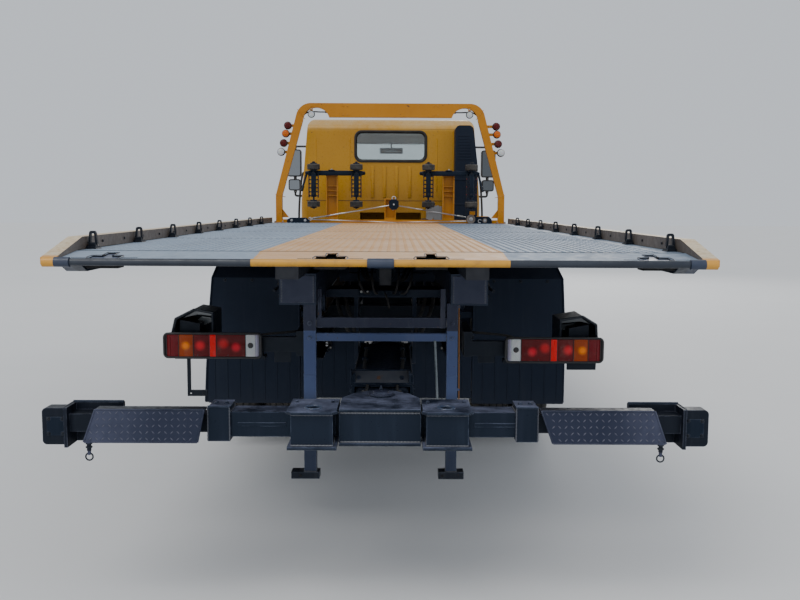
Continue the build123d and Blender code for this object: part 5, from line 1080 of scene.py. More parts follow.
cb.piece("cab_trim", "cab", "cab_yellow", [CAB, SEALS, PLASTIC, SEAM, ALLOY, DARKENED_MIRROR, FABRIC2, AMBER_LENS, ZINC, LINING], 38)

for side, s in SIDES:
    d = Shape()
    x = side_x(1.25)
    # handle in its dish, lock, lower moulding, window rubber and hinge knuckles
    d.prism(round_rect(2.665, 1.265, 0.19, 0.085, 0.03, 5), s * (x - 0.002), s * (x + 0.0035), "x", 1, 0.001)
    d.tube(smooth_path([(s * (x + 0.0), 2.60, 1.278), (s * (x + 0.03), 2.618, 1.279), (s * (x + 0.034), 2.665, 1.28), (s * (x + 0.03), 2.712, 1.279), (s * x, 2.73, 1.278)], 5), 0.0095, 8, 1, flat=0.7)
    d.lathe([(0, 0.011), (0.005, 0.011), (0.006, 0.009), (0.006, 0)], (s * (x + 0.002), 2.62, 1.215), (s, 0, 0), 18, 2)
    d.box((s * (x - 0.004), 2.53, 1.085), (s * (x + 0.007), 3.52, 1.125), 0.004, 2, 1)
    line = [(2.575, 1.445), (3.03, 1.44), (3.475, 1.44), (3.455, 1.53), (3.40, 1.78), (3.345, 2.03), (3.0, 2.042), (2.625, 2.04), (2.583, 2.01), (2.576, 1.75)]
    d.tube([(s * (side_x(z) - 0.004), y, z) for y, z in line], 0.0105, 8, 3, closed=True)
    d.box((s * (side_x(1.42) - 0.01), 2.57, 1.424), (s * (side_x(1.42) + 0.004), 3.5, 1.436), 0.003, 1, 3)
    for z in (1.06, 1.34):
        d.rod((s * (0.894), 3.562, z - 0.035), (s * (0.894), 3.562, z + 0.035), 0.011, 12, 0, chamfer=0.002)
    # inner panel: arm rest, pocket and winder
    d.box((s * 0.835, 2.62, 1.22), (s * 0.80, 3.18, 1.27), 0.012, 2, 4)
    d.box((s * 0.84, 2.58, 1.03), (s * 0.812, 3.42, 1.14), 0.012, 2, 1)
    d.lathe([(0, 0.028), (0.012, 0.026), (0.02, 0.01), (0.02, 0)], (s * 0.848, 3.24, 1.2), (-s, 0, 0), 18, 1)
    d.tube([(s * 0.832, 3.24, 1.2), (s * 0.826, 3.3, 1.225), (s * 0.81, 3.3, 1.225)], 0.007, 8, 1)
    d.piece("door_%s_trim" % side, "door_" + side, "cab_yellow", [CAB, PLASTIC, ALLOY, SEALS, FABRIC2], 38)

# mirrors: silvered glass facing rearwards, painted dark as a reflection of dark surroundings; rims, clamp bolts
mir = Shape()
for s in (-1, 1):
    for a, b, c, e in ((1.036, 1.2, 1.74, 2.05), (1.045, 1.185, 1.58, 1.712)):
        cx, cz, w, h = s * (a + b) / 2, (c + e) / 2, b - a, e - c
        mir.prism(round_rect(cx, cz, w - 0.014, h - 0.014, 0.021, 5), 3.6475, 3.652, "y", 1, 0.001)
        mir.prism(round_rect(cx, cz, w - 0.026, h - 0.026, 0.017, 5), 3.6455, 3.6485, "y", 0, 0.0005)
        mir.tube([(x, 3.6505, z) for x, z in round_rect(cx, cz, w - 0.006, h - 0.006, 0.025, 5)], 0.003, 6, 1, closed=True)
        mir.box((cx - 0.02, 3.733, cz - 0.03), (cx + 0.02, 3.742, cz + 0.03), 0.004, 2, 1)
    for x, z in ((1.11, 2.062), (1.11, 1.725), (1.11, 1.572)):
        mir.lathe([(-0.014, 0.012), (-0.014, 0.018), (0.014, 0.018), (0.014, 0.012)], (s * x, 3.69, z), (0, 0, 1), 18, 1, closed=True)
        mir.bolt((s * x, 3.672, z), (0, -1, 0), 0.005, 0.005, 2, washer=False)
    for y, z, x in ((3.658, 2.0, 0.842), (3.70, 1.52, 0.89)):
        mir.box((s * (x - 0.004), y - 0.03, z - 0.025), (s * (x + 0.014), y + 0.03, z + 0.025), 0.005, 2, 1)
mir.piece("mirror_glass", "cab", "plastic_black", [DARKENED_MIRROR, PLASTIC, ZINC], 32)

# air intake stack: bands, seams and louvres on the outer upper side
air = Shape()
for z in (1.13, 1.42, 1.66):
    air.prism([(0.622, z), (0.852, z), (0.852, z + 0.016), (0.622, z + 0.016)], 1.996, 2.184, "y", 0, 0.004)
for k in range(9):
    z = 1.86 + k * 0.028
    air.box((0.65, 1.9965, z), (0.79 - k * 0.003, 2.002, z + 0.013), 0.002, 1, 0)
air.box((0.735, 1.9975, 1.14), (0.739, 2.0015, 1.82), 0, 1, 1)
for z in (1.2, 1.5, 1.75):
    air.bolt((0.64, 2.0, z), (0, -1, 0), 0.006, 0.005, 2)
    air.bolt((0.835, 2.0, z), (0, -1, 0), 0.006, 0.005, 2)
for z in (0.83, 0.9, 1.04, 1.09):
    air.lathe([(-0.006, 0.0605), (-0.006, 0.0645), (0.006, 0.0645), (0.006, 0.0605)], (0.7, 2.085, z), (0, 0, 1), 30, 2 if z in (0.83, 1.09) else 0, closed=True)
for k in range(10):
    air.lathe([(-0.004, 0.0602), (0, 0.0655), (0.004, 0.0602)], (0.7, 2.085, 0.925 + k * 0.011), (0, 0, 1), 30, 0, closed=True)
air.piece("air_intake_detail", "chassis", "plastic_black", [MUD, SEAM, BLACK], 35)


# ------------------------------------------------------------------ tail lamps
# painted highlights behind the lenses, bright spots in the lens colour where the reflectors catch light: distance from
# the middle, height, reach, colour
PAINTED_LAMP_GLINTS = ((0.937, 0.755, 0.027, (0.85, 0.22, 0.004)), (0.869, 0.756, 0.032, (0.62, 0.012, 0.022)), (0.760, 0.766, 0.034, (0.50, 0.010, 0.014)),
         (0.700, 0.748, 0.030, (0.62, 0.012, 0.030)))
LILAC_LENS = lens("pale_lens", (0.50, 0.48, 0.60), (0.38, 0.37, 0.47))
HOT_RED = lens("bright_red_lens", (0.72, 0.006, 0.008), (0.5, 0.004, 0.006), 240.0, 0.10)
CRIMSON = lens("crimson_lens", (0.21, 0.005, 0.013), (0.10, 0.003, 0.006))
HOT_AMBER = lens("bright_amber_lens", (0.40, 0.062, 0.003), (0.24, 0.028, 0.002), 240.0, 0.0, PAINTED_LAMP_GLINTS)
RED_BODY = lens("red_body_lens", (0.16, 0.004, 0.007), (0.075, 0.002, 0.004), 240.0, 0.0, PAINTED_LAMP_GLINTS)
LY = -2.680
lit = Shape()
for s in (-1, 1):
    edge, width, dz = (1.040, 0.457, 0.0) if s < 0 else (1.035, 0.461, -0.016)

    def at(d):
        return s * (edge - d * width / 0.453)
    mid = s * (edge - width / 2)
    # housing behind and a raised black rim all round
    lit.prism(round_rect(mid, 0.7555 + dz, width, 0.115, 0.018, 4), LY + 0.012, LY + 0.048, "y", 0, 0.002)
    lit.tube([(x, LY + 0.006, z) for x, z in round_rect(mid, 0.7555 + dz, width, 0.114, 0.019, 5)], 0.0052, 8, 0, closed=True)
    # lens blocks from the outer end: start, end, material, how far they bulge
    for d0, d1, mat, bulge in ((0.03, 0.069, 6, 0.0), (0.070, 0.137, 8, 0.001), (0.138, 0.213, 4, 0.001), (0.214, 0.244, 1, 0.0025),
                               (0.245, 0.381, 4, 0.001), (0.382, 0.428, 3, 0.001)):
        lit.box((at(d0), LY + 0.002 - bulge, 0.7035 + dz), (at(d1), LY + 0.03, 0.8075 + dz), 0.003, 2, mat)
    for d, mat in ((0.03, 6), (0.428, 7)):
        e = 1 if d < 0.2 else -1
        prof = []
        for k in range(9):
            a = math.pi / 2 * k / 8
            prof.append((at(d) + s * e * (0.022 if d > 0.2 else 0.027) * math.sin(a), LY + 0.002 + 0.036 * (1 - math.cos(a))))
        lit.prism([(at(d), LY + 0.038)] + prof, 0.7035 + dz, 0.8075 + dz, "z", mat, 0.0015)
    # bulb seen dark through the clear part
    lit.lathe([(-0.001, 0.015), (0.0010, 0.012), (0.0016, 0.006), (0.0016, 0.0)], (at(0.405), LY + 0.001, 0.757 + dz), (0, -1, 0), 24, 0)
    for d in (0.0695, 0.1375, 0.2135, 0.2445, 0.3815):
        lit.box((at(d - 0.0012), LY - 0.0005, 0.703 + dz), (at(d + 0.0012), LY + 0.006, 0.808 + dz), 0, 1, 0)
    lit.box((at(0.3122), LY - 0.0001, 0.704 + dz), (at(0.3138), LY + 0.006, 0.807 + dz), 0, 1, 4)
    for d in (0.02, 0.158, 0.3, 0.434):
        lit.bolt((at(d), LY + 0.0035 + (0.006 if d in (0.02, 0.434) else -0.002), 0.7105 + dz), (0, -1, 0), 0.003, 0.002, 0, washer=False)
    lit.tube(smooth_path([(at(0.33), LY + 0.046, 0.76 + dz), (at(0.34), LY + 0.08, 0.76 + dz), (at(0.42), LY + 0.11, 0.79), (at(0.6), LY + 0.15, 0.805), (at(0.64), LY + 0.3, 0.80)], 6), 0.006, 8, 10)
lit.piece("tail_lamps_detail", "chassis", "lamp_red", [PLASTIC, HOT_RED, AMBER_LENS, CLEAR_LENS, RED_BODY, REFLECTOR, CRIMSON, LILAC_LENS, HOT_AMBER, ZINC, HOSE], 32)
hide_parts("tail_lamps")

# lighter glossy copy of the guard's black paint: a painted highlight on the lamp guard
HOOD_HIGHLIGHT_PANEL = paint("hood_painted_highlight", (0.055, 0.072, 0.085), (0.085, 0.105, 0.12), 0.14, 0.3, (0.3, 0.33, 0.36), streak=0.05, coat=0.6)
brk = Shape()
HOODS = {-1: ((0.815, 0.908), (0.905, 0.924), (0.996, 0.878), (1.013, 0.808), (1.013, 0.78)),
         1: ((0.836, 0.879), (0.946, 0.898), (1.012, 0.858), (1.016, 0.799), (1.016, 0.764))}
for s in (-1, 1):
    dz = 0.0 if s < 0 else -0.016
    # pressed edges, bolts and bright lips of the lamp guard
    for a, b in zip(HOODS[s], HOODS[s][1:]):
        brk.tube([(s * a[0], -2.632, a[1]), (s * b[0], -2.632, b[1])], 0.0035, 8, 0)
    (x0, z0), (x1, z1), (x2, z2) = HOODS[s][:3]
    # upper panel of the guard in the lighter guard paint, a painted highlight
    brk.prism([(s * (x0 + 0.012), z0 - 0.010), (s * x1, z1 - 0.012), (s * (x2 - 0.014), z2 - 0.008), (s * x1, z1 - 0.036), (s * (x0 + 0.012), z0 - 0.026)],
              -2.56, -2.43, "y", 2, 0.002)
    # pressed inner panel with a glossy upper flank, in the lighter guard paint as a painted highlight
    brk.prism([(s * (x0 + 0.03), z0 - 0.040), (s * (x1 - 0.01), z1 - 0.050), (s * (x2 - 0.045), z2 - 0.045), (s * (x2 - 0.06), z2 - 0.062), (s * (x0 + 0.03), z0 - 0.062)],
              -2.50, -2.43, "y", 2, 0.002)
    for x in (0.62, 0.72, 0.93):
        brk.bolt((s * x, -2.632, 0.752 + dz), (0, -1, 0), 0.008, 0.007, 1)
    for x in (0.62, 0.78, 0.94):
        brk.bolt((s * x, -2.60, 0.684 + dz), (0, 0, -1), 0.006, 0.006, 1)
    for y in (-2.6, -2.46, -2.32):
        brk.bolt((s * 0.42, y, 0.73), (s, 0, 0), 0.009, 0.008, 1)
        brk.bolt((s * 0.42, y, 0.79), (s, 0, 0), 0.009, 0.008, 1)
    brk.box((s * 0.45, -2.596, 0.664), (s * 0.53, -2.592, 0.72), 0.001, 1, 1)
brk.tube([(-0.935, -2.62, 0.70), (-0.935, -2.62, 0.512), (-0.852, -2.62, 0.512)], 0.0028, 6, 1)
brk.tube([(0.874, -2.632, 0.641), (1.011, -2.632, 0.641), (1.011, -2.632, 0.686)], 0.003, 6, 0)
brk.bolt((-0.865, -2.632, 0.518), (0, -1, 0), 0.006, 0.005, 1)
brk.piece("lamp_bracket_fittings", "chassis", "frame_black", [GLOSS, BLACK, HOOD_HIGHLIGHT_PANEL])

# ------------------------------------------------------------------ underlift
BY = TAIL + 0.08
lift = Shape()


def bead(shape, pts, r=0.0035, mat=0):
    """Rippled weld bead along a line."""
    p = [Vector(q) for q in pts]
    out = []
    for a, b in zip(p, p[1:]):
        n = max(2, int((b - a).length / 0.006))
        out += [a + (b - a) * i / n for i in range(n)]
    out.append(p[-1])
    for i, q in enumerate(out[:-1]):
        t = out[i + 1] - q
        u, w = frame_of(t)
        k = r * (1.0 if i % 2 else 0.72)
        shape.rings([[q + (u * math.cos(a) + w * math.sin(a)) * k for a in (0, 1.05, 2.09, 3.14, 4.19, 5.24)],
                     [out[i + 1] + (u * math.cos(a) + w * math.sin(a)) * (r * 0.72 if i % 2 else r) for a in (0, 1.05, 2.09, 3.14, 4.19, 5.24)]],
                    mat, cap=i in (0, len(out) - 2))


PALE_ROD = paint("pale_rod", (0.14, 0.17, 0.19), (0.19, 0.22, 0.24), 0.3, 0.1, streak=0)
# orange-brown for the thin rod beside the right leg, a painted highlight on the leg's lit edge
LEG_EDGE_HIGHLIGHT = paint("leg_edge_painted_highlight", (0.3, 0.13, 0.04), (0.24, 0.1, 0.03), 0.7, 0.1, streak=0)
# head: weld rows along both plates, pin cap with its grease nipple and keeper
for z in (0.713, 0.612):
    bead(lift, [(-0.136, TAIL - 0.0505, z), (0.136, TAIL - 0.0505, z)], 0.0038, 1)
for s in (-1, 1):
    bead(lift, [(s * 0.1405, TAIL - 0.045, 0.7135), (s * 0.1405, BY + 0.045, 0.7135)], 0.0035, 1)
    bead(lift, [(s * 0.1405, TAIL - 0.045, 0.6115), (s * 0.1405, BY + 0.045, 0.6115)], 0.0035, 1)
lift.lathe([(0.0, 0.046), (0.004, 0.046), (0.006, 0.042), (0.006, 0.03), (0.012, 0.028), (0.014, 0.02), (0.014, 0.0)], (0, TAIL + 0.17, 0.733), (0, 0, 1), 36, 2)
lift.lathe([(0.0, 0.006), (0.008, 0.006), (0.010, 0.004), (0.016, 0.003), (0.017, 0.0)], (0, TAIL + 0.17, 0.747), (0, 0, 1), 12, 3)
lift.box((-0.022, TAIL + 0.204, 0.7265), (0.022, TAIL + 0.232, 0.7325), 0.002, 1, 0)
for x in (-0.014, 0.014):
    lift.bolt((x, TAIL + 0.219, 0.7325), (0, 0, 1), 0.0055, 0.005, 3)
# rounded front lip on the head's top plate; its pale top is worn edge and the crossbar paint's bluish top colour, which
# is partly painted sky light
lift.tube([(-0.139, TAIL - 0.05, 0.7215), (0.139, TAIL - 0.05, 0.7215)], 0.0062, 8, 0)
lift.tube([(-0.139, TAIL - 0.05, 0.6035), (0.139, TAIL - 0.05, 0.6035)], 0.0062, 8, 0)
for s in (-1, 1):
    a, b = s * 0.145, s * 0.311
    # fork sockets: edge rounds, welds, sleeve in the hole, studs
    g = 0.016 if a < b else -0.016
    lift.tube([(a, -3.934, 0.727), (a + g, -3.95, 0.727), (b - g, -3.95, 0.727), (b, -3.934, 0.727)], 0.006, 8, 0)
    lift.tube([(a, -3.946, 0.606), (b, -3.946, 0.606)], 0.006, 8, 0)
    for x in (s * 0.157, s * 0.299):
        for z in (0.7185, 0.6145):
            bead(lift, [(x, -3.927, z), (x, BY - 0.052, z)], 0.0026, 1)
    bead(lift, [(s * 0.157, -3.9395, 0.7195), (s * 0.299, -3.9395, 0.7195)], 0.0038, 1)
    bead(lift, [(s * 0.157, -3.9395, 0.6145), (s * 0.299, -3.9395, 0.6145)], 0.0034, 1)
    bead(lift, [(s * 0.150, BY - 0.0515, 0.7005), (s * 0.306, BY - 0.0515, 0.7005)], 0.0034, 1)
    lift.lathe([(0.0, 0.0222), (0.0, 0.031), (0.002, 0.032), (0.0045, 0.0305), (0.0045, 0.0235), (0.003, 0.0222)], (s * 0.226, -3.89, 0.7325), (0, 0, 1), 32, 4, closed=True)
    for x in (s * 0.165, s * 0.292):
        lift.bolt((x, -3.80, 0.733), (0, 0, 1), 0.006, 0.005, 3)
    # collar: weld toes, clamp bolts underneath and its end lip
    end = 0.602 if s < 0 else 0.552
    for x in (end - 0.076, end):
        for z0, z1 in ((0.605, 0.700),):
            bead(lift, [(s * x, BY - 0.0625, 0.597), (s * x, BY - 0.0625, 0.715)], 0.003, 1)
    bead(lift, [(s * (end - 0.0775), BY - 0.051, 0.6985), (s * (end - 0.0775), BY + 0.048, 0.6985)], 0.004, 1)
    lift.tube([(s * end, BY - 0.06, 0.7165), (s * (end - 0.076), BY - 0.06, 0.7165)], 0.005, 8, 0)
    for x in (end - 0.055, end - 0.02):
        lift.bolt((s * x, BY, 0.595), (0, 0, -1), 0.009, 0.008, 3)
        lift.bolt((s * x, BY, 0.717), (0, 0, 1), 0.0075, 0.006, 3)
    lift.box((s * 0.33, BY - 0.0515, 0.645), (s * 0.50, BY - 0.0495, 0.66), 0.0008, 1, 0)
lift.piece("crossbar_fittings", "crossbar", "frame_navy", [CROSS, BEAD, SLATE, CROSS, SLEEVE], 32)

# raised lozenges on the ramps painted lighter than the plate: a painted highlight on their tops
TREAD_TOP_HIGHLIGHT = paint("tread_tops_painted_highlight", (0.070, 0.075, 0.108), (0.105, 0.110, 0.150), 0.4, 0.2, streak=0)
# arms: chequer on the ramps, folded edges, end plates with welds and pins
for side, s in SIDES:
    out = 0.018 if s < 0 else -0.014
    arm = Shape()
    top, bot = Vector((0, BY - 0.0882, 0.7124)), Vector((0, BY - 0.1122, 0.6034))
    slope = bot - top
    nrm = Vector((0, slope.z, -slope.y)).normalized()
    if nrm.y > 0:
        nrm = -nrm
    inner = (0.591 if s < 0 else 0.573)

    def ramp(u, v, h):
        q = top + slope * v + nrm * h
        return (s * (u + out), q.y, q.z)

    def off_ramp(u, v):
        lo = inner + (0.61 - inner) * v + 0.012
        hi = 0.968 + 0.034 * v - 0.012
        return not (lo < u < hi) or v < 0.08 or v > 0.94
    nv = 5
    for i in range(int(0.46 / 0.0215)):
        for j in range(nv):
            u, v = 0.56 + (i + 0.5) * 0.0215, (j + 0.5) / nv
            if off_ramp(u, v):
                continue
            a = math.radians(45 if (i + j) % 2 else -45)
            c, w = math.cos(a), math.sin(a)
            L = slope.length
            p = [(0.0085, 0, -0.0005), (0, 0.0026, -0.0005), (-0.0085, 0, -0.0005), (0, -0.0026, -0.0005), (0.005, 0, 0.0013), (-0.005, 0, 0.0013)]
            arm.add([ramp(u + x * c - y * w, v + (x * w + y * c) / L, h) for x, y, h in p], [(0, 1, 4), (1, 2, 5, 4), (2, 3, 5), (3, 0, 4, 5)], 5)
    # rolled top edge, folded ends and lower lip of the ramp
    arm.tube([ramp(inner + 0.002, 0.0, 0.0), ramp(0.966, 0.0, 0.0)], 0.0028, 8, 1)
    arm.tube([ramp(0.612, 1.0, -0.001), ramp(1.0, 1.0, -0.001)], 0.003, 8, 1)
    arm.tube([ramp(0.968, 0.0, 0), ramp(1.002, 1.0, 0)], 0.003, 8, 1)
    arm.tube([ramp(inner, 0.0, 0), ramp(0.61, 1.0, 0)], 0.003, 8, 1)
    X = lambda v: s * (v + out)
    # weld between back plate and tube, end wall seams
    bead(arm, [(X(0.906), BY + 0.049, 0.571), (X(0.906), BY + 0.049, 0.711)], 0.003, 2)
    bead(arm, [(X(1.0885), BY - 0.013, 0.575), (X(1.0885), BY - 0.013, 0.695)], 0.003, 2)
    bead(arm, [(X(1.086), BY - 0.060, 0.712), (X(1.086), BY + 0.046, 0.712)], 0.003, 2)
    arm.tube([(X(0.905), BY + 0.042, 0.712), (X(1.086), BY + 0.042, 0.712)], 0.0058, 8, 0)
    arm.box((X(1.10), BY - 0.0135, 0.60), (X(1.165), BY - 0.0115, 0.668), 0.003, 1, 0)
    for x in (1.108, 1.158):
        for z in (0.607, 0.661):
            arm.bolt((X(x), BY - 0.0125, z), (0, -1, 0), 0.0055, 0.005, 3)
    # slide stop bolts, pin row in the tube, ring and split pin below
    for x in (0.3, 0.38, 0.46):
        arm.lathe([(0, 0.012), (0.0012, 0.012), (0.0012, 0.008), (-0.004, 0.008)], (X(x), BY - 0.0362, 0.653), (0, -1, 0), 20, 0)
    arm.tube(arc((X(0.985), 0.551), 0.0125, 0, 360, 20, "xz", BY - 0.106)[:-1], 0.0028, 8, 4, closed=True)
    arm.rod((X(0.985), BY - 0.106, 0.605), (X(0.985), BY - 0.106, 0.572), 0.0078, 12, 4, chamfer=0.0015)
    for z in (0.598, 0.585):
        arm.lathe([(-0.002, 0.0075), (-0.002, 0.0115), (0.002, 0.0115), (0.002, 0.0075)], (X(0.985), BY - 0.106, z), (0, 0, 1), 20, 3, closed=True)
    # strap lug and chain slot on the back plate
    arm.box((X(0.93), BY + 0.0475, 0.60), (X(0.985), BY + 0.0495, 0.612), 0.001, 1, 0)
    arm.piece("arm_%s_detail" % side, "wheel_lift_" + side, "frame_navy", [NAVY, ARM, BEAD, BLACK, BLACK, TREAD_TOP_HIGHLIGHT], 32)

# lighter grey with chips; on the sloping guide plate it is partly painted sky light
LIT_WORN_GREY = paint("lit_and_worn_grey_paint", (0.038, 0.044, 0.058), (0.085, 0.092, 0.11), 0.36, 0.2, streak=0.3, chips=40.0)
# boom and extension: wear pads, locking pins, upright ears, hose pair, grease lines
boom = Shape()
Y0 = TAIL + 0.5
boom.box((-0.126, Y0 + 0.002, 0.7025), (0.126, Y0 + 0.06, 0.7095), 0.002, 1, 0)
for s in (-1, 1):
    boom.prism([(s * 0.126, 0.70), (s * 0.126, 0.732), (s * 0.118, 0.746), (s * 0.108, 0.746), (s * 0.108, 0.70)], Y0 + 0.004, Y0 + 0.03, "y", 0, 0.002)
    boom.box((s * 0.121, Y0 + 0.006, 0.60), (s * 0.1265, Y0 + 0.05, 0.69), 0.002, 1, 0)
    for z in (0.615, 0.675):
        boom.bolt((s * 0.1265, Y0 + 0.028, z), (s, 0, 0), 0.0075, 0.006, 1)
    bead(boom, [(s * 0.1225, Y0 + 0.07, 0.7035), (s * 0.1225, -2.30, 0.7035)], 0.003, 2)
    boom.tube(smooth_path([(s * 0.09, -2.30, 0.712), (s * 0.09, -2.5, 0.713), (s * 0.085, -2.9, 0.713), (s * 0.075, Y0 + 0.12, 0.714), (s * 0.06, Y0 + 0.03, 0.722)], 6), 0.0075, 8, 3)
    for y in (-2.5, -2.8, -3.1):
        boom.box((s * 0.074, y - 0.008, 0.703), (s * 0.1, y + 0.008, 0.724), 0.002, 1, 0)
# sloping guide plate over the boom's end, in lighter grey partly as painted sky light, with an upright ear at each side
boom.prism([(Y0 + 0.002, 0.7065), (Y0 + 0.040, 0.753), (Y0 + 0.046, 0.753), (Y0 + 0.012, 0.7065)], -0.128, 0.112, "x", 4, 0.001)
for x in (-0.128, 0.106):
    boom.box((x, Y0 + 0.0, 0.7035), (x + 0.006, Y0 + 0.048, 0.757), 0.001, 1, 0)
for x in (-0.095, 0.079):
    boom.bolt((x, Y0 + 0.018, 0.7275), (0, -0.775, 0.632), 0.007, 0.005, 1)
boom.tube([(-0.12, Y0 + 0.039, 0.7535), (0.104, Y0 + 0.039, 0.7535)], 0.0028, 6, 0)
for x in (-0.07, 0.07):
    boom.bolt((x, Y0 + 0.035, 0.7095), (0, 0, 1), 0.0075, 0.006, 1)
# pivot caps
for s in (-1, 1):
    boom.lathe([(0, 0.034), (0.006, 0.034), (0.009, 0.03), (0.009, 0.0)], (s * 0.1325, -2.18, 0.646), (s, 0, 0), 24, 0)
boom.piece("boom_detail", "underlift_boom", "frame_navy", [NAVY, NAVY, BEAD, HOSE, LIT_WORN_GREY])

ext = Shape()
for s in (-1, 1):
    ext.box((s * 0.095, TAIL + 0.312, 0.688), (s * 0.05, TAIL + 0.498, 0.6905), 0.001, 1, 1)
    bead(ext, [(s * 0.0355, TAIL + 0.20, 0.7075), (s * 0.0355, TAIL + 0.29, 0.7075)], 0.003, 2)
    ext.tube(smooth_path([(s * 0.06, TAIL + 0.5, 0.698), (s * 0.06, TAIL + 0.42, 0.697), (s * 0.065, TAIL + 0.34, 0.697), (s * 0.07, TAIL + 0.30, 0.715)], 6), 0.006, 8, 3)
ext.lathe([(0, 0.042), (0.004, 0.042), (0.005, 0.036), (0.005, 0.0205)], (0, TAIL + 0.17, 0.707), (0, 0, 1), 32, 4)
ext.box((-0.02, TAIL + 0.33, 0.6865), (0.02, TAIL + 0.46, 0.69), 0.002, 1, 0)
for y in (0.36, 0.43):
    ext.bolt((0, TAIL + y, 0.69), (0, 0, 1), 0.0065, 0.005, 1)
ext.piece("extension_detail", "boom_extension", "frame_navy", [NAVY, NAVY, BEAD, HOSE, STEEL])

# ------------------------------------------------------------------ tilt frame, legs
tf = Shape()
for s in (-1, 1):
    # wear pads on the box beams, end caps, pin caps, lift eye pins
    for y in (TAIL + 0.9, TAIL + 1.9, TAIL + 2.9, TAIL + 3.9, TAIL + 4.9):
        tf.box((s * 0.325, y - 0.06, 1.1245), (s * 0.415, y + 0.06, 1.1295), 0.001, 1, 3)
    tf.box((s * 0.296, TAIL + 0.7965, 0.998), (s * 0.444, TAIL + 0.8005, 1.117), 0.003, 1, 7)
    for x in (0.302, 0.438):
        bead(tf, [(s * x, TAIL + 0.7985, 1.0), (s * x, TAIL + 0.7985, 1.115)], 0.003, 2)
    tf.lathe([(0, 0.028), (0.006, 0.028), (0.008, 0.024), (0.008, 0.0)], (s * 0.390, -2.38, 0.93), (s, 0, 0), 24, 0)
    tf.bolt((s * 0.398, -2.38, 0.93), (s, 0, 0), 0.009, 0.008, 1)
    for y in (-1.35,):
        tf.lathe([(0, 0.02), (0.008, 0.02), (0.01, 0.016), (0.01, 0.0)], (s * 0.235, -1.35, 0.9), (s, 0, 0), 20, 1)
    # hoses and pipes running along the beams
    for u, z in ((0.0, 1.02), (0.022, 1.045), (0.0, 1.075)):
        tf.tube(smooth_path([(s * (0.458 + u), TAIL + 0.86, z), (s * (0.458 + u), -1.5, z), (s * (0.458 + u), 0.4, z), (s * (0.462 + u), 1.35, z - 0.01)], 4), 0.0065, 8, 3 if z > 1.05 else 4)
    for y in (-2.6, -1.9, -1.2, -0.5, 0.2, 0.9):
        tf.box((s * 0.4495, y - 0.012, 1.008), (s * 0.49, y + 0.012, 1.086), 0.002, 1, 0)
        tf.bolt((s * 0.49, y, 1.03), (s, 0, 0), 0.006, 0.005, 1)
    # hoses dropping to the underlift, just inside the legs
    tf.tube(smooth_path([(s * 0.25, -2.24, 0.96), (s * 0.235, -2.34, 0.90), (s * 0.20, -2.4, 0.82), (s * 0.16, -2.38, 0.74)], 7), 0.010, 10, 3)
    tf.tube(smooth_path([(s * 0.21, -2.23, 0.96), (s * 0.19, -2.36, 0.90), (s * 0.165, -2.4, 0.84), (s * 0.15, -2.36, 0.75)], 7), 0.010, 10, 3)
# cross pipe and valve block on the saddle
tf.box((-0.135, -2.345, 0.962), (0.11, -2.302, 0.99), 0.003, 1, 5)
for x in (-0.121, -0.089):
    tf.bolt((x, -2.345, 0.983), (0, -1, 0), 0.0068, 0.006, 6, washer=False)
for x in (-0.08, -0.04, 0.0, 0.04, 0.08):
    tf.rod((x, -2.345, 0.976), (x, -2.37, 0.976), 0.009, 8, 1)
    if x:
        tf.tube(smooth_path([(x, -2.368, 0.976), (x * 1.3, -2.40, 0.985), (x * 1.6, -2.42, 1.04), (x * 1.7, -2.30, 1.085), (x * 1.7, -1.9, 1.09)], 6), 0.0055, 8, 3)
    else:
        tf.tube(smooth_path([(0, -2.368, 0.976), (0.004, -2.392, 0.968), (0.014, -2.396, 0.94), (0.02, -2.38, 0.905)], 6), 0.0055, 8, 3)
tf.piece("tilt_frame_detail", "tilt_frame", "frame_navy", [NAVY, NAVY, BEAD, HOSE, BLACK, NAVY, WHITE, END_PLATE], 32)

legs = Shape()
LGY = -2.93
for s, lo, hi in ((-1, 0.299, 0.353), (1, 0.279, 0.327)):
    x, h = s * (lo + hi) / 2, (hi - lo) / 2
    # weld at the foot, pin holes, band, bolts at the cross bars
    bead(legs, [(x - h - 0.001, LGY - 0.026, 0.2325), (x + h + 0.001, LGY - 0.026, 0.2325)], 0.003, 1)
    bead(legs, [(x - h - 0.001, LGY - 0.026, 0.2325), (x - h - 0.001, LGY + 0.026, 0.2325)], 0.003, 1)
    bead(legs, [(x + h + 0.001, LGY - 0.026, 0.2325), (x + h + 0.001, LGY + 0.026, 0.2325)], 0.003, 1)
    # pin holes as near-black discs: painted shade
    for z in (0.40, 0.475, 0.55):
        legs.lathe([(0.0015, 0.0105), (0.0015, 0.0075), (-0.004, 0.0075), (-0.004, 0.0)], (x, LGY - 0.0252, z), (0, -1, 0), 18, 2)
    legs.box((x - h - 0.0005, LGY - 0.0258, 0.66), (x + h + 0.0005, LGY + 0.0258, 0.672), 0.002, 1, 0)
    for z in (0.835, 0.9):
        legs.bolt((x, LGY - 0.025, z), (0, -1, 0), 0.008, 0.007, 0)
        bead(legs, [(s * (lo - 0.0015), LGY - 0.018, z - 0.014), (s * (lo - 0.0015), LGY - 0.018, z + 0.014)], 0.003, 1)
    legs.bolt((x - h * 1.6, LGY - 0.032, 0.2155), (0, -1, 0), 0.006, 0.004, 2, washer=False)
legs.tube([(-0.297, LGY - 0.0195, 0.8545), (0.277, LGY - 0.0195, 0.8545)], 0.003, 8, 0)
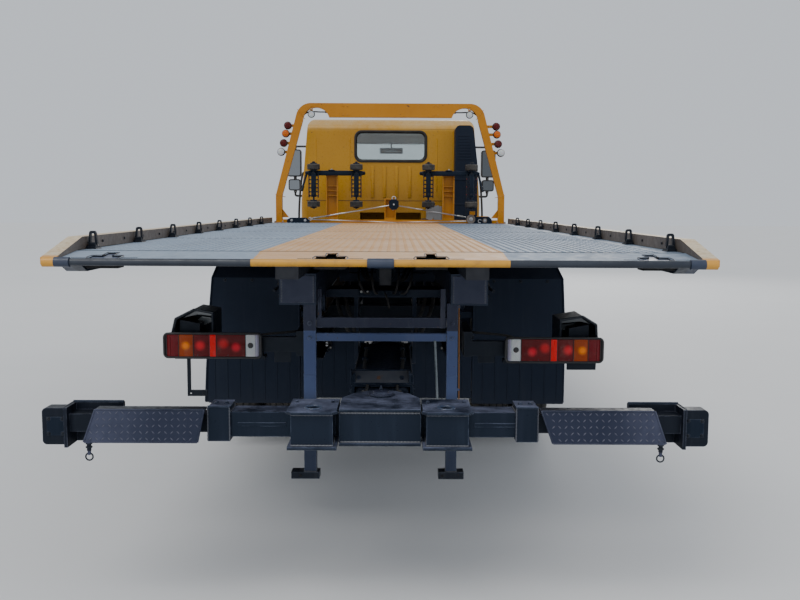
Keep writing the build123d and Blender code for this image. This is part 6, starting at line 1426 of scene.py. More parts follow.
# pale release rod under the tie bar; beside the right leg a thin orange-brown rod, a painted highlight on the leg's lit
# right edge
legs.rod((0.2270, LGY - 0.0225, 0.824), (0.2405, LGY - 0.0225, 0.545), 0.0056, 12, 3, chamfer=0.001)
legs.rod((0.3315, LGY - 0.02, 0.988), (0.3355, LGY - 0.02, 0.56), 0.0024, 8, 4, chamfer=0.0005)
for z in (0.60, 0.97):
    legs.box((0.3255, LGY - 0.0225, z), (0.3375, LGY - 0.017, z + 0.010), 0.001, 1, 0)
legs.piece("leg_detail", "tilt_frame", "leg_blue", [LEG, BEAD, POCKET_SHADE, PALE_ROD, LEG_EDGE_HIGHLIGHT], 32)

# chromed rod seals and gland nuts of the lift cylinders and the slide cylinder
cyl = Shape()
A, B = Vector((0, -0.8, 0.58)), Vector((0, -1.35, 0.9))
D = (B - A).normalized()
for s in (-1, 1):
    o = Vector((s * 0.2, 0, 0)) + A
    for t, r, w in ((0.505, 0.05, 0.03), (0.09, 0.049, 0.02)):
        cyl.lathe([(0, 0.0455), (0, r), (w, r), (w, 0.0455)], o + D * t, D, 28, 0, closed=True)
    for t, z in ((0.14, 1), (0.46, 1)):
        q = o + D * t
        u = Vector((0, -D.z, D.y))
        cyl.rod(q + u * 0.04, q + u * 0.068, 0.011, 10, 1)
        cyl.tube(smooth_path([q + u * 0.066, q + u * 0.085 + D * 0.02, q + u * 0.075 + D * 0.1, q + u * 0.052 + D * 0.16], 6), 0.007, 8, 2)
    for k in range(6):
        g = 2 * math.pi * k / 6
        u, w = frame_of(D)
        cyl.bolt(o + D * 0.535 + (u * math.cos(g) + w * math.sin(g)) * 0.037, D, 0.005, 0.005, 1, washer=False)
cyl.piece("lift_cylinder_detail", "lift_barrels", "frame_navy", [NAVY, ZINC, HOSE])
sc = Shape()
for y, w in ((TAIL + 1.7, 0.03), (TAIL + 2.1, 0.012), (TAIL + 4.96, 0.03)):
    sc.lathe([(0, 0.0455), (0, 0.0515), (w, 0.0515), (w, 0.0455)], (0, y, 1.06), (0, 1, 0), 28, 0, closed=True)
for y in (-1.35, -0.56, 0.24, 1.04):
    sc.lathe([(-0.016, 0.0455), (-0.016, 0.0485), (0.016, 0.0485), (0.016, 0.0455)], (0, y, 1.06), (0, 1, 0), 28, 1, closed=True)
    for s in (-1, 1):
        sc.bolt((s * 0.042, y, 1.03), (s, 0, 0), 0.006, 0.005, 1, washer=False)
for y in (TAIL + 1.78, TAIL + 4.92):
    sc.rod((0.03, y, 1.085), (0.05, y, 1.105), 0.01, 10, 1)
    sc.tube(smooth_path([(0.048, y, 1.103), (0.07, y + 0.02, 1.11), (0.1, y + 0.04, 1.085), (0.115, y + 0.1, 1.075)], 6), 0.007, 8, 2)
sc.piece("slide_cylinder_detail", "tilt_frame", "frame_navy", [NAVY, ZINC, HOSE])


# ------------------------------------------------------------------ wheels
def tyre(shape, x, y, lugs=46, mat=0):
    """Tyre with grooved tread and cut shoulders, axis along x, centre at (x, y, 0.4)."""
    half = [(0.075, 0.206, 0), (0.078, 0.214, 0), (0.075, 0.226, 0), (0.0835, 0.236, 0), (0.0875, 0.2375, 0), (0.0905, 0.246, 0), (0.097, 0.262, 0),
            (0.0985, 0.27, 0), (0.1005, 0.2735, 0), (0.1005, 0.279, 0), (0.0992, 0.283, 0), (0.1, 0.305, 0), (0.0975, 0.336, 0),
            (0.0995, 0.3395, 0), (0.0992, 0.345, 0), (0.0965, 0.348, 0), (0.0935, 0.366, 0.5), (0.0885, 0.379, 1), (0.080, 0.3905, 1), (0.066, 0.3985, 1),
            (0.0605, 0.3995, 0.6), (0.0585, 0.3895, 0), (0.0535, 0.3895, 0), (0.0515, 0.3997, 0.3), (0.0255, 0.4, 0.3), (0.0235, 0.389, 0), (0.0175, 0.389, 0), (0.0155, 0.4, 0)]
    prof = [(-a, r, c) for a, r, c in half] + [(a, r, c) for a, r, c in reversed(half)]
    n = lugs * 4
    base = len(shape.v)
    for i in range(n):
        step, lug = i % 4, i // 4
        # two stations on the block and two in the cut beside it
        t = (lug + (0.03, 0.66, 0.70, 0.99)[step]) / lugs
        cut = step >= 2
        g = 2 * math.pi * t
        for a, r, c in prof:
            rr = r - (0.0095 * c if cut else 0.0)
            shift = (0.006 if a > 0 else -0.006) * (1 if r > 0.38 else 0)
            gg = g + shift
            shape.v.append((x + a, y + rr * math.cos(gg), 0.4 + rr * math.sin(gg)))
    m = len(prof)
    for i in range(n):
        p, q = base + i * m, base + ((i + 1) % n) * m
        for j in range(m - 1):
            shape.f.append((p + j, p + j + 1, q + j + 1, q + j))
            shape.m.append(mat)
        shape.f.append((p + m - 1, p, q, q + m - 1))
        shape.m.append(mat)


for side, s in SIDES:
    t = Shape()
    tyre(t, s * 0.82, 2.92)
    ob = t.piece("front_tyre_%s_tread" % side, "front_wheel_" + side, "tyre", [TYRE], 32)
    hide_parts("front_tyre_" + side)
    t = Shape()
    for x in (0.65, 0.89):
        tyre(t, s * x, -1.13)
    ob = t.piece("rear_tyres_%s_tread" % side, "rear_wheels_" + side, "tyre", [TYRE], 32)
    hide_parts("rear_tyres_" + side)

    # front wheel: ten nuts with caps, hub ribs, bright ring, valve, balance weight
    w = Shape()
    for k in range(10):
        a = 2 * math.pi * k / 10
        p = (s * 0.882, 2.92 + 0.094 * math.cos(a), 0.4 + 0.094 * math.sin(a))
        w.lathe([(0, 0.0125), (0.003, 0.0125)], p, (s, 0, 0), 14, 1)
        w.lathe([(0.002, 0.0098), (0.016, 0.0098), (0.018, 0.008), (0.018, 0.0)], p, (s, 0, 0), 6, 1)
        w.rod(p, (p[0] + s * 0.024, p[1], p[2]), 0.0055, 10, 3)
    for k in range(8):
        a = 2 * math.pi * (k + 0.5) / 8
        w.bolt((s * 0.917, 2.92 + 0.034 * math.cos(a), 0.4 + 0.034 * math.sin(a)), (s, 0, 0), 0.0048, 0.004, 1, washer=False)
    w.lathe([(0, 0.030), (0.003, 0.030), (0.005, 0.026), (0.005, 0)], (s * 0.918, 2.92, 0.4), (s, 0, 0), 24, 0)
    w.tube([(s * 0.868, 2.92, 0.4 + 0.178), (s * 0.885, 2.92, 0.4 + 0.182), (s * 0.902, 2.92, 0.4 + 0.187)], 0.0042, 8, 2)
    w.box((s * 0.899, 2.92 - 0.03, 0.4 - 0.2195), (s * 0.905, 2.92 + 0.03, 0.4 - 0.2125), 0.002, 1, 3)
    w.lathe([(-0.002, 0.2225), (0.0015, 0.2235), (0.0015, 0.2165), (-0.002, 0.216)], (s * 0.903, 2.92, 0.4), (s, 0, 0), 48, 0, closed=True)
    w.piece("front_wheel_%s_nuts" % side, "front_wheel_" + side, "rim", [RIM, ZINC, SEALS, RUSTY], 32)
    # rear wheel: nuts inside the deep dish, axle flange bolts, ring
    w = Shape()
    for k in range(10):
        a = 2 * math.pi * k / 10
        p = (s * 0.842, -1.13 + 0.0975 * math.cos(a), 0.4 + 0.0975 * math.sin(a))
        w.lathe([(0, 0.0095), (0.016, 0.0095), (0.018, 0.008), (0.018, 0.0)], p, (s, 0, 0), 6, 1)
        w.rod(p, (p[0] + s * 0.025, p[1], p[2]), 0.0055, 10, 3)
        w.bolt((s * 0.9045, -1.13 + 0.066 * math.cos(a), 0.4 + 0.066 * math.sin(a)), (s, 0, 0), 0.0062, 0.005, 1, washer=False)
    w.lathe([(0, 0.036), (0.005, 0.036), (0.008, 0.03), (0.008, 0)], (s * 0.905, -1.13, 0.4), (s, 0, 0), 28, 0)
    w.tube([(s * 0.862, -1.13, 0.4 + 0.176), (s * 0.90, -1.13, 0.4 + 0.172), (s * 0.935, -1.13, 0.4 + 0.170)], 0.0042, 8, 2)
    w.lathe([(-0.002, 0.2225), (0.0015, 0.2235), (0.0015, 0.2165), (-0.002, 0.216)], (s * 0.973, -1.13, 0.4), (s, 0, 0), 48, 0, closed=True)
    for k in range(20):
        a = 2 * math.pi * k / 20
        q = Vector((s * 0.6, -1.13 + 0.172 * math.cos(a), 0.4 + 0.172 * math.sin(a)))
        w.rod(q + Vector((-s * 0.055, 0, 0)), q + Vector((s * 0.05, 0, 0)), 0.004, 6, 4)
    w.piece("rear_wheels_%s_nuts" % side, "rear_wheels_" + side, "rim", [RIM, ZINC, SEALS, RUSTY, CAST], 32)

    # steering knuckle: king-pin caps with nipples, back plate, brake chamber, arm joint
    k = Shape()
    for z, d in ((0.475, 1), (0.325, -1)):
        k.lathe([(0, 0.03), (0.004, 0.03), (0.006, 0.022), (0.006, 0)], (s * 0.67, 2.92, z), (0, 0, d), 24, 0)
        for q in range(3):
            a = 2 * math.pi * q / 3
            k.bolt((s * 0.67 + 0.024 * math.cos(a), 2.92 + 0.024 * math.sin(a), z + d * 0.004), (0, 0, d), 0.004, 0.004, 1, washer=False)
        k.rod((s * 0.67, 2.92, z), (s * 0.67, 2.92, z + d * 0.016), 0.0035, 8, 1)
    k.lathe([(0, 0.04), (0, 0.148), (0.003, 0.152), (0.006, 0.148), (0.006, 0.05)], (s * 0.738, 2.92, 0.4), (s, 0, 0), 36, 2)
    k.lathe([(0, 0.02), (0.0, 0.042), (0.01, 0.045), (0.028, 0.048), (0.03, 0.051), (0.036, 0.051), (0.038, 0.047), (0.06, 0.042), (0.066, 0.0)],
            (s * 0.725, 3.0, 0.52), (-s * 0.25, 0.96, 0.1), 28, 0)
    k.lathe([(0, 0.014), (0.01, 0.018), (0.026, 0.018), (0.03, 0.012)], (s * 0.672, 2.745, 0.352), (0, 0, 1), 18, 2)
    k.bolt((s * 0.672, 2.745, 0.328), (0, 0, -1), 0.01, 0.009, 1)
    k.piece("knuckle_%s_detail" % side, "front_knuckle_" + side, "frame_black", [BLACK, ZINC, CAST], 32)

# ------------------------------------------------------------------ chassis
ch = Shape()
for s in (-1, 1):
    # rivet and bolt rows on the side members, cross member brackets, spring hangers
    for k in range(40):
        y = -2.35 + k * 0.15
        for z in (0.69, 0.83):
            ch.lathe([(0, 0.0095), (0.004, 0.0085), (0.0065, 0.004), (0.007, 0)], (s * 0.38, y, z), (s, 0, 0), 10, 0)
    for y in (-1.75, -0.67, 0.15, 0.95, 1.78, 3.56):
        for z in (0.72, 0.77, 0.82):
            for u in (-0.03, 0.03):
                ch.bolt((s * 0.38, y + u, z), (s, 0, 0), 0.008, 0.007, 1)
    for y in (-1.75, -0.51, 2.36, 3.48):
        ch.box((s * 0.3805, y - 0.045, 0.66), (s * 0.394, y + 0.045, 0.80), 0.004, 1, 0)
        for z in (0.69, 0.775):
            for u in (-0.028, 0.028):
                ch.bolt((s * 0.394, y + u, z), (s, 0, 0), 0.008, 0.007, 1)
    # spring bolts at the eyes, U-bolts and plates over the axles, dampers
    for yc, half, zt, z0, z1 in ((2.92, 0.56, 0.594, 0.33, 0.475), (-1.13, 0.62, 0.604, 0.335, 0.545)):
        for e in (-1, 1):
            ch.rod((s * 0.315, yc + e * half, zt), (s * 0.405, yc + e * half, zt), 0.011, 12, 1, chamfer=0.002)
        for u in (-0.05, 0.05):
            ch.tube([(s * 0.318, yc + u, z0), (s * 0.318, yc + u, z1 - 0.01), (s * 0.325, yc + u, z1 + 0.004), (s * 0.395, yc + u, z1 + 0.004),
                     (s * 0.402, yc + u, z1 - 0.01), (s * 0.402, yc + u, z0)], 0.008, 8, 1)
            for x in (0.318, 0.402):
                ch.bolt((s * x, yc + u, z0 + 0.004), (0, 0, -1), 0.011, 0.01, 1)
        ch.box((s * 0.312, yc - 0.068, z0 - 0.002 if yc > 0 else z0), (s * 0.408, yc + 0.068, z0 + 0.012), 0.003, 1, 0)
        # clips round the leaves
        for e in (-0.32, 0.32):
            zm = 0.47 + (0.6 - 0.47) * (0.32 / 0.56) ** 2 if yc > 0 else 0.54 + 0.07 * (0.32 / 0.62) ** 2
            ch.box((s * 0.322, yc + e - 0.014, zm - 0.062), (s * 0.398, yc + e + 0.014, zm + 0.004), 0.002, 1, 0)
    # dampers
    for y0, z0, y1, z1 in ((2.86, 0.40, 2.60, 0.74), (-1.05, 0.40, -0.86, 0.74)):
        a, b = Vector((s * 0.43, y0, z0)), Vector((s * 0.43, y1, z1))
        ch.rod(a, a + (b - a) * 0.55, 0.026, 18, 0, chamfer=0.004)
        ch.rod(a + (b - a) * 0.5, b, 0.032, 18, 0, chamfer=0.004)
        for q in (a, b):
            ch.lathe([(-0.018, 0.008), (-0.018, 0.022), (0.018, 0.022), (0.018, 0.008)], q, (1, 0, 0), 18, 5, closed=True)
            ch.rod(q + Vector((-s * 0.05, 0, 0)), q + Vector((s * 0.03, 0, 0)), 0.009, 10, 1)
# brake pipes and the wiring loom along the left member, clipped
for i, (x, z, r) in enumerate(((-0.30, 0.70, 0.005), (-0.30, 0.714, 0.005), (-0.295, 0.74, 0.012))):
    ch.tube(smooth_path([(x, -2.3, z), (x, -1.2, z), (x - 0.0, 0.3, z), (x, 1.5, z), (x, 2.2, z + 0.01)], 4), r, 8, 2 if i == 2 else 4)
for k in range(10):
    y = -2.2 + k * 0.48
    ch.box((-0.312, y - 0.008, 0.692), (-0.281, y + 0.008, 0.756), 0.002, 1, 5)
ch.piece("chassis_detail", "chassis", "frame_black", [BLACK, ZINC, HOSE, BEAD, STEEL, SEALS], 32)

# axle casing ribs, cover bolts, brake chambers; front axle pads
ax = Shape()
for k in range(12):
    a = 2 * math.pi * k / 12
    ax.bolt((0.15 * math.cos(a), -1.192, 0.4 + 0.15 * math.sin(a)), (0, -1, 0), 0.0075, 0.006, 1)
    ax.bolt((0.152 * math.cos(a), -1.068, 0.4 + 0.152 * math.sin(a)), (0, 1, 0), 0.0075, 0.006, 1)
ax.lathe([(0, 0.168), (0.008, 0.168), (0.008, 0.15), (0, 0.15)], (0, -1.196, 0.4), (0, 1, 0), 48, 0, closed=True)
ax.lathe([(0, 0.02), (0.006, 0.018), (0.008, 0.0)], (0, -1.254, 0.36), (0, -1, 0), 8, 1)
for s in (-1, 1):
    for x in (0.22, 0.46):
        ax.lathe([(-0.008, 0.0575), (-0.008, 0.064), (0.008, 0.064), (0.008, 0.0575)], (s * x, -1.13, 0.4), (1, 0, 0), 32, 0, closed=True)
    o, d = Vector((s * 0.44, -1.28, 0.43)), Vector((s * 0.2, -0.96, 0.1))
    ax.lathe([(-0.09, 0.0), (-0.085, 0.05), (-0.045, 0.066), (-0.04, 0.072), (-0.03, 0.072), (-0.025, 0.064), (0.03, 0.064), (0.035, 0.07),
              (0.045, 0.07), (0.05, 0.06), (0.09, 0.045), (0.095, 0.0)], o, d, 32, 0)
    ax.box((s * 0.42, -1.22, 0.36), (s * 0.46, -1.17, 0.48), 0.004, 1, 0)
    ax.rod((s * 0.46, -1.19, 0.41), (s * 0.50, -1.15, 0.44), 0.012, 10, 1)
    for u in (0.01, -0.02):
        ax.tube(smooth_path([(s * 0.44, -1.30 + u, 0.495), (s * 0.42, -1.3 + u, 0.56), (s * 0.36, -1.28, 0.64), (s * 0.31, -1.2, 0.70)], 6), 0.007, 8, 2)
    ax.bolt((s * 0.486, -1.13, 0.55), (s, 0, 0), 0.008, 0.006, 1)
    # front axle: spring pads and stop bolts
    ax.box((s * 0.318, 2.86, 0.408), (s * 0.402, 2.98, 0.4145), 0.002, 1, 0)
    ax.bolt((s * 0.59, 2.952, 0.41), (0, 1, 0), 0.009, 0.012, 1)
    ax.bolt((s * 0.52, 2.952, 0.38), (0, 1, 0), 0.008, 0.006, 1)
ax.piece("axle_detail", "chassis", "frame_black", [BLACK, ZINC, HOSE], 32)

# propeller shaft: yokes, crosses, gaiter; gearbox ribs; engine covers, fan, pulleys, manifold
en = Shape()
a, b = Vector((0, 1.795, 0.614)), Vector((0, -0.884, 0.426))
d = (b - a).normalized()
for t in (0.03, (b - a).length - 0.06):
    q = a + d * t
    en.lathe([(-0.03, 0.042), (-0.024, 0.052), (0.02, 0.052), (0.026, 0.042)], q, d, 28, 0)
    for u in frame_of(d):
        en.rod(q - u * 0.06, q + u * 0.06, 0.016, 14, 1, chamfer=0.003)
for t in (0.14, 2.3):
    en.lathe([(0, 0.0425), (0, 0.046), (0.02, 0.046), (0.02, 0.0425)], a + d * t, d, 28, 3, closed=True)
en.box((0.02, 1.0, 0.604), (0.035, 1.03, 0.612), 0.001, 1, 1)
for k in range(9):
    y = 1.93 + k * 0.042
    w = 0.112 + (y - 1.88) / 0.42 * 0.09
    h = 0.102 + (y - 1.88) / 0.42 * 0.05
    en.prism(round_rect(0, 0.63 + (y - 1.88) / 0.42 * 0.01, 2 * w + 0.006, 2 * h + 0.006, 0.05, 4), y, y + 0.006, "y", 3, 0)
for k in range(10):
    g = 2 * math.pi * k / 10
    en.bolt((0.185 * math.cos(g), 2.296, 0.64 + 0.138 * math.sin(g)), (0, -1, 0), 0.0075, 0.006, 1)
for z in (0.64, 0.76, 0.90, 1.04):
    en.box((-0.256, 2.31, z), (0.256, 3.17, z + 0.012), 0.003, 1, 3)
for s in (-1, 1):
    for k in range(7):
        y = 2.38 + k * 0.12
        en.box((s * 0.25, y, 0.66), (s * 0.262, y + 0.03, 0.88), 0.004, 1, 3)
        en.bolt((s * 0.262, y + 0.015, 0.87), (s, 0, 0), 0.008, 0.007, 1)
for k in range(12):
    y = 2.33 + k * 0.074
    for s in (-1, 1):
        en.bolt((s * 0.235, y, 0.559), (0, 0, -1), 0.006, 0.005, 1)
en.prism([(-0.19, 0.561), (0.19, 0.561), (0.165, 0.50), (-0.165, 0.50)], 2.42, 3.05, "y", 4, 0.012, 2)
en.bolt((0.0, 2.55, 0.50), (0, 0, -1), 0.014, 0.01, 1)
for y in (2.45, 2.62, 2.79, 2.96):
    en.box((-0.19, y, 1.099), (0.11, y + 0.12, 1.128), 0.012, 2, 4)
    en.tube(smooth_path([(0.20, y + 0.06, 1.02), (0.262, y + 0.06, 1.03), (0.285, y + 0.06, 0.98), (0.285, y + 0.06, 0.90)], 5), 0.024, 12, 5)
en.rod((0.285, 2.42, 0.90), (0.285, 3.08, 0.90), 0.032, 16, 5, chamfer=0.006)
for x, z, r in ((0.0, 0.68, 0.085), (0.0, 0.92, 0.07), (-0.15, 0.86, 0.045), (0.16, 0.80, 0.05)):
    en.lathe([(0, 0.0), (0, r), (0.006, r), (0.012, r - 0.008), (0.018, r), (0.024, r), (0.024, 0.02), (0.03, 0.02), (0.03, 0)], (x, 3.18, z), (0, 1, 0), 30, 0)
for k in range(8):
    g = 2 * math.pi * k / 8
    p0, p1 = Vector((0.04 * math.cos(g), 3.235, 0.92 + 0.04 * math.sin(g))), Vector((0.20 * math.cos(g), 3.24, 0.92 + 0.20 * math.sin(g)))
    t = Vector((-math.sin(g), 0, math.cos(g))) * 0.03
    y = Vector((0, 0.022, 0))
    en.add([p0 - t * 0.6 - y * 0.5, p0 + t * 0.6 + y * 0.5, p1 + t + y * 0.6, p1 - t - y * 0.6,
            p0 - t * 0.6 - y * 0.5 + Vector((0, 0.004, 0)), p0 + t * 0.6 + y * 0.5 + Vector((0, 0.004, 0)), p1 + t + y * 0.6 + Vector((0, 0.004, 0)), p1 - t - y * 0.6 + Vector((0, 0.004, 0))],
           [(0, 1, 2, 3), (7, 6, 5, 4), (0, 4, 5, 1), (1, 5, 6, 2), (2, 6, 7, 3), (3, 7, 4, 0)], 6)
en.lathe([(0, 0.045), (0.03, 0.045), (0.034, 0.03), (0.034, 0)], (0, 3.212, 0.92), (0, 1, 0), 24, 6)
en.piece("engine_and_shaft_detail", "chassis", "cast", [BLACK, ZINC, HOSE, CAST, CAST, RUSTY, PLASTIC], 35)

# ------------------------------------------------------------------ tanks and boxes
tk = Shape()
for y in (0.56, 1.42):
    e = -1 if y < 1 else 1
    tk.prism(round_rect(0.645, 0.61, 0.37, 0.32, 0.05, 5), y + e * 0.0, y + e * 0.004, "y", 0, 0.001)
    tk.tube([(x, y + e * 0.001, z) for x, z in round_rect(0.645, 0.61, 0.427, 0.377, 0.058, 6)], 0.004, 6, 0, closed=True)
tk.lathe([(0, 0.045), (0.02, 0.045), (0.022, 0.05), (0.04, 0.05), (0.046, 0.042), (0.046, 0)], (0.80, 1.0, 0.775), (0.5, 0, 0.86), 28, 2)
tk.tube(smooth_path([(0.824, 1.0, 0.83), (0.85, 1.03, 0.80), (0.855, 1.05, 0.74)], 5), 0.0025, 6, 1)
for y in (0.64, 1.29):
    for x, z in ((0.43, 0.72), (0.867, 0.612)):
        tk.bolt((x if x > 0.5 else 0.426, y + 0.025, z), (1 if x > 0.5 else -1, 0, 0), 0.008, 0.008, 1)
    tk.rod((0.62, y + 0.025, 0.808), (0.68, y + 0.025, 0.808), 0.007, 10, 1)
    tk.box((0.60, y + 0.008, 0.8055), (0.615, y + 0.042, 0.818), 0.002, 1, 3)
    tk.box((0.685, y + 0.008, 0.8055), (0.70, y + 0.042, 0.818), 0.002, 1, 3)
    # rubber under the straps
    tk.prism(round_rect(0.645, 0.61, 0.434, 0.384, 0.062, 6), y - 0.004, y + 0.0, "y", 4, 0)
    tk.prism(round_rect(0.645, 0.61, 0.434, 0.384, 0.062, 6), y + 0.05, y + 0.054, "y", 4, 0)
tk.rod((0.56, 0.75, 0.80), (0.56, 0.75, 0.825), 0.024, 18, 1, chamfer=0.003)
tk.tube(smooth_path([(0.56, 0.75, 0.824), (0.54, 0.76, 0.85), (0.48, 0.78, 0.85), (0.41, 0.8, 0.82), (0.392, 0.84, 0.78)], 6), 0.006, 8, 4)
for k in range(4):
    tk.box((0.8595, 0.60 + k * 0.005, 0.47 + k * 0.085), (0.8625, 1.38 - k * 0.005, 0.478 + k * 0.085), 0.0012, 1, 0)
tk.piece("fuel_tank_detail", "chassis", "tank_alloy", [ALLOY, ZINC, PLASTIC, BLACK, SEALS], 32)

bx = Shape()
for k in range(5):
    z = 0.49 + k * 0.055
    bx.box((-0.866, 0.92, z), (-0.858, 1.42, z + 0.022), 0.0035, 2, 0)
for y in (1.0, 1.34):
    bx.box((-0.880, y - 0.02, 0.72), (-0.869, y + 0.02, 0.80), 0.004, 1, 1)
    bx.tube([(-0.882, y - 0.012, 0.74), (-0.889, y, 0.725), (-0.882, y + 0.012, 0.74)], 0.0032, 6, 1)
    bx.bolt((-0.88, y, 0.785), (-1, 0, 0), 0.006, 0.005, 1)
bx.tube([(-0.871, 0.872, 0.7925), (-0.871, 1.468, 0.7925)], 0.003, 6, 0)
for y in (0.88, 1.46):
    e = -1 if y < 1 else 1
    for z in (0.52, 0.62, 0.72):
        bx.box((-0.82, y, z), (-0.47, y + e * 0.005, z + 0.03), 0.002, 1, 0)
bx.tube(smooth_path([(-0.45, 1.05, 0.79), (-0.42, 1.05, 0.82), (-0.39, 1.08, 0.80), (-0.385, 1.2, 0.76)], 6), 0.009, 8, 2)
bx.tube(smooth_path([(-0.45, 1.25, 0.79), (-0.42, 1.26, 0.83), (-0.39, 1.3, 0.80), (-0.385, 1.45, 0.74)], 6), 0.009, 8, 3)
for x in (-0.8, -0.65, -0.5):
    for y in (0.9, 1.44):
        bx.bolt((x, y, 0.815), (0, 0, 1), 0.006, 0.005, 1)
bx.box((-0.86, 0.9, 0.8145), (-0.44, 1.44, 0.8205), 0.003, 1, 0)
bx.piece("battery_box_detail", "chassis", "frame_black", [BLACK, ZINC, HOSE, RED_BODY], 32)

ht = Shape()
ht.lathe([(0, 0.034), (0.012, 0.036), (0.016, 0.036), (0.022, 0.03), (0.026, 0.012), (0.026, 0)], (0.40, 1.99, 1.42), (0, 0, 1), 24, 1)
ht.prism(round_rect(0.43, 2.085, 0.10, 0.085, 0.02, 4), 1.407, 1.414, "z", 0, 0.001)
for x, y in ((0.392, 2.055), (0.468, 2.055), (0.392, 2.115), (0.468, 2.115)):
    ht.bolt((x, y, 1.414), (0, 0, 1), 0.005, 0.005, 2)
ht.box((0.40, 1.928, 1.10), (0.425, 1.936, 1.30), 0.004, 2, 2)
ht.box((0.4055, 1.9265, 1.115), (0.4195, 1.929, 1.285), 0.002, 1, 3)
for z in (0.98, 1.34):
    ht.box((0.351, 1.933, z), (0.501, 1.9355, z + 0.012), 0.001, 1, 0)
for u, x in ((0, 0.375), (1, 0.425), (2, 0.475)):
    ht.lathe([(0, 0.018), (0.012, 0.018), (0.013, 0.014), (0.03, 0.014)], (x, 1.935, 0.945), (0, -1, 0), 12, 2)
    ht.tube(smooth_path([(x, 1.906, 0.945), (x, 1.88, 0.94), (x - 0.02, 1.83, 0.90), (x - 0.03, 1.80, 0.84), (0.29, 1.70 - 0.03 * u, 0.79)], 6), 0.011, 10, 4)
ht.piece("hydraulic_tank_detail", "chassis", "tank_grey", [GREY, PLASTIC, ZINC, AMBER_LENS, HOSE], 32)

# ------------------------------------------------------------------ side guards, exhaust, mudguards, front end
sg = Shape()
for s in (-1, 1):
    for y in (-0.41, 0.42, 1.56, 2.0):
        for z in (0.525, 0.565, 0.765, 0.805):
            sg.bolt((s * 0.985, y, z), (s, 0, 0), 0.0075, 0.006, 1)
        sg.bolt((s * 0.46, y - 0.0, 0.795), (0, -1, 0), 0.008, 0.02, 1)
        sg.prism([(0.93, 0.768), (0.82, 0.768), (0.93, 0.68)] if s > 0 else [(-0.93, 0.768), (-0.82, 0.768), (-0.93, 0.68)], y - 0.003, y + 0.003, "y", 0)
    for y in (-0.1, 1.0, 1.95):
        sg.box((s * 0.984, y - 0.05, 0.765), (s * 0.990, y + 0.05, 0.80), 0.003, 1, 2)
        sg.box((s * 0.9855, y - 0.046, 0.769), (s * 0.9915, y + 0.046, 0.796), 0.003, 1, 3)
    for z in (0.50, 0.74):
        for y, e in ((-0.48, -1), (2.19, 1)):
            sg.box((s * 0.958, y, z - 0.001), (s * 0.987, y + e * 0.006, z + 0.091), 0.003, 1, 2)
        sg.box((s * 0.9845, -0.47, z + 0.02), (s * 0.9875, 2.18, z + 0.026), 0.001, 1, 0)
        sg.box((s * 0.9845, -0.47, z + 0.062), (s * 0.9875, 2.18, z + 0.068), 0.001, 1, 0)
sg.piece("side_guard_detail", "chassis", "frame_black", [GREY, ZINC, PLASTIC, AMBER_LENS], 32)

exh = Shape()
for y in (1.645, 1.78, 1.92, 2.06, 2.13):
    exh.lathe([(-0.006, 0.1), (-0.005, 0.1045), (0.005, 0.1045), (0.006, 0.1)], (-0.57, y, 0.52), (0, 1, 0), 40, 0, closed=True)
for y in (1.72, 1.99):
    exh.lathe([(-0.016, 0.1005), (-0.016, 0.1035), (0.016, 0.1035), (0.016, 0.1005)], (-0.57, y, 0.52), (0, 1, 0), 40, 2, closed=True)
    exh.box((-0.585, y - 0.012, 0.618), (-0.555, y + 0.012, 0.66), 0.003, 1, 2)
    exh.bolt((-0.57, y, 0.66), (0, 0, 1), 0.007, 0.006, 1)
exh.lathe([(0, 0.0305), (0.0, 0.035), (0.03, 0.035), (0.03, 0.0305)], (-0.872, 1.56, 0.449), (-0.96, 0, -0.29), 24, 0, closed=True)
exh.lathe([(0.0, 0.025), (0.006, 0.0265), (0.006, 0.0302), (0, 0.0305)], (-0.902, 1.56, 0.4405), (-0.96, 0, -0.29), 24, 3)
for y in (1.60, 2.19):
    exh.lathe([(-0.014, 0.03), (-0.014, 0.034), (0.014, 0.034), (0.014, 0.03)], (-0.57, y, 0.52), (0, 1, 0), 24, 2, closed=True)
exh.piece("exhaust_detail", "chassis", "steel", [RUSTY, ZINC, BLACK, SEAM], 35)

mg = Shape()
EDGE = {-1: ((0.26, 1.056), (0.694, 1.034), (0.985, 1.010), (1.071, 0.986)), 1: ((0.26, 1.036), (0.668, 1.038), (1.010, 1.019), (1.071, 0.992))}


def guard_edge(s, z):
    """Outer edge of a rear mudguard at height z."""
    row = EDGE[s]
    for (z0, x0), (z1, x1) in zip(row, row[1:]):
        if z <= z1:
            return x0 + (x1 - x0) * max(0.0, z - z0) / (z1 - z0)
    return row[-1][1]


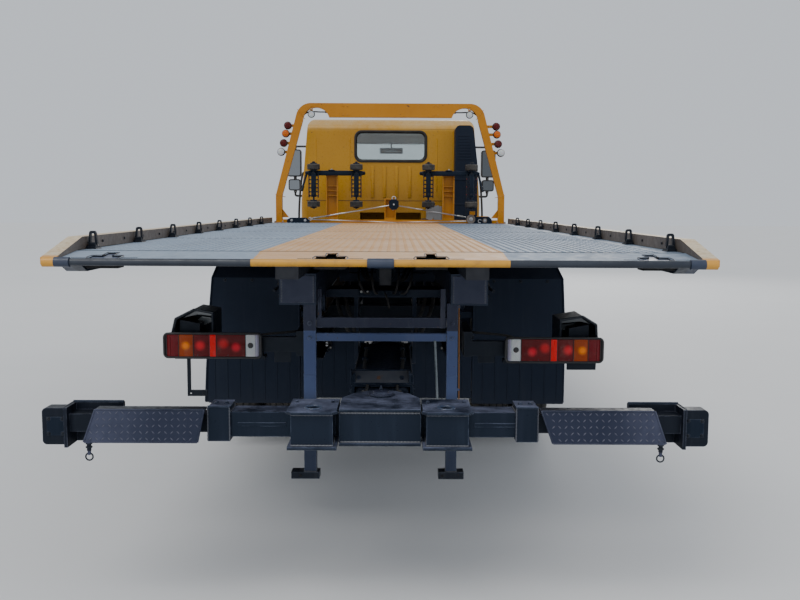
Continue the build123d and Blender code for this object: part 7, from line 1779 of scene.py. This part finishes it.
for s in (-1, 1):
    # folded rims, bolts and stiffening beads of the rear mudguards; flap retaining bar
    for f in (lambda z: 0.503, lambda z: guard_edge(s, z) - 0.003):
        mg.tube([(s * f(0.275), -1.701, 0.275), (s * f(0.69), -1.701, 0.69), (s * f(1.0), -1.7, 1.0), (s * f(1.07), -1.63, 1.071), (s * f(1.07), -1.1, 1.071),
                 (s * f(1.07), -0.64, 1.071), (s * f(1.0), -0.56, 1.0), (s * f(0.69), -0.559, 0.69), (s * f(0.56), -0.559, 0.56)], 0.006, 8, 0)
    for x in (0.62, 0.775, 0.93):
        mg.box((s * x - 0.012, -1.62, 1.069), (s * x + 0.012, -0.66, 1.0745), 0.003, 1, 0)
        mg.bolt((s * x, -1.70, 0.985), (0, -1, 0), 0.007, 0.006, 1)
        mg.bolt((s * x, -1.70, 0.63), (0, -1, 0), 0.007, 0.006, 1)
    mg.box((s * 0.52, -1.7045, 0.615), (s * 1.02, -1.6995, 0.645), 0.001, 1, 0)
    mg.box((s * 0.50, -1.7035, 0.266), (s * 1.034, -1.6995, 0.612), 0.002, 1, 2)
    # splash curtain between the wheels, hung on a bar, ribbed
    mg.box((s * 0.125, -1.7085, 0.300), (s * 0.495, -1.7045, 0.668), 0.003, 1, 2)
    mg.box((s * 0.118, -1.7135, 0.660), (s * 0.502, -1.7045, 0.700), 0.002, 1, 0)
    for x in (0.16, 0.31, 0.46):
        mg.bolt((s * x, -1.7135, 0.68), (0, -1, 0), 0.007, 0.006, 1)
    for k in range(5):
        mg.box((s * (0.16 + k * 0.07), -1.7105, 0.32), (s * (0.166 + k * 0.07), -1.708, 0.65), 0.001, 1, 2)
    for k in range(7):
        x = 0.56 + k * 0.072
        mg.box((s * x, -1.7058, 0.29), (s * (x + 0.006), -1.703, 0.60), 0.001, 1, 2)
mg.piece("mudguard_detail", "chassis", "plastic_black", [MUD, BLACK, MUD], 32)

# bumper: intake slots, fog lamps, towing eye covers; headlamp bowls, projectors and covers
fr = Shape()
for k in range(3):
    z = 0.43 + k * 0.035
    fr.box((-0.38, 3.945, z), (0.38, 3.9525, z + 0.018), 0.003, 1, 1)
for s in (-1, 1):
    fr.box((s * 0.43, 3.93, 0.43), (s * 0.52, 3.951, 0.52), 0.012, 2, 1)
    fr.lathe([(0, 0.034), (0.004, 0.034), (0.006, 0.03), (0.004, 0.0)], (s * 0.475, 3.949, 0.475), (0, 1, 0), 28, 3)
    fr.lathe([(0, 0.0), (0.005, 0.02), (0.016, 0.045), (0.02, 0.05)], (s * 0.665, 3.9385, 0.48), (0, 1, 0), 32, 2)
    fr.lathe([(0, 0.0), (0.004, 0.02), (0.012, 0.038), (0.015, 0.042)], (s * 0.765, 3.9385, 0.48), (0, 1, 0), 32, 2)
    fr.lathe([(0, 0.018), (0.008, 0.017), (0.014, 0.010), (0.016, 0)], (s * 0.665, 3.944, 0.48), (0, 1, 0), 20, 3)
    fr.lathe([(0, 0.014), (0.006, 0.013), (0.011, 0.008), (0.012, 0)], (s * 0.765, 3.944, 0.48), (0, 1, 0), 20, 4)
    fr.tube([(x, 3.951 - max(0, abs(x) - 0.68) * 0.12, z) for x, z in round_rect(s * 0.705, 0.48, 0.214, 0.114, 0.03, 5)], 0.006, 8, 1, closed=True)
fr.box((-0.26, 3.951, 0.50), (0.26, 3.957, 0.565), 0.003, 1, 5)
for x in (-0.2, 0.2):
    fr.bolt((x, 3.957, 0.532), (0, 1, 0), 0.005, 0.004, 0, washer=False)
fr.tube([(-0.88, 3.892, 0.585), (-0.78, 3.94, 0.585), (-0.40, 3.946, 0.585), (0.40, 3.946, 0.585), (0.78, 3.94, 0.585), (0.88, 3.892, 0.585)], 0.006, 8, 1)
fr.piece("front_end_detail", "chassis", "lamp_clear", [ZINC, PLASTIC, REFLECTOR, CLEAR_LENS, AMBER_LENS, WHITE], 35)


# ------------------------------------------------------------------ seats
def pad(shape, lo, hi, mtx=None, crown=0.03, tuck=0.018, channels=(), across=False, mat=0, n=(14, 14, 5)):
    """Crowned cushion in a box: sides pulled in between the corners, sewn channels across its top (+z)."""
    lo, hi = Vector(lo), Vector(hi)
    c, h = (lo + hi) / 2, (hi - lo) / 2
    nx, ny, nz = n
    grid = {}
    verts, faces = [], []

    def vid(i, j, k):
        key = (i, j, k)
        if key not in grid:
            u, v, w = 2 * i / nx - 1, 2 * j / ny - 1, 2 * k / nz - 1
            # rounded box
            q = 5.0
            m = (abs(u) ** q + abs(v) ** q + abs(w) ** q) ** (1 / q)
            g = max(abs(u), abs(v), abs(w))
            f = g / m if m else 1
            x, y, z = u * f, v * f, w * f
            side_u = 1 - tuck / h.x * (1 - v * v) * abs(u) ** 4 * 1.0
            side_v = 1 - tuck / h.y * (1 - u * u) * abs(v) ** 4 * 1.0
            top = 1.0
            if w > 0:
                top = 1 - crown / h.z * (1 - (1 - u * u * 0.9) * (1 - v * v * 0.9)) * w
                for ch in channels:
                    t = u if across else v
                    top -= 0.009 / h.z * math.exp(-((t - ch) / 0.035) ** 2) * w
            grid[key] = len(verts)
            verts.append(Vector((c.x + x * h.x * side_u, c.y + y * h.y * side_v, c.z + z * h.z * top)))
        return grid[key]

    for i in range(nx):
        for j in range(ny):
            faces.append((vid(i, j, 0), vid(i, j + 1, 0), vid(i + 1, j + 1, 0), vid(i + 1, j, 0)))
            faces.append((vid(i, j, nz), vid(i + 1, j, nz), vid(i + 1, j + 1, nz), vid(i, j + 1, nz)))
    for k in range(nz):
        for i in range(nx):
            faces.append((vid(i, 0, k), vid(i + 1, 0, k), vid(i + 1, 0, k + 1), vid(i, 0, k + 1)))
            faces.append((vid(i, ny, k), vid(i, ny, k + 1), vid(i + 1, ny, k + 1), vid(i + 1, ny, k)))
        for j in range(ny):
            faces.append((vid(0, j, k), vid(0, j, k + 1), vid(0, j + 1, k + 1), vid(0, j + 1, k)))
            faces.append((vid(nx, j, k), vid(nx, j + 1, k), vid(nx, j + 1, k + 1), vid(nx, j, k + 1)))
    shape.add(verts, faces, mat, mtx)


cush, back, rest, base = Shape(), Shape(), Shape(), Shape()
for s in (-1, 1):
    x0, x1 = sorted((s * 0.367, s * 0.778))
    w = x1 - x0
    cx = (x0 + x1) / 2
    # seat cushion: middle panel and two bolsters
    pad(cush, (x0 + 0.075, 2.46, 1.195), (x1 - 0.075, 2.938, 1.322), crown=0.016, channels=(-0.5, 0.0, 0.5), mat=1, n=(12, 24, 5))
    for a in (x0, x1 - 0.085):
        pad(cush, (a, 2.46, 1.195), (a + 0.085, 2.935, 1.329), crown=0.022, tuck=0.01, n=(6, 14, 5))
    # back rest, leaning; local z is its front face
    lean = Matrix.Translation((cx, 2.45, 1.60)) @ Matrix.Rotation(math.radians(-79), 4, "X")
    pad(back, (-w / 2 + 0.075, -0.27, -0.045), (w / 2 - 0.075, 0.262, 0.052), lean, 0.014, channels=(-0.62, -0.3, 0.02, 0.34, 0.66), mat=1, n=(12, 30, 5))
    for a in (-w / 2, w / 2 - 0.085):
        pad(back, (a, -0.27, -0.045), (a + 0.085, 0.262, 0.058), lean, 0.018, 0.01, n=(6, 14, 5))
    head = Matrix.Translation((s * 0.59, 2.382, 1.965)) @ Matrix.Rotation(math.radians(-84), 4, "X")
    pad(rest, (-0.117, -0.07, -0.036), (0.117, 0.07, 0.036), head, 0.014, 0.012, n=(12, 8, 5))
    base.box((x0 + 0.004, 2.462, 0.977), (x1 - 0.004, 2.898, 1.10), 0.01, 2, 0)
    base.box((x0 + 0.02, 2.48, 1.10), (x1 - 0.02, 2.88, 1.196), 0.012, 2, 1)
    for k in range(6):
        base.tube([(x0 + 0.018, 2.479, 1.112 + k * 0.014), (x1 - 0.018, 2.479, 1.112 + k * 0.014), (x1 - 0.018, 2.881, 1.112 + k * 0.014),
                   (x0 + 0.018, 2.881, 1.112 + k * 0.014)], 0.005, 6, 2, closed=True)
    for x in (s * 0.575, s * 0.605):
        base.rod((x, 2.388, 1.86), (x, 2.384, 1.905), 0.006, 10, 3)
    base.tube([(x1 if s < 0 else x0, 2.6, 1.15), ((x1 + 0.0) if s < 0 else x0, 2.66, 1.16)], 0.007, 8, 1)
    base.lathe([(0, 0.03), (0.008, 0.028), (0.012, 0.018), (0.012, 0)], ((x0 + 0.004) if s < 0 else (x1 - 0.004), 2.55, 1.16), (s, 0, 0), 20, 1)
for shape, name in ((cush, "seat_cushions"), (back, "seat_backs"), (rest, "seat_headrests")):
    ob = shape.piece(name, "cab", "seat_fabric", [FABRIC, FABRIC2], 70)
    sub = ob.modifiers.new("soft", "SUBSURF")
    sub.levels = sub.render_levels = 1
    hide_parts("seats")
ob = base.piece("seat_bases", "cab", "plastic_black", [BLACK, PLASTIC, SEALS, CHROME], 35)
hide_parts("seats")

# dashboard: binnacle with dials, vents, radio slot, glove box line; wheel rim grip; pedals, levers, mats
DIAL = paint("dial_face", (0.006, 0.006, 0.007), (0.008, 0.008, 0.009), 0.3, 0.0, streak=0)
dash = Shape()
dash.prism([(3.50, 1.385), (3.62, 1.40), (3.66, 1.455), (3.55, 1.462), (3.505, 1.425)], -0.70, -0.30, "x", 0, 0.01, 2)
for x, r in ((-0.60, 0.045), (-0.49, 0.045), (-0.395, 0.028)):
    o = (x, 3.507, 1.415)
    dash.lathe([(0, r + 0.005), (0.004, r + 0.005), (0.005, r), (0.002, r - 0.002), (0.002, 0)], o, (0, -0.9, 0.42), 28, 2)
    for k in range(9):
        a = math.radians(220 - k * 32.5)
        u, w = Vector((1, 0, 0)), Vector((0, 0.42, 0.9))
        q = Vector(o) + Vector((0, -0.9, 0.42)) * 0.003
        dash.rod(q + (u * math.cos(a) + w * math.sin(a)) * (r - 0.005), q + (u * math.cos(a) + w * math.sin(a)) * (r - 0.011), 0.0009, 6, 3)
    dash.rod(Vector(o) + Vector((0, -0.9, 0.42)) * 0.004, Vector(o) + Vector((0.5 * r, -0.004, 0.55 * r)), 0.0013, 6, 4)
for x in (-0.22, -0.08, 0.10, 0.66):
    dash.prism(round_rect(x, 1.345, 0.11, 0.055, 0.01, 3), 3.470, 3.483, "y", 0, 0.001)
    for k in range(4):
        dash.box((x - 0.047, 3.4665, 1.325 + k * 0.012), (x + 0.047, 3.472, 1.3275 + k * 0.012), 0, 1, 5)
for z, h in ((1.285, 0.045), (1.232, 0.04)):
    dash.box((-0.16, 3.468, z - h / 2), (0.16, 3.482, z + h / 2), 0.004, 2, 2)
    for x in (-0.135, 0.135):
        dash.lathe([(0, 0.012), (0.012, 0.0105), (0.012, 0)], (x, 3.467, z), (0, -1, 0), 18, 0)
dash.box((0.30, 3.476, 1.225), (0.72, 3.484, 1.30), 0.008, 2, 0)
for s in (-1, 1):
    dash.box((s * 0.42, 3.1, 0.9745), (s * 0.80, 3.46, 0.981), 0.003, 1, 5)
for x, z in ((-0.66, 1.06), (-0.53, 1.06), (-0.42, 1.05)):
    dash.box((x - 0.028, 3.50, z - 0.035), (x + 0.028, 3.512, z + 0.035), 0.005, 2, 5)
    dash.rod((x, 3.512, z + 0.02), (x, 3.6, z + 0.12), 0.008, 10, 1)
# gear lever and hand brake on the hump
dash.lathe([(0, 0.05), (0.01, 0.05), (0.03, 0.035), (0.06, 0.018)], (-0.12, 3.02, 1.17), (0, 0, 1), 24, 5)
dash.rod((-0.12, 3.02, 1.2), (-0.16, 2.97, 1.42), 0.008, 10, 1)
dash.lathe([(-0.025, 0.01), (-0.015, 0.02), (0.01, 0.023), (0.022, 0.015), (0.026, 0)], (-0.16, 2.97, 1.43), (0, 0, 1), 20, 0)
dash.piece("dash_detail", "cab", "plastic_black", [PLASTIC, ZINC, DIAL, WHITE, RED_LENS, SEALS], 35)

sw = Shape()
c, nrm = Vector((-0.5, 3.29, 1.4)), Vector((0, -0.64, 0.77))
u, w = Vector((1, 0, 0)), nrm.cross(Vector((1, 0, 0)))
sw.tube([c + (u * math.cos(a) + w * math.sin(a)) * 0.192 for a in [2 * math.pi * k / 48 for k in range(48)]], 0.0152, 10, 0, closed=True)
for k in range(24):
    a = 2 * math.pi * k / 24
    q = c + (u * math.cos(a) + w * math.sin(a)) * 0.192
    t = (-u * math.sin(a) + w * math.cos(a))
    sw.lathe([(-0.0012, 0.0148), (-0.0012, 0.0158), (0.0012, 0.0158), (0.0012, 0.0148)], q, t, 10, 1, closed=True)
sw.lathe([(0.012, 0.05), (0.02, 0.05), (0.027, 0.04), (0.029, 0.0)], c, nrm, 28, 0)
for s in (-1, 1):
    q = c + nrm * -0.02
    sw.tube([q + u * s * 0.02 - nrm * 0.04, q + u * s * 0.12 - nrm * 0.035, q + u * s * 0.19 - nrm * 0.02], 0.006, 8, 0)
sw.piece("steering_wheel_grip", "cab", "plastic_black", [PLASTIC, SEAM], 40)


# ------------------------------------------------------------------ floor
floor = bpy.data.meshes.new("floor")
floor.from_pydata([(-60, -60, -0.0005), (60, -60, -0.0005), (60, 60, -0.0005), (-60, 60, -0.0005)], [], [(0, 1, 2, 3)])
ground = bpy.data.objects.new("floor", floor)
bpy.context.scene.collection.objects.link(ground)
fm = Mat("floor_pale")
floor.materials.append(fm.done(fm.mix(fm.noise(0.8, 4.0, 0.6), (0.60, 0.61, 0.62), (0.65, 0.655, 0.66)), 0.7, 0.0,
                               fm.bump(fm.noise(30.0, 3.0, 0.6), 0.05, 0.002)))
